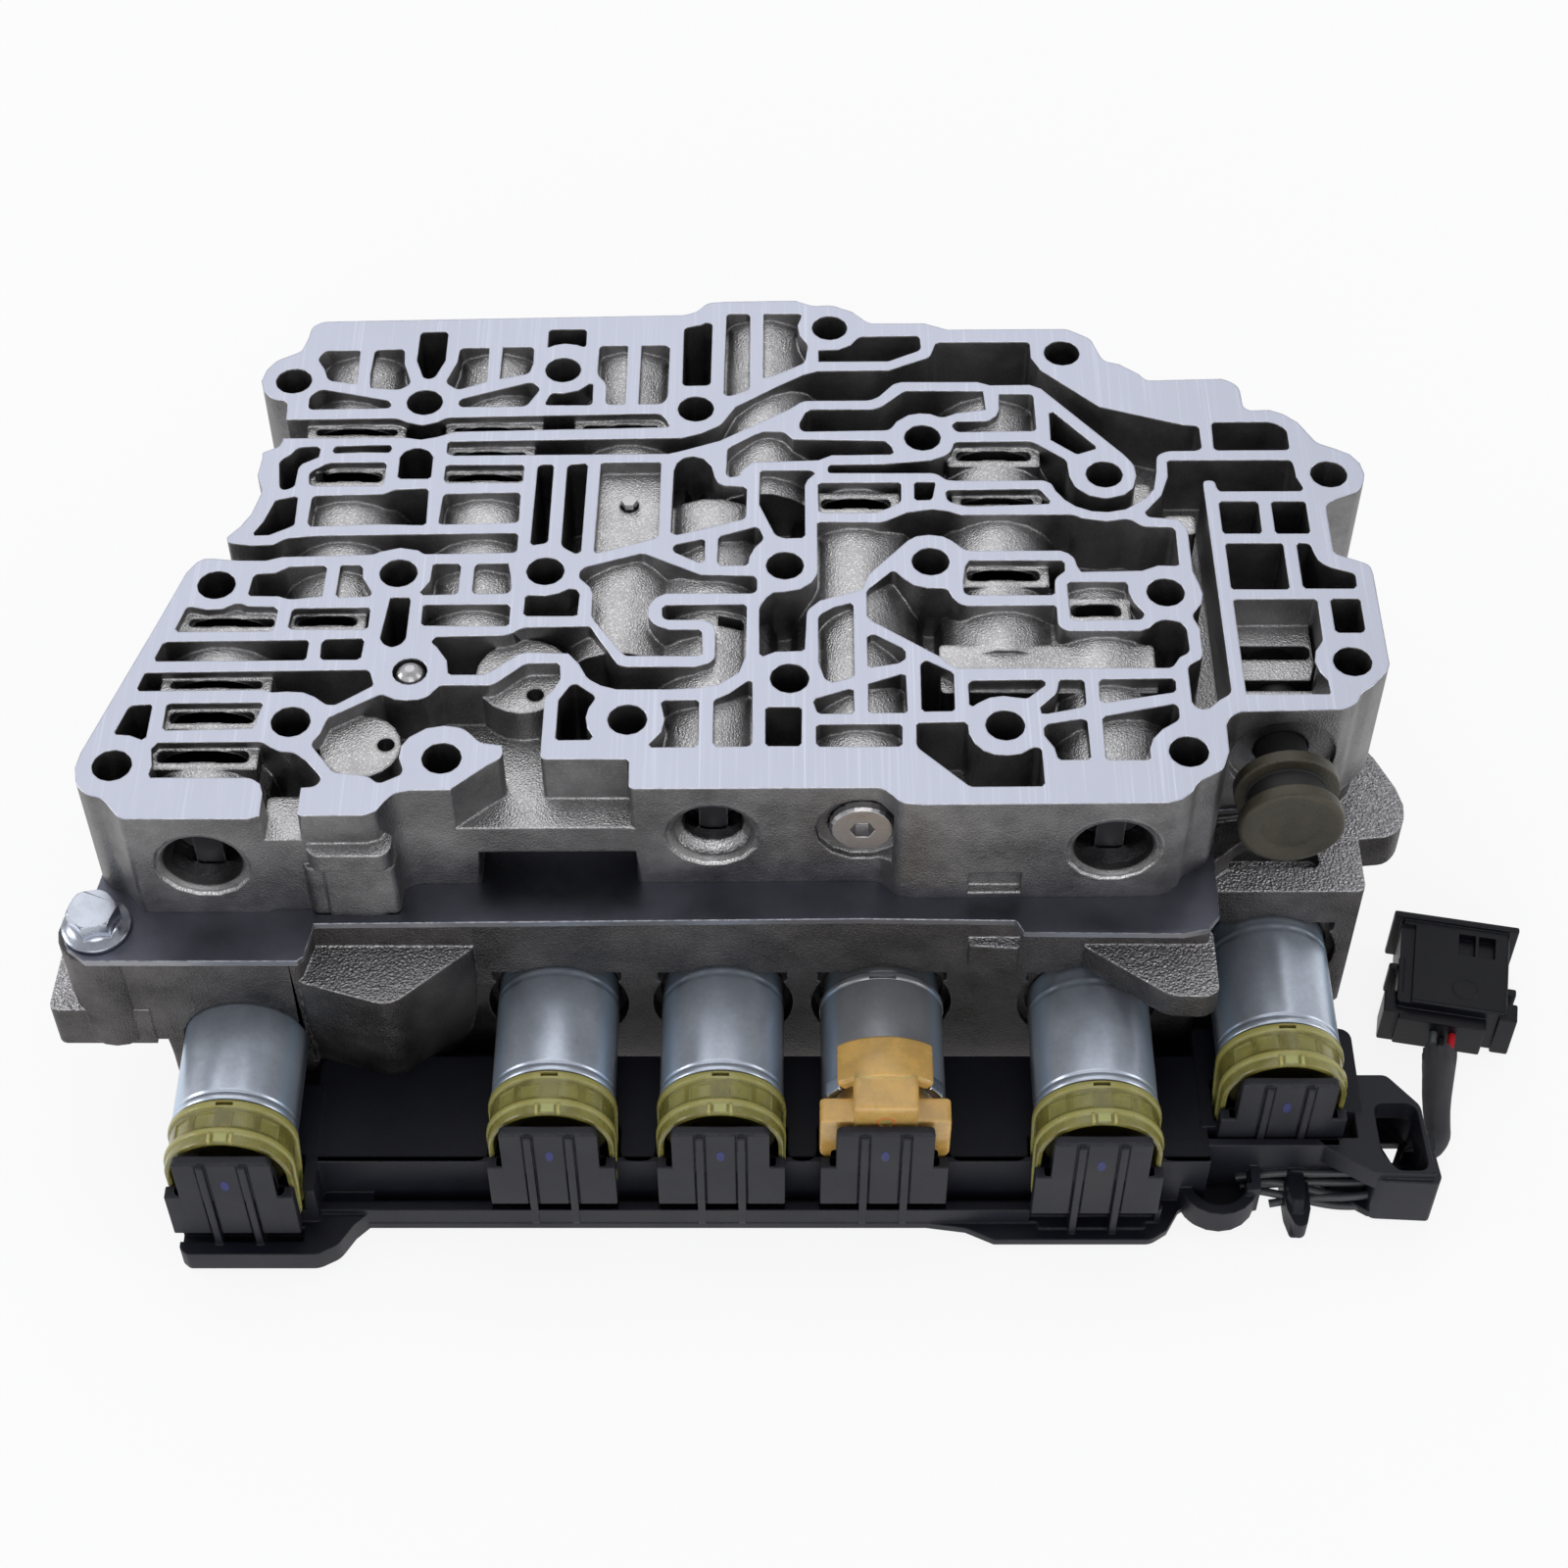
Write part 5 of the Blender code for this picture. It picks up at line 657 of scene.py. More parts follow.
slotFinish = {
    "machined_casting": "milledTop",
    "rough_casting": "lowerCast",
    "plate_steel": "plateSteel",
    "zinc_can": "zinc",
    "machined_steel": "machined",
    "bright_steel": "machined",
    "spring_steel": "springSteel",
    "valve_aluminium": "valveAlloy",
    "piston_coating": "pistonCoatAndShade",
    "olive_plastic": "olivePlastic",
    "amber_plastic": "amberPlastic",
    "black_plastic": "shadedBlackPlastic",
    "grey_plastic": "greyPlastic",
    "sleeve_fabric": "sleeveFabric",
    "red_insulation": "redInsulation",
    "grey_insulation": "greyInsulation",
    "dark_insulation": "darkInsulation",
}


# upper casting

upperCasting = {
    "topHeight": 75 * mm,
    "cornerRadii": [0.9 * mm, 0.45 * mm],
    "shortestCorner": 1.2 * mm,
    "padMargin": (1.7, 1.5),
    "padReach": (69.2 * mm, 73.2 * mm),
    "padCorner": 0.6,
    "padRim": 0.3 * mm,
    "portCurve": 0.42,
    # left, right, near and far in millimetres, as the margins are
    "ports": [
        (-107.0, -91.3, 9.5, 12.2), (-106.0, -91.3, 18.4, 21.0), (-106.8, -90.8, 26.4, 28.2),
        (-86.7, -75.6, 41.2, 43.6), (-105.4, -90.3, 41.0, 43.0), (-86.6, -74.2, 77.4, 80.0),
        (-61.9, -48.2, 77.6, 79.4), (7.4, 20.2, 70.4, 73.0), (33.2, 46.5, 71.4, 73.2),
        (32.8, 46.7, 83.0, 85.6), (33.6, 46.7, 52.2, 54.9), (51.8, 60.8, 43.4, 46.4),
        (-87.6, -72.4, 89.8, 91.6), (-61.6, -46.6, 90.4, 92.0), (-37.3, -23.2, 91.0, 92.6),
        (-61.4, -47.8, 83.6, 85.4),
    ],
    "boreHeight": 62.2 * mm,
    "collarRadii": (6.9 * mm, 8.5 * mm),
    "mouths": [(-99.0 * mm, -4.4 * mm), (-11.8 * mm, 2.2 * mm), (57.2 * mm, -1.1 * mm)],
    "bossRib": [(-81.8, 0.0, 0), (-81.8, -4.9, 1.6), (-66.0, -4.9, 1.6), (-66.0, 0.0, 0)],
    "bossRibReach": (49.1 * mm, 62.0 * mm),
    "bossRibRim": 0.5 * mm,
    "wallRecess": ((32.6 * mm, -4 * mm, 50.4 * mm), (41.8 * mm, 0.8 * mm, 56 * mm)),
}


# heights are told apart by hundredths of a millimetre
perMetre = 100000
cornering = {"leastTurn": 28, "mostTurn": 140, "steps": 3, "room": 2.1}


def levelLoops(mesh):
    # takes away the level faces and says which way those at each height looked
    heights = {}
    flat = [f for f in mesh.faces if abs(f.normal.z) > 0.99995]
    for face in flat:
        key = round(face.verts[0].co.z * perMetre)
        heights[key] = 1 if face.normal.z > 0 else -1
    bmesh.ops.delete(mesh, geom=flat, context="FACES")
    return heights


def insideFaces(edges, faces, sources):
    # walks in from the hull and changes side at every rim, so holes stay open
    rims = {frozenset(e) for e, s in zip(edges, sources) if len(s) % 2}
    beside = {}
    for i, face in enumerate(faces):
        for pair in zip(face, face[1:] + face[:1]):
            beside.setdefault(frozenset(pair), []).append(i)
    inside = {}
    for pair, owners in beside.items():
        if len(owners) == 1:
            inside.setdefault(owners[0], pair in rims)
    waiting = list(inside)
    while waiting:
        i = waiting.pop()
        face = faces[i]
        for pair in zip(face, face[1:] + face[:1]):
            pair = frozenset(pair)
            for other in beside[pair]:
                if other not in inside:
                    inside[other] = inside[i] != (pair in rims)
                    waiting.append(other)
    return [face for i, face in enumerate(faces) if inside.get(i)]


def fillLevels(mesh, heights):
    # fills the open rims at each height again, leaving the holes
    for key, side in heights.items():
        rims = [e for e in mesh.edges if e.is_boundary
                and all(abs(v.co.z * perMetre - key) < 1.5 for v in e.verts)]
        corners = list({v: None for e in rims for v in e.verts})
        order = {v: i for i, v in enumerate(corners)}
        flatPoints = [v.co.xy * 1000 for v in corners]
        pairs = [(order[e.verts[0]], order[e.verts[1]]) for e in rims]
        points, edges, faces, sources, edgeSources, _ = delaunay_2d_cdt(flatPoints, pairs, [], 0, 0.0001)
        made = []
        for point, source in zip(points, sources):
            if source:
                made.append(corners[source[0]])
            else:
                made.append(mesh.verts.new((point.x * mm, point.y * mm, key / perMetre)))
        for face in insideFaces(edges, faces, edgeSources):
            try:
                filled = mesh.faces.new([made[i] for i in face])
            except ValueError:
                continue
            filled.normal_update()
            if filled.normal.z * side < 0:
                filled.normal_flip()


def roundCorners(mesh, radius, shortest):
    # upright inside and outside corners, where both sides have room for the radius
    corners = []
    least, most = math.radians(cornering["leastTurn"]), math.radians(cornering["mostTurn"])
    for edge in mesh.edges:
        if len(edge.link_faces) != 2 or edge.calc_length() < shortest:
            continue
        along = (edge.verts[0].co - edge.verts[1].co).normalized()
        if abs(along.z) < 0.999 or not least < edge.calc_face_angle() < most:
            continue
        room = min(
            (e.calc_length() for v in edge.verts for e in v.link_edges
             if abs(e.verts[0].co.z - e.verts[1].co.z) < 0.2 * mm), default=1)
        if room > cornering["room"] * radius:
            corners.append(edge)
    bmesh.ops.bevel(mesh, geom=corners, offset=radius, offset_type="OFFSET", segments=cornering["steps"],
                    profile=0.5, affect="EDGES", clamp_overlap=False)
    return len(corners)


def roundedCopy(nodeName, name, values):
    # a copy with its upright corners rounded and its level faces filled again
    piece = copyOfNode(nodeName, name)
    mesh = bmesh.new()
    mesh.from_mesh(piece.data)
    heights = levelLoops(mesh)
    bmesh.ops.dissolve_limit(mesh, angle_limit=math.radians(0.5), verts=mesh.verts, edges=mesh.edges)
    for radius in values["cornerRadii"]:
        count = roundCorners(mesh, radius, values["shortestCorner"])
        print(name, "rounded", count, "corners by", round(radius / mm, 2), "mm")
    fillLevels(mesh, heights)
    bmesh.ops.remove_doubles(mesh, verts=mesh.verts, dist=merging["built"])
    mesh.to_mesh(piece.data)
    mesh.free()
    return piece


def portPad(sides):
    # flat pad round a port, with the slot that opens into the valve bore
    left, right, near, far = sides
    padX, padY = upperCasting["padMargin"]
    low, high = upperCasting["padReach"]
    pad = planSlab("pad", cornered(left - padX, right + padX, near - padY, far + padY,
                                   upperCasting["padCorner"]), low, high)
    curve = upperCasting["portCurve"] * (far - near)
    cutBy(pad, planSlab("hole", cornered(left, right, near, far, curve), low - mm, high + mm))
    bevelled(pad, upperCasting["padRim"], 2, 40)
    # the pad's top takes the lighter copy as painted light, its upright faces the darker copy as painted
    # shade
    coat(pad, "litCastFloor")
    repaint(pad, "castWall", lambda face: abs(face.normal.z) < 0.35)
    return pad


def boreCollar(x, mouth):
    # flat ring round a bore's mouth, a little behind the wall
    inner, outer = upperCasting["collarRadii"]
    height = upperCasting["boreHeight"]
    collar = turned("collar", (x, 0, height), "Y", [
        (mouth + 3.6 * mm, inner), (mouth + 1.0 * mm, inner), (mouth + 0.5 * mm, inner + 0.5 * mm),
        (mouth + 0.45 * mm, outer - 0.25 * mm), (mouth + 0.15 * mm, outer),
        (mouth + 2.4 * mm, outer + 0.1 * mm)])
    mesh = bmesh.new()
    mesh.from_mesh(collar.data)
    bmesh.ops.delete(mesh, geom=[f for f in mesh.faces if len(f.verts) > 8], context="FACES")
    mesh.to_mesh(collar.data)
    mesh.free()
    coat(collar, "castWall")
    return collar


def makeUpperCasting():
    piece = roundedCopy("upper_casting", "upperCasting", upperCasting)
    cutBy(piece, block("recess", *upperCasting["wallRecess"]))
    top = upperCasting["topHeight"] - 0.1 * mm
    coat(piece, "milledTop")
    # painted shade on the upright faces, painted light on the floors and humps
    repaint(piece, "castWall", lambda face: abs(face.normal.z) < 0.35)
    repaint(piece, "litCastFloor", lambda face: abs(face.normal.z) >= 0.35
            and not (face.normal.z > 0.9 and face.center.z > top))
    added = [portPad(sides) for sides in upperCasting["ports"]]
    added += [boreCollar(x, mouth) for x, mouth in upperCasting["mouths"]]
    rib = planSlab("rib", upperCasting["bossRib"], *upperCasting["bossRibReach"],
                   upperCasting["bossRibRim"], "castWall")
    piece = joined([piece, rib] + added, "upperCasting")
    smooth(piece, 35)
    settle(piece, "valve_unit", ["upper_casting"])


# solenoids: each can, and the hood that carries its socket

solenoid = {
    "axisHeight": 22.6 * mm,
    "radius": 11.0 * mm,
    "length": 23.0 * mm,
    "sides": 96,
    "dimples": 18,
    "dimpleDepth": 0.1 * mm,
    "dimpleReach": (1.8 * mm, 2.8 * mm),
    "tabAngle": 51,
    "tabHeight": 10.9 * mm,
    "legBottom": 9.5 * mm,
    "clipped": "solenoid_4",
    # the axis, and the casting's face behind the can
    "places": {
        "solenoid_1": (-95.8 * mm, -10.0 * mm),
        "solenoid_2": (-40.2 * mm, -4.0 * mm),
        "solenoid_3": (-10.5 * mm, -4.0 * mm),
        "solenoid_4": (18.1 * mm, -4.0 * mm),
        "solenoid_5": (55.5 * mm, -6.0 * mm),
        "solenoid_6": (88.9 * mm, 6.0 * mm),
    },
}
# distance in front of the casting's wall and radius, both in millimetres
canOutline = [
    (-3.0, 9.8), (-3.0, 10.2), (-2.8, 10.6), (-2.4, 10.85), (0.6, 10.85), (1.0, 10.95), (1.4, 11.0),
    (1.7, 11.0), (1.95, 10.96), (2.3, 10.94), (2.65, 10.96), (2.9, 10.99), (3.3, 11.0),
    (12.0, 11.0), (20.7, 11.0), (21.0, 10.97), (21.2, 10.86), (21.45, 10.84), (21.65, 10.95),
    (21.9, 11.06), (22.2, 11.12), (22.7, 11.12), (22.95, 11.0), (23.0, 10.8), (23.0, 9.0),
]
clippedOutline = [
    (-3.0, 9.8), (-3.0, 10.2), (-2.4, 10.5), (1.4, 10.5), (1.5, 10.3), (2.0, 10.3), (2.1, 11.1),
    (2.4, 11.25), (3.1, 11.25), (3.4, 11.1), (3.5, 10.9), (3.9, 11.0), (12.0, 11.0), (21.6, 11.0),
    (22.4, 11.0), (22.8, 10.9), (23.0, 10.7), (23.0, 9.0),
]


def canOf(name, outline, dimples):
    x, face = solenoid["places"][name]
    centre = (x, 0, solenoid["axisHeight"])
    stations = [(face - d * mm, r * mm) for d, r in outline]
    piece = turned(name + "Can", centre, "Y", stations, solenoid["sides"])
    pointValues(piece, "along", lambda place: (face - place.y) / solenoid["length"])
    pointValues(piece, "around",
                lambda place: abs(math.atan2(place.x - x, place.z - centre[2])) / (math.pi / 2))
    ringNear, ringFar = solenoid["dimpleReach"]
    for corner in piece.data.vertices:
        across = corner.co.x - x
        up = corner.co.z - centre[2]
        if dimples and ringNear < face - corner.co.y < ringFar:
            wave = 0.5 + 0.5 * math.cos(dimples * math.atan2(across, up))
            share = 1 - solenoid["dimpleDepth"] * wave / solenoid["radius"]
            corner.co.x = x + across * share
            corner.co.z = centre[2] + up * share
    return piece


def foldedTabs(name):
    # two bright tabs of the can, folded over the amber hood's shoulders
    x, face = solenoid["places"][name]
    front = face - solenoid["length"]
    tabs = []
    for side in (-1, 1):
        tab = roundedBlock("tab", (-1.9 * mm, front - 2.5 * mm, 0.0), (1.9 * mm, front + 0.6 * mm, 0.9 * mm),
                           0.35 * mm, 3)
        lean = Matrix.Rotation(math.radians(side * solenoid["tabAngle"]), 4, "Y")
        tab.matrix_world = (Matrix.Translation((x, 0, solenoid["axisHeight"])) @ lean
                            @ Matrix.Translation((0, 0, solenoid["tabHeight"])))
        applyPlace(tab)
        coat(tab, "zinc")
        tabs.append(tab)
    return tabs


def makeCans():
    for name in solenoid["places"]:
        clipped = name == solenoid["clipped"]
        piece = canOf(name, clippedOutline if clipped else canOutline,
                      0 if clipped else solenoid["dimples"])
        coat(piece, "canDull" if clipped else "canZinc")
        if clipped:
            x, face = solenoid["places"][name]
            top = solenoid["axisHeight"] + solenoid["radius"]
            cutBy(piece, block("notch", (x - 2.4 * mm, face - 3.45 * mm, top - 1.2 * mm),
                               (x + 2.4 * mm, face - 1.9 * mm, top + 2 * mm)))
            piece = joined([piece] + foldedTabs(name), name + "Can")
        smooth(piece, 40)
        settle(piece, "valve_unit", [name + "_can"])


# distance in front of the can's end and radius, in millimetres, round the hood's wall
hoodWall = [
    (0.3, 11.0), (0.4, 11.3), (0.7, 11.4), (1.5, 11.4), (1.7, 11.25), (1.8, 10.95), (2.2, 10.9),
    (5.6, 10.9), (5.8, 11.0), (5.95, 11.3), (6.2, 11.4), (6.8, 11.4), (7.0, 11.28), (7.15, 11.05),
    (8.5, 11.05), (8.8, 10.9), (8.9, 10.65), (8.9, 10.2), (8.7, 10.0), (6.0, 9.9), (0.6, 9.9),
    (0.3, 10.1),
]
hood = {
    "steps": 48,
    "coreRadius": 9.85 * mm,
    "coreFront": 6.2 * mm,
    "legMiddle": 10.65 * mm,
    "legFront": 8.7 * mm,
    "windowAngles": [(34, 56), (60, 82), (98, 120), (124, 146)],
    "windowRim": 0.35 * mm,
    "windowDepth": 0.3 * mm,
    "windowReach": (-5.5 * mm, -2.3 * mm),
    "windowOver": 10.6 * mm,
    "slotHalf": 1.3 * mm,
    "slotReach": (-1.6 * mm, -0.55 * mm),
    "slotOver": 11.2 * mm,
    "footShare": 0.45,
    "legLevels": [(0.8 * mm, 0.62), (5 * mm, 0.8)],
    "pinSpread": 1.9 * mm,
}


def sweptHood(x, front):
    # the wall's section, drawn up one leg, spun over the can and drawn down the other leg
    axis = solenoid["axisHeight"]
    foot = solenoid["legBottom"]
    legX, legY = x + hood["legMiddle"], front - hood["legFront"]
    narrow = hood["footShare"]
    piece = drawn("hood", [(legX + (x + r * mm - legX) * narrow,
                            legY + (front - d * mm - legY) * narrow, foot) for d, r in hoodWall])
    levels = [(foot, narrow)] + [(foot + above, share) for above, share in hood["legLevels"]] + [(axis, 1.0)]
    height, narrow = pullUpright(levels[1:], foot, narrow, legX, legY)
    bpy.ops.mesh.spin(steps=hood["steps"], angle=math.pi, center=(x, 0, axis), axis=(0, 1, 0))
    pullUpright(levels[-2::-1], height, narrow, x - hood["legMiddle"], legY)
    return closed(piece)


def selectFaces(piece, wanted):
    # only the faces whose centre is wanted, ready for an operator in face mode
    pick(piece)
    bpy.context.tool_settings.mesh_select_mode = (False, False, True)
    bpy.ops.object.mode_set(mode="EDIT")
    bpy.ops.mesh.select_all(action="DESELECT")
    bpy.ops.object.mode_set(mode="OBJECT")
    for face in piece.data.polygons:
        face.select = wanted(face.center)
    bpy.ops.object.mode_set(mode="EDIT")


def openWindows(piece, x, front):
    # shallow windows pressed into the band between the two rims, and the slot in the upper rim
    crown = Vector((x, front, solenoid["axisHeight"]))
    near, far = hood["windowReach"]
    for low, high in hood["windowAngles"]:
        def inWindow(centre):
            away = centre - crown
            turn = math.degrees(math.atan2(away.z, away.x))
            return (near < away.y < far and math.hypot(away.x, away.z) > hood["windowOver"]
                    and low < turn < high)
        selectFaces(piece, inWindow)
        bpy.ops.mesh.inset(thickness=hood["windowRim"], depth=0, use_even_offset=False)
        bpy.ops.mesh.inset(thickness=0.05 * mm, depth=-hood["windowDepth"], use_even_offset=False)
        bpy.ops.object.mode_set(mode="OBJECT")

    def inSlot(centre):
        away = centre - crown
        low, high = hood["slotReach"]
        return abs(away.x) < hood["slotHalf"] and away.z > hood["slotOver"] and low < away.y < high
    selectFaces(piece, inSlot)
    bpy.ops.mesh.extrude_region_move(TRANSFORM_OT_translate={"value": (0, 0, -mm)})
    bpy.ops.object.mode_set(mode="OBJECT")
    bpy.context.tool_settings.mesh_select_mode = (True, False, False)


def thinParts(piece, x, front):
    # pale where the moulding stands proud or runs thin, deep where it lies over the coil
    axis = solenoid["axisHeight"]

    def thinness(place):
        outside = math.hypot(place.x - x, place.z - axis)
        proud = (outside - 10.9 * mm) / (0.5 * mm)
        window = 0.35 if outside < 10.75 * mm and 2 * mm < front - place.y < 6 * mm else 0.0
        leg = 0.55 if place.z < axis - mm else 0.0
        return max(0.0, min(1.0, 0.7 * proud), window, leg)
    pointValues(piece, "thin", thinness)


def hoodPins(x, front):
    # two small pegs and the tab between them, on the hood's front edge
    crown = solenoid["axisHeight"] + solenoid["radius"]
    parts = []
    for middle, half, near, far, rise in (
        (x - hood["pinSpread"], 0.3 * mm, 9.0 * mm, 7.2 * mm, 0.55 * mm),
        (x + hood["pinSpread"], 0.3 * mm, 9.0 * mm, 7.2 * mm, 0.55 * mm),
        (x, 1.2 * mm, 8.6 * mm, 7.0 * mm, 0.2 * mm),
    ):
        peg = roundedBlock("peg", (middle - half, front - near, crown - 0.6 * mm),
                           (middle + half, front - far, crown + rise), 0.15 * mm)
        pointValues(peg, "thin", lambda place: 1.0)
        parts.append(peg)
    return parts


def hoodCore(x, front):
    # the dark coil former seen inside the hood
    axis = (x, 0, solenoid["axisHeight"])
    radius = hood["coreRadius"]
    deep = front - 0.35 * mm
    near = front - hood["coreFront"]
    core = turned("core", axis, "Y", [(deep, radius - 0.3 * mm), (deep - 0.3 * mm, radius),
                                      (near + 0.6 * mm, radius), (near, radius - 0.6 * mm),
                                      (near, 6.0 * mm), (near + 1.2 * mm, 5.6 * mm)], 48)
    coat(core, "oliveCore")
    return core


def makeHoods():
    first = None
    for name, (x, face) in solenoid["places"].items():
        if name == solenoid["clipped"]:
            continue
        front = face - solenoid["length"]
        if first is None:
            first = (x, front)
            master = sweptHood(x, front)
            openWindows(master, x, front)
            thinParts(master, x, front)
            coat(master, "olivePlastic")
            pins = hoodPins(x, front)
            for pin in pins:
                coat(pin, "olivePlastic")
            master = joined([master] + pins + [hoodCore(x, front)], name + "Hood")
            smooth(master, 40)
            piece = master
        else:
            piece = linked(name + "Hood", master.data.copy())
            for corner in piece.data.vertices:
                corner.co.x += x - first[0]
                corner.co.y += front - first[1]
        settle(piece, "valve_unit", [name + "_cap"])


# amber hood with its raised clip

clip = {
    "footHeight": 18.8 * mm,
    "barAngle": 39.5,
    "barOuter": 13.6 * mm,
    "barInner": 11.2 * mm,
    "barReach": (-29.9 * mm, -21.4 * mm),
    "stemHalf": 5.65 * mm,
    "stemFoot": 26 * mm,
    "stemTop": 35.4 * mm,
    "stemReach": (-36.3 * mm, -29.0 * mm),
    "bodyTop": 31.0 * mm,
    "bodyHalf": 11.4 * mm,
    "bodyCorner": 2.6 * mm,
    "legInside": 9.0 * mm,
    "archHeight": 21.5 * mm,
    "bodyReach": (-35.9 * mm, -31.0 * mm),
    "gateHeight": 31.2 * mm,
}


def makeAmberHood():
    name = solenoid["clipped"]
    x, face = solenoid["places"][name]
    axis = solenoid["axisHeight"]
    foot = clip["footHeight"]
    half = clip["bodyHalf"]
    inside = clip["legInside"]
    front = face - solenoid["length"]
    bar = arc((x, axis), clip["barOuter"], 90 - clip["barAngle"], 90 + clip["barAngle"], 18)
    bar += arc((x, axis), clip["barInner"], 90 + clip["barAngle"], 90 - clip["barAngle"], 18)
    saddle = slab("saddle", bar, "Y", *clip["barReach"])
    bevelled(saddle, 0.7 * mm, 3, 50)
    stem = roundedBlock("stem", (x - clip["stemHalf"], clip["stemReach"][0], clip["stemFoot"]),
                        (x + clip["stemHalf"], clip["stemReach"][1], clip["stemTop"]), 0.8 * mm, 3)
    corner = clip["bodyCorner"]
    outline = arc((x - half + corner, foot + corner), corner, 180, 270, 6)
    outline += [(x - inside, foot), (x - inside, clip["archHeight"]), (x + inside, clip["archHeight"]),
                (x + inside, foot)]
    outline += arc((x + half - corner, foot + corner), corner, 270, 360, 6)
    outline += arc((x + half - mm, clip["bodyTop"] - mm), mm, 0, 90, 4)
    outline += arc((x - half + mm, clip["bodyTop"] - mm), mm, 90, 180, 4)
    body = slab("body", outline, "Y", *clip["bodyReach"])
    bevelled(body, 0.4 * mm, 3, 50)
    shell = turned("shell", (x, 0, axis), "Y",
                   [(front - 0.3 * mm, inside - 0.2 * mm), (front - 0.6 * mm, inside),
                    (front - 4.2 * mm, inside), (front - 4.6 * mm, inside - 0.2 * mm)], 64)
    near = clip["stemReach"][0]
    gate = turned("gate", (x, 0, clip["gateHeight"]), "Y",
                  [(near + 0.3 * mm, 1.7 * mm), (near - 0.12 * mm, 1.7 * mm),
                   (near - 0.12 * mm, 1.3 * mm), (near + 0.1 * mm, 1.2 * mm)], 32)
    parts = [saddle, stem, body, shell, gate]
    for part in parts:
        coat(part, "amberDeep" if part is gate else "amberPlastic")
        pointValues(part, "thin", lambda place: 0.0 if place.z < clip["stemFoot"] else 0.2)
    piece = joined(parts, name + "Hood")
    smooth(piece, 40)
    settle(piece, "valve_unit", [name + "_cap"])


# connector carrier

carrier = {
    "cornerRadii": [2.2 * mm, 0.9 * mm, 0.4 * mm],
    "shortestCorner": 1.0 * mm,
    "panelHalf": 9.6 * mm,
    "panelTop": 27.6 * mm,
    "panelThickness": 2.2 * mm,
    "panelCurve": 1.6 * mm,
    "upperHalf": 8.5 * mm,
    "wingTop": 20.5 * mm,
    "wingHalf": 11.2 * mm,
    "crest": 31.4 * mm,
    "crestThickness": 1.3 * mm,
    "railFront": -34.5 * mm,
    "railThickness": 1.1 * mm,
    "ribMiddle": 3.6 * mm,
    "ribHalf": 0.65 * mm,
    "ribGap": 0.3 * mm,
    "stripThickness": 0.45 * mm,
    "slotLow": 3.0 * mm,
    "slotTop": 8.6 * mm,
    "slotDepth": 2.5 * mm,
    "capFrontGap": 9.2 * mm,
    "crestFoot": 19.0 * mm,
    "crestCorner": 1.4,
    "ribProud": 0.95 * mm,
    "stripRim": 0.25 * mm,
    "markHeight": 24.4 * mm,
    "markRadii": (0.7 * mm, 1.5 * mm),
    "railEnds": (-83.4 * mm, 76.0 * mm),
    "railHeight": (3 * mm, 15.6 * mm),
    "railLap": 0.4 * mm,
    "panelSide": -20 * mm,
    "armCutTop": 20 * mm,
    "armTop": 15.4 * mm,
    "armUnder": 10.2 * mm,
}
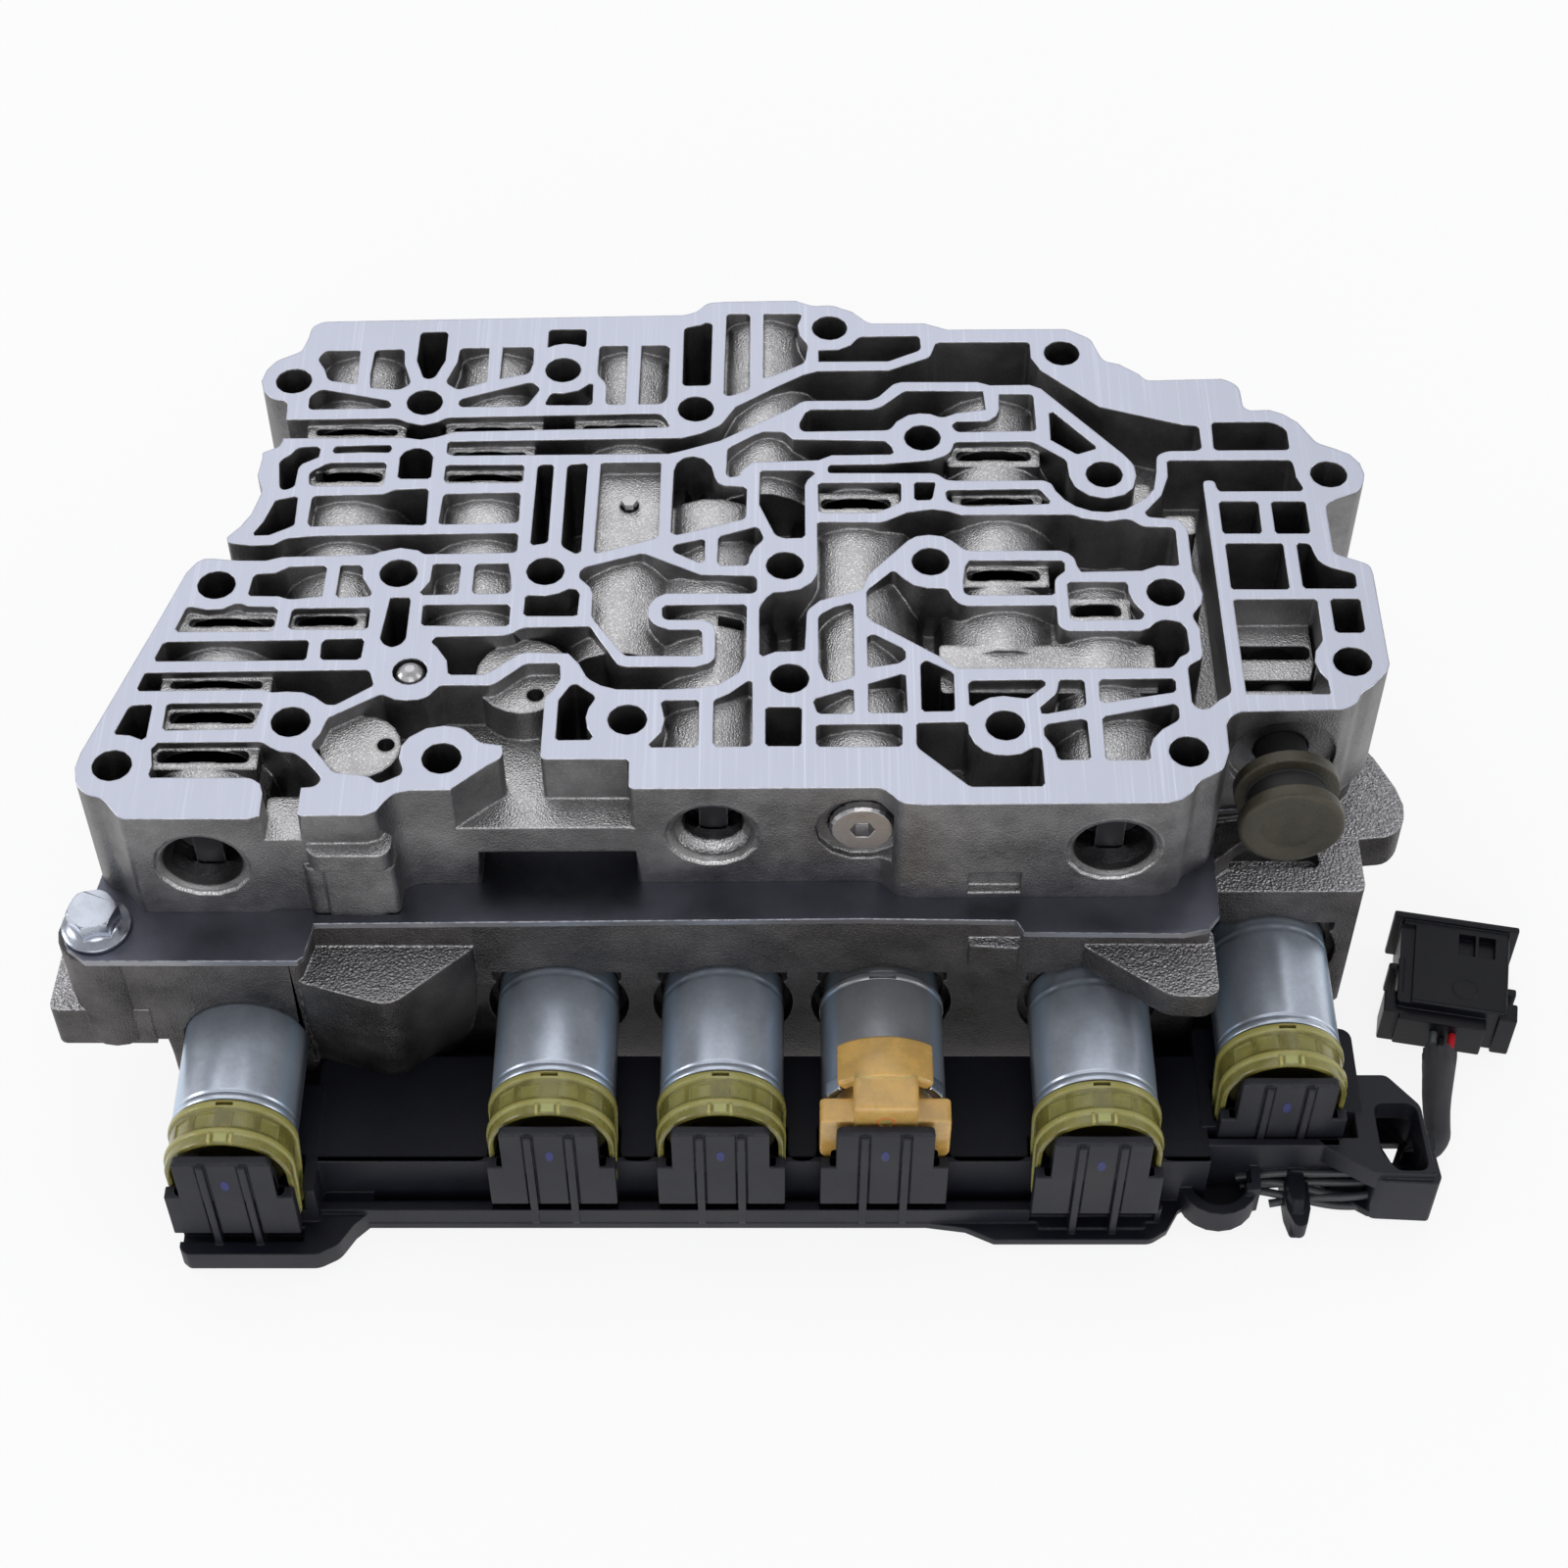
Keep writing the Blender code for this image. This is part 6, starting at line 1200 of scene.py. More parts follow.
# plan points in millimetres, each with its corner radius
arm = {
    "cut": [(104.1, -5.0, 0), (104.1, -24.0, 0), (96.0, -24.0, 0), (96.0, -29.0, 0), (104.0, -45.0, 0),
            (125.0, -45.0, 0), (125.0, -5.0, 0)],
    "gland": [(112.0, -27.4, 0.4), (118.2, -27.4, 0.8), (118.6, -24.4, 0.8), (115.0, -22.6, 0.4)],
    "plate": [(95.0, -29.4, 0), (96.6, -31.2, 0.6), (105.2, -36.6, 0.8), (115.6, -37.0, 0.5),
              (114.8, -22.4, 1.0), (109.4, -15.8, 1.0), (99.0, -15.8, 0), (99.0, -29.4, 0)],
    "window": [(106.3, -21.9, 2.0), (113.9, -21.9, 2.4), (114.5, -36.0, 2.0), (109.0, -36.0, 1.2),
               (106.5, -32.0, 1.2)],
    "block": [(105.3, -31.0, 0), (105.3, -37.3, 1.6), (116.2, -37.9, 0.5), (116.9, -36.4, 0.4),
              (116.4, -31.0, 0)],
    "base": [(96.0, -24.2, 0), (96.0, -30.8, 0), (105.4, -36.9, 0), (116.0, -37.0, 0), (115.4, -21.0, 0),
             (110.0, -14.8, 0), (104.0, -13.0, 0), (103.6, -24.2, 0)],
    "opening": [(109.2, -22.6, 0.3), (112.9, -22.6, 0.3), (111.0, -27.0, 0.5)],
    "slots": [[(97.0, -21.3, 0.2), (102.4, -21.3, 0.2), (102.4, -17.3, 0.2), (97.0, -17.3, 0.2)],
              [(97.0, -29.2, 0.2), (102.6, -29.2, 0.2), (102.6, -22.8, 0.2), (97.0, -22.8, 0.2)]],
    "skirt": [(104.0, -15.9, 0), (109.4, -15.9, 0), (114.7, -22.4, 0), (115.4, -32.0, 0), (114.4, -32.0, 0),
              (113.9, -22.9, 0), (109.0, -17.1, 0), (104.0, -17.1, 0)],
    "wall": [(68.0, -29.4, 0), (68.0, -31.0, 0.4), (99.4, -31.0, 0), (99.4, -29.4, 0)],
    "loopFloor": [(71.4, -33.0, 0), (73.0, -38.6, 3.0), (78.4, -40.0, 3.0), (83.8, -38.6, 3.0),
                  (85.4, -33.0, 0), (85.4, -27.0, 0), (71.4, -27.0, 0)],
    "post": [(84.0, -30.6, 0), (84.0, -34.6, 0), (83.0, -34.6, 0), (83.0, -36.4, 0.3), (85.6, -36.0, 0.3),
             (85.8, -30.6, 0)],
    "fin": [(90.0, -28.0, 0), (90.2, -38.0, 0.5), (91.0, -41.4, 0.6), (93.4, -41.4, 0.6), (94.2, -38.0, 0.5),
            (94.4, -28.0, 0)],
    "finRoot": (92.2 * mm, -28.0 * mm),
    "finStations": [(1.1 * mm, 1.0), (2.0 * mm, 1.0), (8.0 * mm, 0.72)],
    "decks": [[(-104.0, 0.0, 0), (-104.0, -19.0, 0), (-84.0, -19.0, 0), (-84.0, -12.0, 0), (-50.0, -12.0, 0),
               (-50.0, 12.0, 0), (-88.0, 12.0, 0), (-88.0, 0.0, 0)],
              [(60.0, 10.0, 0), (60.0, -8.0, 0), (104.0, -8.0, 0), (104.0, 10.0, 0)]],
    "deckReach": (1.3 * mm, 5.8 * mm),
}
# the loose wires in front of the last panel
cableBundle = [
    [(107.0, -33.4, 3.0), (101.0, -34.2, 3.2), (95.0, -33.2, 4.2), (89.0, -32.0, 5.6), (84.0, -31.4, 4.0)],
    [(107.0, -32.0, 5.2), (101.0, -32.6, 5.4), (95.5, -32.0, 5.6), (89.0, -31.8, 4.0), (83.0, -31.6, 2.8)],
    [(107.0, -34.8, 2.0), (102.0, -35.6, 2.0), (96.5, -34.8, 2.2), (90.0, -33.6, 3.4), (85.0, -32.4, 3.0)],
    [(107.0, -31.6, 7.4), (101.0, -31.8, 7.6), (95.0, -31.6, 7.2), (88.0, -31.4, 7.4), (82.0, -31.2, 5.2)],
    [(107.0, -34.2, 4.8), (101.5, -35.0, 4.2), (96.0, -34.0, 3.6), (92.0, -34.2, 2.4), (88.0, -34.6, 1.8)],
]


def panelFront(name):
    x, face = solenoid["places"][name]
    return x, face - solenoid["length"] - carrier["capFrontGap"] - carrier["panelThickness"]


def panelCuts(name):
    # dark slots at the foot of the three strips, and the sides above the wings
    x, near = panelFront(name)
    inner = carrier["ribMiddle"] - carrier["ribHalf"]
    outer = carrier["ribMiddle"] + carrier["ribHalf"]
    half = carrier["wingHalf"]
    parts = []
    for left, right in ((-half, -outer), (-inner, inner), (outer, half)):
        parts.append(block("slot", (x + left, near - 0.4 * mm, carrier["slotLow"]),
                           (x + right, near + carrier["slotDepth"], carrier["slotTop"] - 0.4 * mm)))
    top, low = carrier["panelTop"], carrier["wingTop"]
    edge, curve = carrier["upperHalf"], carrier["panelCurve"]
    far = carrier["panelHalf"] + 0.2 * mm
    for side in (-1, 1):
        outline = [(side * edge, low), (side * far, low), (side * far, top + mm),
                   (side * (edge - curve), top + mm), (side * (edge - curve), top)]
        outline += [(side * (edge - curve * (1 - math.sin(a))), top - curve * (1 - math.cos(a)))
                    for a in [math.pi / 12 * i for i in range(1, 7)]]
        outline = [(x + a, b) for a, b in outline]
        parts.append(slab("side", outline, "Y", near - 1.2 * mm, near + carrier["panelThickness"] + 0.1 * mm))
    return parts


def panelStrips(name):
    # the raised crest, the three flat strips between the ribs, the ribs and the wings beside them
    x, near = panelFront(name)
    inner = carrier["ribMiddle"] - carrier["ribHalf"]
    outer = carrier["ribMiddle"] + carrier["ribHalf"]
    edge = carrier["upperHalf"]
    gap = carrier["ribGap"]
    top = carrier["crest"]
    face = near - carrier["stripThickness"]
    left, right = (x - edge) / mm, (x + edge) / mm
    foot, corner = carrier["crestFoot"] / mm, carrier["crestCorner"]
    sides = [(left, foot, 0), (right, foot, 0), (right, top / mm, corner), (left, top / mm, corner)]
    parts = [slab("crest", roundedOutline(sides), "Y", near - 0.2 * mm, near + carrier["crestThickness"])]
    for left, right in ((-edge, -outer - gap), (-inner + gap, inner - gap), (outer + gap, edge)):
        parts.append(block("strip", (x + left, face, carrier["slotTop"]),
                           (x + right, near + 0.2 * mm, top - 0.5 * mm)))
    for side in (-1, 1):
        low, high = sorted((x + side * inner, x + side * outer))
        parts.append(block("rib", (low, near - carrier["ribProud"], carrier["slotLow"]),
                           (high, near, top - 0.9 * mm)))
        low, high = sorted((x + side * (edge - 0.2 * mm), x + side * carrier["wingHalf"]))
        parts.append(block("wing", (low, face, carrier["slotTop"]),
                           (high, near + 2 * mm, carrier["wingTop"])))
    for part in parts:
        bevelled(part, carrier["stripRim"], 2, 40)
        coat(part, "litBlackPlastic")
    return parts


def railWalls():
    # the rail's front between the panels
    places = sorted(solenoid["places"].values())
    reach = carrier["wingHalf"] - carrier["railLap"]
    first, last = carrier["railEnds"]
    ends = [first] + [x + side * reach for x, face in places[1:5] for side in (-1, 1)] + [last]
    near = carrier["railFront"]
    low, high = carrier["railHeight"]
    walls = []
    for left, right in zip(ends[::2], ends[1::2]):
        walls.append(block("rail", (left, near, low), (right, near + carrier["railThickness"], high)))
        coat(walls[-1], "litBlackPlastic")
    return walls


def panelMark(name):
    # small dab of blue paint near the top of the middle strip
    x, near = panelFront(name)
    near -= carrier["stripThickness"]
    wide, tall = carrier["markRadii"]
    dab = [(x + wide * math.cos(a), carrier["markHeight"] + tall * math.sin(a))
           for a in [math.pi * i / 10 for i in range(20)]]
    mark = slab("mark", dab, "Y", near - 0.03 * mm, near + 0.2 * mm)
    coat(mark, "blueMark")
    return mark


def armSlab(key, low, high, rim=0.3 * mm):
    return planSlab(key, arm[key], low, high, rim, "litBlackPlastic")


def makeArm():
    # the frame at the right end: a windowed plate over a block, the wall before the last panel
    top, under = carrier["armTop"], carrier["armUnder"]
    plateau = planSlab("plateau", arm["plate"], under, top)
    for outline in [arm["window"]] + arm["slots"]:
        cutBy(plateau, planSlab("slot", outline, under - mm, top + mm))
    bevelled(plateau, 0.3 * mm, 2, 40)
    coat(plateau, "litBlackPlastic")
    floor = planSlab("base", arm["base"], 1.2 * mm, 3.0 * mm)
    cutBy(floor, planSlab("opening", arm["opening"], 0.5 * mm, 4 * mm))
    coat(floor, "shadedBlackPlastic")
    end = armSlab("block", 1.0 * mm, 13.8 * mm)
    cutBy(end, planSlab("window", arm["window"], 2.8 * mm, top + mm))
    pieces = [
        plateau,
        floor,
        end,
        armSlab("gland", 1.6 * mm, 7.8 * mm),
        armSlab("wall", 2.6 * mm, top, 0.2 * mm),
        armSlab("skirt", 1.2 * mm, under + 0.4 * mm, 0),
        armSlab("loopFloor", 1.15 * mm, 1.6 * mm, 0),
        armSlab("post", 1.6 * mm, 9.0 * mm, 0.2 * mm),
    ]
    for outline in arm["decks"]:
        pieces.append(planSlab("deck", outline, *arm["deckReach"], finish="shadedBlackPlastic"))
    fin = tapered("fin", arm["fin"], arm["finRoot"], arm["finStations"])
    bevelled(fin, 0.25 * mm, 2, 40)
    coat(fin, "shadedBlackPlastic")
    pieces.append(fin)
    for route in cableBundle:
        pieces.append(makeWire("darkInsulation", route))
    return pieces


def makeCarrier():
    piece = roundedCopy("connector_carrier", "connectorCarrier", carrier)
    cutters = [part for name in solenoid["places"] for part in panelCuts(name)]
    cutBy(piece, joined(cutters, "cuts"))
    cutBy(piece, planSlab("armCut", arm["cut"], 0.0, carrier["armCutTop"]))
    # painted shade and light: the darker copy of the black plastic everywhere, the lighter copy on faces
    # turned to the front
    coat(piece, "shadedBlackPlastic")
    repaint(piece, "litBlackPlastic", lambda face: face.normal.z < 0.5 and face.center.y < carrier["panelSide"])
    added = makeArm() + railWalls()
    for name in solenoid["places"]:
        added += panelStrips(name) + [panelMark(name)]
    piece = joined([piece] + added, "connectorCarrier")
    smooth(piece, 30)
    settle(piece, "valve_unit", ["connector_carrier"])


# lower casting

lowerCasting = {
    "cornerRadii": [1.6 * mm, 0.8 * mm],
    "shortestCorner": 1.5 * mm,
    "seatHalf": 11.6 * mm,
    "seatTop": 31.9 * mm,
    "seatRadius": 12.7 * mm,
    "seatReach": (-2.6 * mm, 2.4 * mm),
    "lugCut": [(-83.95, -12.9, 0), (-82.2, -5.02, 0), (-53.0, -5.02, 0), (-53.0, -19.0, 0),
               (-83.95, -19.0, 0)],
    "lugCutReach": (15 * mm, 41 * mm),
    "paintedLightReach": (30 * mm, 44 * mm),
    "lug": [(-84.6, -12.9, 0.9), (-84.6, -3.6, 0), (-54.4, -3.6, 0), (-54.4, -5.6, 0.8), (-68.2, -18.1, 3.0)],
    "lugRoot": (-76.0 * mm, -3.6 * mm),
    "lugStations": [(40.0 * mm, 1.0), (38.6 * mm, 1.0), (30 * mm, 1.0), (22 * mm, 0.97), (15 * mm, 0.9),
                    (10 * mm, 0.8), (6.4 * mm, 0.66)],
}
# the plate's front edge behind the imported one, and the pad below its step
plate = {
    "frontCut": [(-81.3, -6.9, 0), (14.0, -5.8, 0), (41.0, -6.2, 0.6), (42.2, -8.8, 0), (42.2, -14.0, 0),
                 (-81.3, -14.0, 0)],
    "height": (46.5 * mm, 50.5 * mm),
    "pad": [(33.0, -4.0, 0), (33.0, -7.0, 0.6), (42.0, -7.6, 0.9), (42.0, -4.0, 0)],
    "padReach": (36.5 * mm, 42.6 * mm),
}


def seatCutter(name):
    # squarish dark opening round the can, wider at the can's sides
    x, face = solenoid["places"][name]
    half = lowerCasting["seatHalf"]
    top = lowerCasting["seatTop"]
    centre = (x, solenoid["axisHeight"])
    outline = [(x - half, top), (x + half, top), (x + half, top - 2.4 * mm)]
    outline += arc(centre, lowerCasting["seatRadius"], 30, -210, 24)
    outline += [(x - half, top - 2.4 * mm)]
    near, far = lowerCasting["seatReach"]
    return slab("seat", outline[::-1], "Y", face + near, face + far)


def makeLug():
    # the left lug grows out of the wall: full width at its top, narrow and shallow at its foot
    lug = tapered("lug", lowerCasting["lug"], lowerCasting["lugRoot"], lowerCasting["lugStations"])
    coat(lug, "lowerCast")
    # painted light: the lug's top faces take the lighter copy of the cast finish
    repaint(lug, "lugCast", facesUp)
    return lug


def makeLowerCasting():
    piece = roundedCopy("lower_casting", "lowerCasting", lowerCasting)
    cutBy(piece, planSlab("lugCut", lowerCasting["lugCut"], *lowerCasting["lugCutReach"]))
    for name in solenoid["places"]:
        cutBy(piece, seatCutter(name))
    coat(piece, "lowerCast")
    # painted light: faces turned up between these heights take the lighter copy of the cast finish
    low, high = lowerCasting["paintedLightReach"]
    repaint(piece, "lugCast", lambda face: face.normal.z > 0.5 and low < face.center.z < high)
    pad = planSlab("pad", plate["pad"], *plate["padReach"], finish="lowerCast")
    # painted light on the pad's top as well
    repaint(pad, "lugCast", facesUp)
    piece = joined([piece, makeLug(), pad], "lowerCasting")
    smooth(piece, 35)
    settle(piece, "valve_unit", ["lower_casting"])


def makePlate():
    piece = copyOfNode("separator_plate", "separatorPlate")
    cutBy(piece, planSlab("frontCut", plate["frontCut"], *plate["height"]))
    bevelled(piece, 0.12 * mm, 1, 40)
    coat(piece, "plateSteel")
    smooth(piece, 30)
    settle(piece, "valve_unit", ["separator_plate"])


# flange bolt at the plate's corner

bolt = {
    "centre": (-118.9 * mm, -7.6 * mm, 49.0 * mm),
    "flangeRadius": 6.0 * mm,
    "hexRadius": 4.6 * mm,
    "hexTop": 5.4 * mm,
    "turn": 12,
}


def makeBolt():
    centre = bolt["centre"]
    wide = bolt["flangeRadius"]
    tall = bolt["hexTop"]
    flange = turned("flange", centre, "Z", [
        (0.0, wide - 0.3 * mm), (0.25 * mm, wide), (0.8 * mm, wide), (1.05 * mm, wide - 0.25 * mm),
        (1.15 * mm, wide - 0.7 * mm), (1.5 * mm, 4.6 * mm), (1.9 * mm, 4.1 * mm), (2.4 * mm, 3.9 * mm)], 64)
    corners = arc(centre, bolt["hexRadius"], bolt["turn"], bolt["turn"] + 300, 5)
    head = slab("head", corners, "Z", centre[2] + 0.6 * mm, centre[2] + tall)
    cone = turned("cone", centre, "Z", [(0.0, 4.7 * mm), (tall - 0.35 * mm, 4.62 * mm), (tall, 4.1 * mm),
                                        (tall + mm, 3.0 * mm)], 64)
    cutBy(head, cone, "INTERSECT")
    dish = turned("dish", centre, "Z", [(tall - 0.25 * mm, 2.2 * mm), (tall + 0.05 * mm, 2.7 * mm),
                                        (tall + mm, 2.9 * mm)], 48)
    cutBy(head, dish)
    bevelled(head, 0.06 * mm, 1, 40)
    shank = turned("shank", centre, "Z",
                   [(-12.0 * mm, 2.2 * mm), (-11.4 * mm, 2.8 * mm), (0.4 * mm, 2.8 * mm)], 32)
    piece = joined([flange, head, shank], "cornerFlangeBolt")
    coat(piece, "boltSteel")
    smooth(piece, 38)
    settle(piece, "valve_unit", ["corner_flange_bolt"])


# sealing piston, front right

piston = {
    "centre": (88.2 * mm, 0.0, 62.5 * mm),
    "radius": 9.2 * mm,
    "groove": 7.0 * mm,
    "stem": 4.6 * mm,
    "shadeFrom": 6.3 * mm,
}


def makePiston():
    wide, narrow, stem = piston["radius"], piston["groove"], piston["stem"]
    piece = turned("sealingPiston", piston["centre"], "Y", [
        (3.95 * mm, 5.0 * mm), (3.6 * mm, 5.6 * mm), (3.35 * mm, wide - 1.3 * mm),
        (3.32 * mm, wide - 0.7 * mm), (3.5 * mm, wide - 0.25 * mm), (3.85 * mm, wide),
        (5.8 * mm, wide), (6.05 * mm, wide - 0.1 * mm),
        (6.2 * mm, wide - 0.35 * mm), (6.35 * mm, narrow + 0.4 * mm), (6.7 * mm, narrow), (10.7 * mm, narrow),
        (11.05 * mm, narrow + 0.4 * mm), (11.15 * mm, wide - 0.3 * mm), (11.4 * mm, wide), (13.5 * mm, wide),
        (13.75 * mm, wide - 0.3 * mm), (13.85 * mm, stem + 0.3 * mm), (14.2 * mm, stem), (37.3 * mm, stem),
        (37.7 * mm, stem - 0.4 * mm)], 96)
    x, _, z = piston["centre"]
    # the coating with painted shade, and the stem and groove near black as painted shade
    coat(piece, "pistonCoatAndShade")
    repaint(piece, "boreShade", lambda face: face.center.y > piston["shadeFrom"]
            and math.hypot(face.center.x - x, face.center.z - z) < narrow + 0.3 * mm)
    smooth(piece, 40)
    settle(piece, "piston", ["sealing_piston"])


# plug on its lead

plug = {
    "centre": (126.2 * mm, 10.4 * mm),
    "turn": -10.5,
    "width": 23.4 * mm,
    "length": 24.0 * mm,
    "height": 12.0 * mm,
    "flange": 1.6 * mm,
    "wall": 1.8 * mm,
    "cavity": 14.0 * mm,
}


def placePlug(piece):
    piece.matrix_world = (Matrix.Translation((plug["centre"][0], plug["centre"][1], 0))
                          @ Matrix.Rotation(math.radians(plug["turn"]), 4, "Z"))
    applyPlace(piece)


def makePlug():
    half, end, tall = plug["width"] / 2, plug["length"] / 2, plug["height"]
    side = half - plug["flange"]
    shell = roundedBlock("shell", (-side, -end + 3 * mm, 0.2 * mm), (side, end - 0.2 * mm, tall), 0.6 * mm, 3)
    inside = side - plug["wall"]
    cutBy(shell, block("cavity", (-inside, end - plug["cavity"], plug["wall"]),
                       (inside, end + mm, tall - plug["wall"])))
    for left, right in ((0.6 * mm, 3.7 * mm), (4.3 * mm, 7.4 * mm)):
        cutBy(shell, block("cell", (left, end - 8.8 * mm, tall - 1.7 * mm),
                           (right, end - 3.8 * mm, tall + mm)))
    cutBy(shell, block("step", (-side - mm, -end + 2 * mm, tall - 0.7 * mm),
                       (-side + 2.6 * mm, end - 3.2 * mm, tall + mm)))
    parts = [shell]
    # the collar, two side ribs, two grips, the lead's gland and the lever
    for low, high, near, far, bottom, top in (
        (-half, half, end - 2.2 * mm, end - 0.9 * mm, 0.2 * mm, tall + 0.8 * mm),
        (-half - 0.2 * mm, -side + mm, -1.3 * mm, 0.1 * mm, 3 * mm, tall - 1.2 * mm),
        (side - mm, half + 0.1 * mm, -3.6 * mm, -2.0 * mm, 3 * mm, tall - 1.2 * mm),
        (-half - 0.6 * mm, -side + 1.6 * mm, -end + 1.6 * mm, -end + 6.6 * mm, 0.4 * mm, tall - 2.2 * mm),
        (side - 1.4 * mm, half + 0.4 * mm, -end + 2.2 * mm, -end + 6.2 * mm, 0.4 * mm, tall - 0.8 * mm),
        (-side + 0.6 * mm, side - 3.4 * mm, -end + 0.4 * mm, -end + 5 * mm, 1.4 * mm, tall - 2.4 * mm),
        (-side - 0.2 * mm, -side + 1.0 * mm, -end + 5 * mm, -end + 13 * mm, tall - 3 * mm, tall - 0.4 * mm),
    ):
        rim = 0.35 * mm if len(parts) < 7 else 0.3 * mm
        parts.append(roundedBlock("part", (low, near, bottom), (high, far, top), rim))
    ring = turned("dimple", (2.2 * mm, -4.6 * mm, 0), "Z",
                  [(tall - 0.3 * mm, 2.4 * mm), (tall + 0.1 * mm, 2.4 * mm), (tall + 0.1 * mm, 2.1 * mm),
                   (tall - 0.05 * mm, 2.0 * mm)], 32)
    parts.append(ring)
    piece = joined(parts, "plugHousing")
    placePlug(piece)
    coat(piece, "plugPlastic")
    smooth(piece, 35)
    settle(piece, "valve_unit", ["plug_housing"])

    keeper = block("keeper", (-inside + 0.3 * mm, end - plug["cavity"] + 0.3 * mm, plug["wall"] + 0.3 * mm),
                   (inside - 0.3 * mm, end - plug["cavity"] + 7 * mm, tall - plug["wall"] - 0.3 * mm))
    for i in range(-2, 3):
        for level in (3.4 * mm, 6.9 * mm):
            middle = i * 2.9 * mm
            cutBy(keeper, block("way", (middle - 0.7 * mm, end - plug["cavity"] + 4 * mm, level),
                                (middle + 0.7 * mm, end, level + 1.6 * mm)))
    bevelled(keeper, 0.2 * mm, 2)
    keeper.name = "plugKeeper"
    placePlug(keeper)
    coat(keeper, "greyPlastic")
    smooth(keeper, 35)
    settle(keeper, "valve_unit", ["plug_lock"])
    return piece, keeper


# braided lead between the carrier's arm and the plug

lead = {
    "exit": (114.0 * mm, -27.0 * mm, 5.2 * mm),
    "length": 0.0308,
    "diameter": 0.0048,
    "sleeveEnd": 0.8,
    "sleeveSides": 40,
    "sleeveRings": 60,
    "sleeveRadius": 1.75 * mm,
    "sleeveFlare": 1.45 * mm,
    "sleeveWall": 0.35 * mm,
    "frayFrom": 0.93,
    "frayPull": 1.6 * mm,
    "route": [
        (114.0, -27.0, 5.2), (115.6, -26.6, 5.2), (117.0, -25.8, 5.2), (118.3, -24.7, 5.2),
        (119.2, -23.4, 5.25), (119.75, -22.1, 5.4), (119.8, -20.6, 5.6), (119.9, -19.0, 5.75),
        (120.0, -17.4, 5.9), (120.2, -15.8, 6.0), (120.4, -14.2, 6.1), (120.65, -12.8, 6.15),
        (120.9, -11.4, 6.1), (121.2, -10.0, 6.1), (121.5, -8.4, 6.2), (121.9, -6.6, 6.2),
        (122.3, -4.8, 6.1), (122.8, -3.0, 6.0), (123.2, -1.4, 5.9), (123.6, 0.3, 5.9),
    ],
    "wires": {
        "redInsulation": [(120.9, -13.4, 6.4), (121.8, -10.6, 7.0), (122.7, -8.0, 7.9), (123.9, -5.0, 7.6),
                          (124.8, -1.9, 6.6), (125.3, 0.3, 6.3)],
        "greyInsulation": [(120.0, -13.4, 6.3), (119.9, -10.4, 6.6), (119.9, -8.0, 7.0), (120.6, -4.8, 6.8),
                           (121.4, -1.3, 6.4), (121.8, 0.3, 6.3)],
        "darkInsulation": [(120.7, -13.4, 5.5), (121.2, -10.6, 4.9), (121.7, -8.0, 4.8), (122.5, -5.0, 4.6),
                           (123.2, -1.6, 4.4), (123.5, 0.3, 4.5)],
    },
    "wireRadius": 0.75 * mm,
}


def leadPoint(share):
    points = [Vector(p) * mm for p in lead["route"]]
    steps = [(b - a).length for a, b in zip(points, points[1:])]
    left = share * sum(steps)
    for a, b, step in zip(points, points[1:], steps):
        if left <= step:
            return a.lerp(b, left / step), (b - a).normalized()
        left -= step
    return points[-1], (points[-1] - points[-2]).normalized()


def makeSleeve():
    # rings along the route, flaring and frayed where the wires come out
    rng = random.Random(11)
    sides, rings, frayFrom = lead["sleeveSides"], lead["sleeveRings"], lead["frayFrom"]
    fray = [rng.uniform(0.0, 1.0) for _ in range(sides)]
    mesh = bmesh.new()
    layer = mesh.loops.layers.uv.new("length")
    rows = []
    for i in range(rings + 1):
        share = i / rings
        middle, ahead = leadPoint(share * lead["sleeveEnd"])
        across = ahead.cross(Vector((0, 0, 1))).normalized()
        up = across.cross(ahead).normalized()
        flare = lead["sleeveRadius"] + lead["sleeveFlare"] * share
        row = []
        for k in range(sides):
            turn = 2 * math.pi * k / sides
            size = flare * (1 + 0.025 * math.sin(5 * turn + 9 * share))
            pull = ahead * (lead["frayPull"] * fray[k] * max(0.0, share - frayFrom) / (1 - frayFrom))
            if share > frayFrom:
                size *= 1 + 0.12 * (fray[(k * 7) % sides] - 0.5)
            row.append(mesh.verts.new(middle + pull + across * size * math.cos(turn)
                                      + up * size * 0.88 * math.sin(turn)))
        rows.append(row)
    for i, (low, high) in enumerate(zip(rows, rows[1:])):
        for k in range(sides):
            face = mesh.faces.new((low[k], low[(k + 1) % sides], high[(k + 1) % sides], high[k]))
            for loop, (a, b) in zip(face.loops, ((k, i), (k + 1, i), (k + 1, i + 1), (k, i + 1))):
                loop[layer].uv = (6.0 * a / sides, 7.0 * b / rings)
    mesh.faces.new(rows[0])
    data = bpy.data.meshes.new("sleeve")
    mesh.to_mesh(data)
    mesh.free()
    piece = linked("sleeve", data)
    outward(piece)
    wall = piece.modifiers.new("wall", "SOLIDIFY")
    wall.thickness = lead["sleeveWall"]
    wall.offset = -1
    applyAll(piece)
    coat(piece, "sleeveFabric")
    return piece


def makeWire(name, points):
    data = bpy.data.curves.new(name, "CURVE")
    data.dimensions = "3D"
    data.bevel_depth = lead["wireRadius"]
    data.bevel_resolution = 5
    data.use_fill_caps = True
    spline = data.splines.new("NURBS")
    spline.points.add(len(points) - 1)
    for point, place in zip(spline.points, points):
        point.co = (*[c * mm for c in place], 1)
    spline.use_endpoint_u = True
    spline.order_u = 4
    spline.resolution_u = 8
    pick(linked(name, data))
    bpy.ops.object.convert(target="MESH")
    piece = bpy.context.object
    coat(piece, name)
    return piece


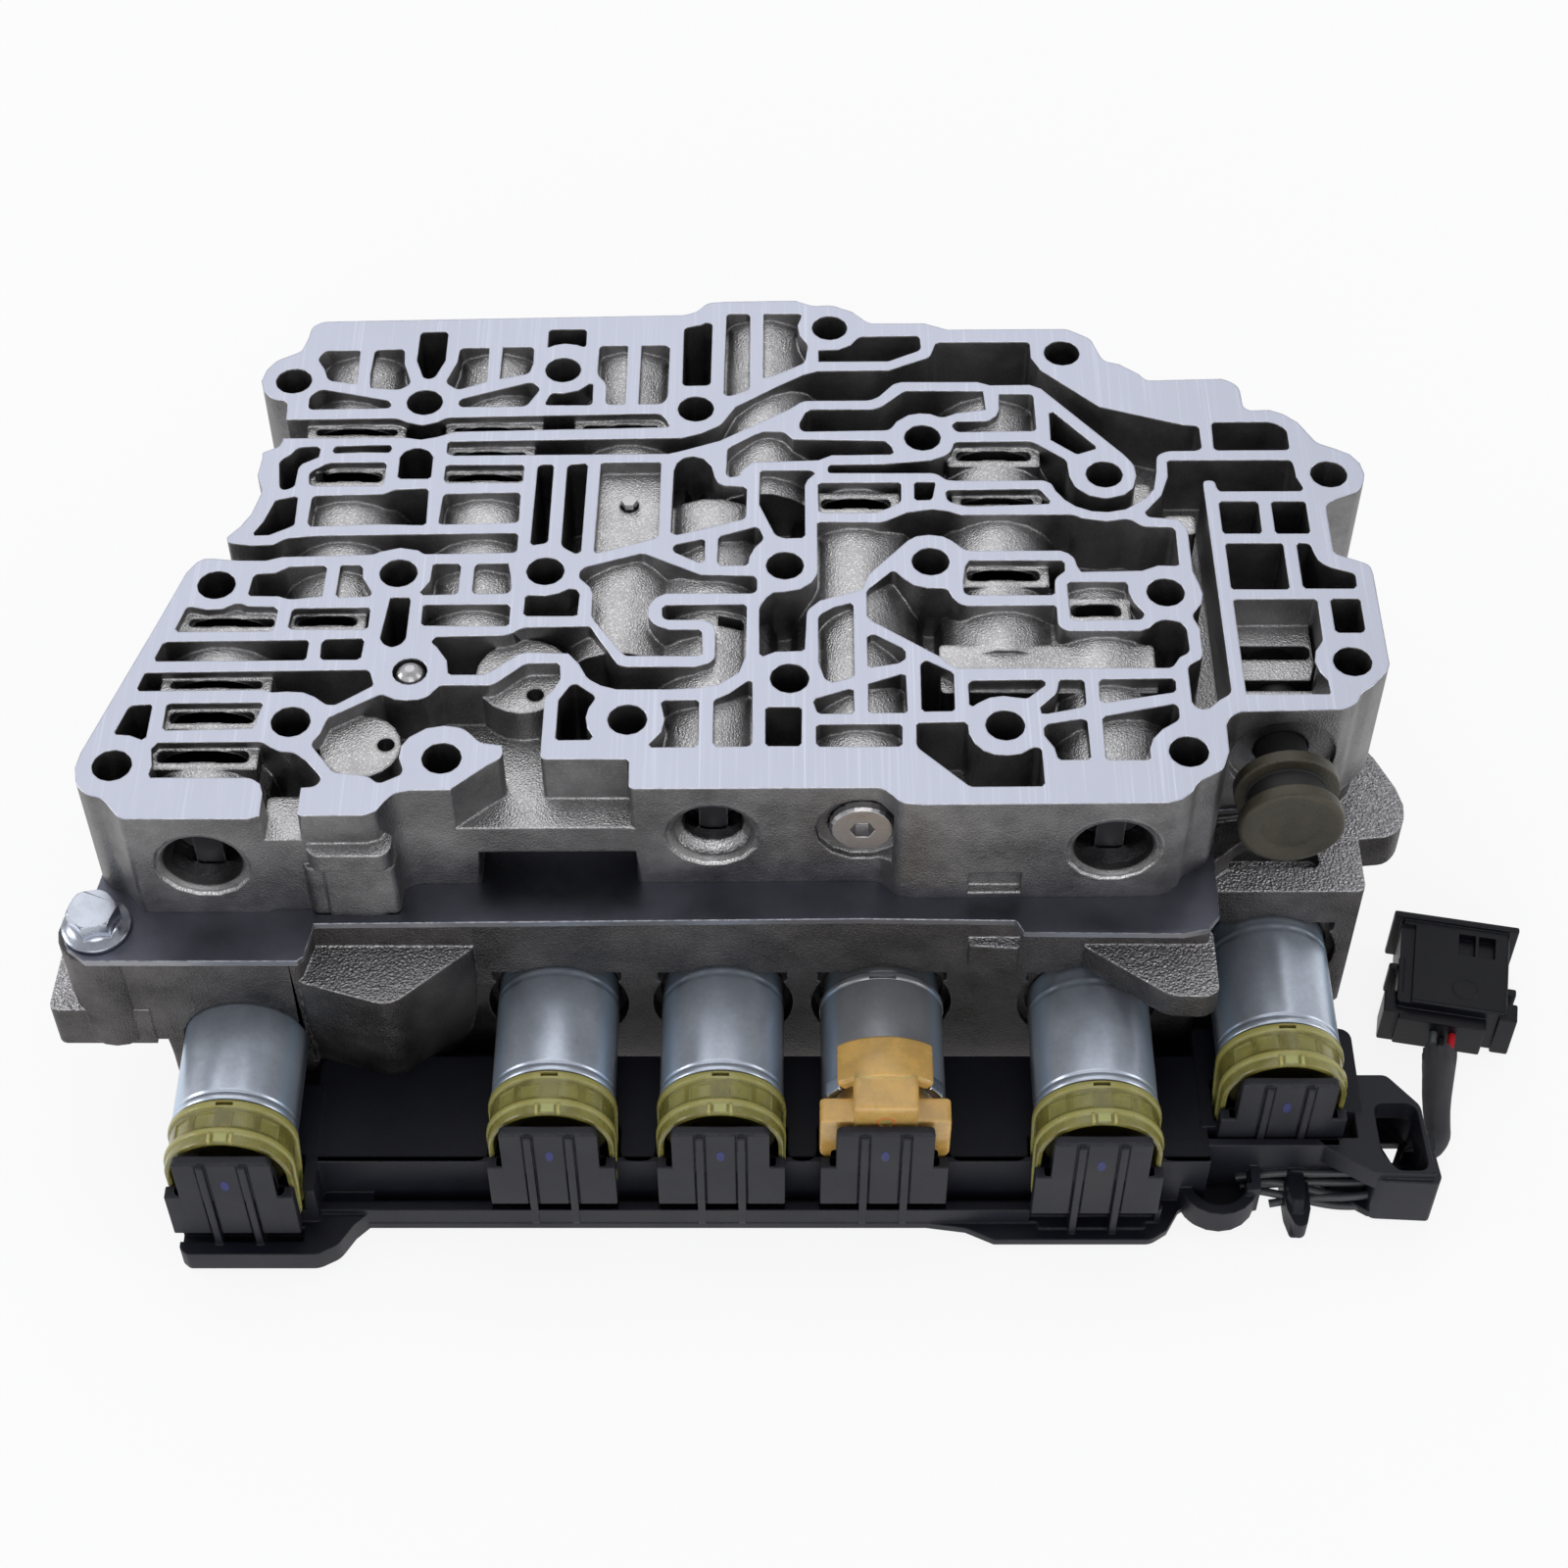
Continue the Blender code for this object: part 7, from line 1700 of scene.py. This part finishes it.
def makeLead(plugPieces):
    parts = [makeSleeve()] + [makeWire(name, points) for name, points in lead["wires"].items()]
    piece = joined(parts, "lead")
    smooth(piece, 50)
    settle(piece, "valve_unit", ["lead_sleeve", "lead_wire_red", "lead_wire_grey", "lead_wire_dark"])


# floor, lamps and world

studio = {
    "floorSize": 30.0,
    "floorLevel": -0.0002,
    "floorShadow": 0.13,
    "worldLevel": 0.5,
    "aim": (0, 0.03, 0.04),
    "sky": {"place": (-0.15, 0.75, 1.0), "size": 1.4, "watts": 5.3},
    "left": {"place": (-0.95, 0.1, 0.4), "size": 0.45, "watts": 2.2},
    "right": {"place": (0.95, -0.1, 0.4), "size": 0.45, "watts": 1.6},
    "front": {"place": (0.0, -1.1, 0.55), "size": 0.9, "watts": 5.0},
}


def addFloor():
    bpy.ops.mesh.primitive_plane_add(size=studio["floorSize"], location=(0, 0, studio["floorLevel"]))
    floor = bpy.context.object
    floor.name = "paleFloor"
    material, tree, shader = newMaterial("paleFloor")
    feed(shader, Base_Color=(0.86, 0.86, 0.88, 1), Roughness=0.9, Specular_IOR_Level=0.0)
    glow = node(tree, "Emission", Color=(1, 1, 1, 1))
    rays = node(tree, "LightPath")
    seen = mathNode(tree, "MAXIMUM", rays.outputs["Is Camera Ray"], rays.outputs["Is Glossy Ray"])
    seen = mathNode(tree, "MAXIMUM", seen, rays.outputs["Is Transmission Ray"])
    share = mathNode(tree, "MULTIPLY", seen, 1 - studio["floorShadow"])
    mixed = node(tree, "MixShader")
    for socket, given in zip(mixed.inputs, (share, shader.outputs[0], glow.outputs[0])):
        put(socket, given)
    feed(tree.nodes["Material Output"], Surface=mixed.outputs[0])
    floor.data.materials.append(material)


def addLamp(name):
    lamp = studio[name]
    data = bpy.data.lights.new(name + "Lamp", "AREA")
    data.size = lamp["size"]
    data.energy = lamp["watts"]
    obj = linked(name + "Lamp", data)
    obj.location = lamp["place"]
    aim = Vector(studio["aim"]) - obj.location
    obj.rotation_euler = aim.to_track_quat("-Z", "Y").to_euler()


def addWorld():
    world = bpy.data.worlds.new("studioWorld")
    bpy.context.scene.world = world
    world.use_nodes = True
    tree = world.node_tree
    rays = node(tree, "LightPath")
    plain = mathNode(tree, "MULTIPLY", rays.outputs["Is Camera Ray"], 1 - studio["worldLevel"])
    feed(tree.nodes["Background"], Strength=mathNode(tree, "ADD", plain, studio["worldLevel"]),
         Color=(0.96, 0.97, 1.0, 1))


def main():
    addCamera()
    scene = bpy.context.scene
    scene.view_settings.view_transform = "Standard"
    makeLead(makePlug())
    print("plug and lead made")
    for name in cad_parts:
        mesh = bpy.data.objects[name].data
        slotName = mesh.materials[0].name if mesh.materials else ""
        key = next((s for s in slotFinish if s in slotName), None)
        finish = finishes[slotFinish[key]] if key else finishes["machined"]
        # painted shade: the keys and plugs inside the bores take a near-black metal
        if name.endswith(("_key", "left_plug", "middle_plug", "right_plug")):
            finish = finishes["shadedBoreMetal"]
        paint(name, finish)
    makeUpperCasting()
    print("upper casting made")
    makeLowerCasting()
    makePlate()
    print("lower casting and plate made")
    makeCarrier()
    print("carrier made")
    makeCans()
    makeHoods()
    makeAmberHood()
    print("solenoids made")
    makeBolt()
    makePiston()
    print("bolt and piston made")
    addFloor()
    for name in ("sky", "left", "right", "front"):
        addLamp(name)
    addWorld()


main()
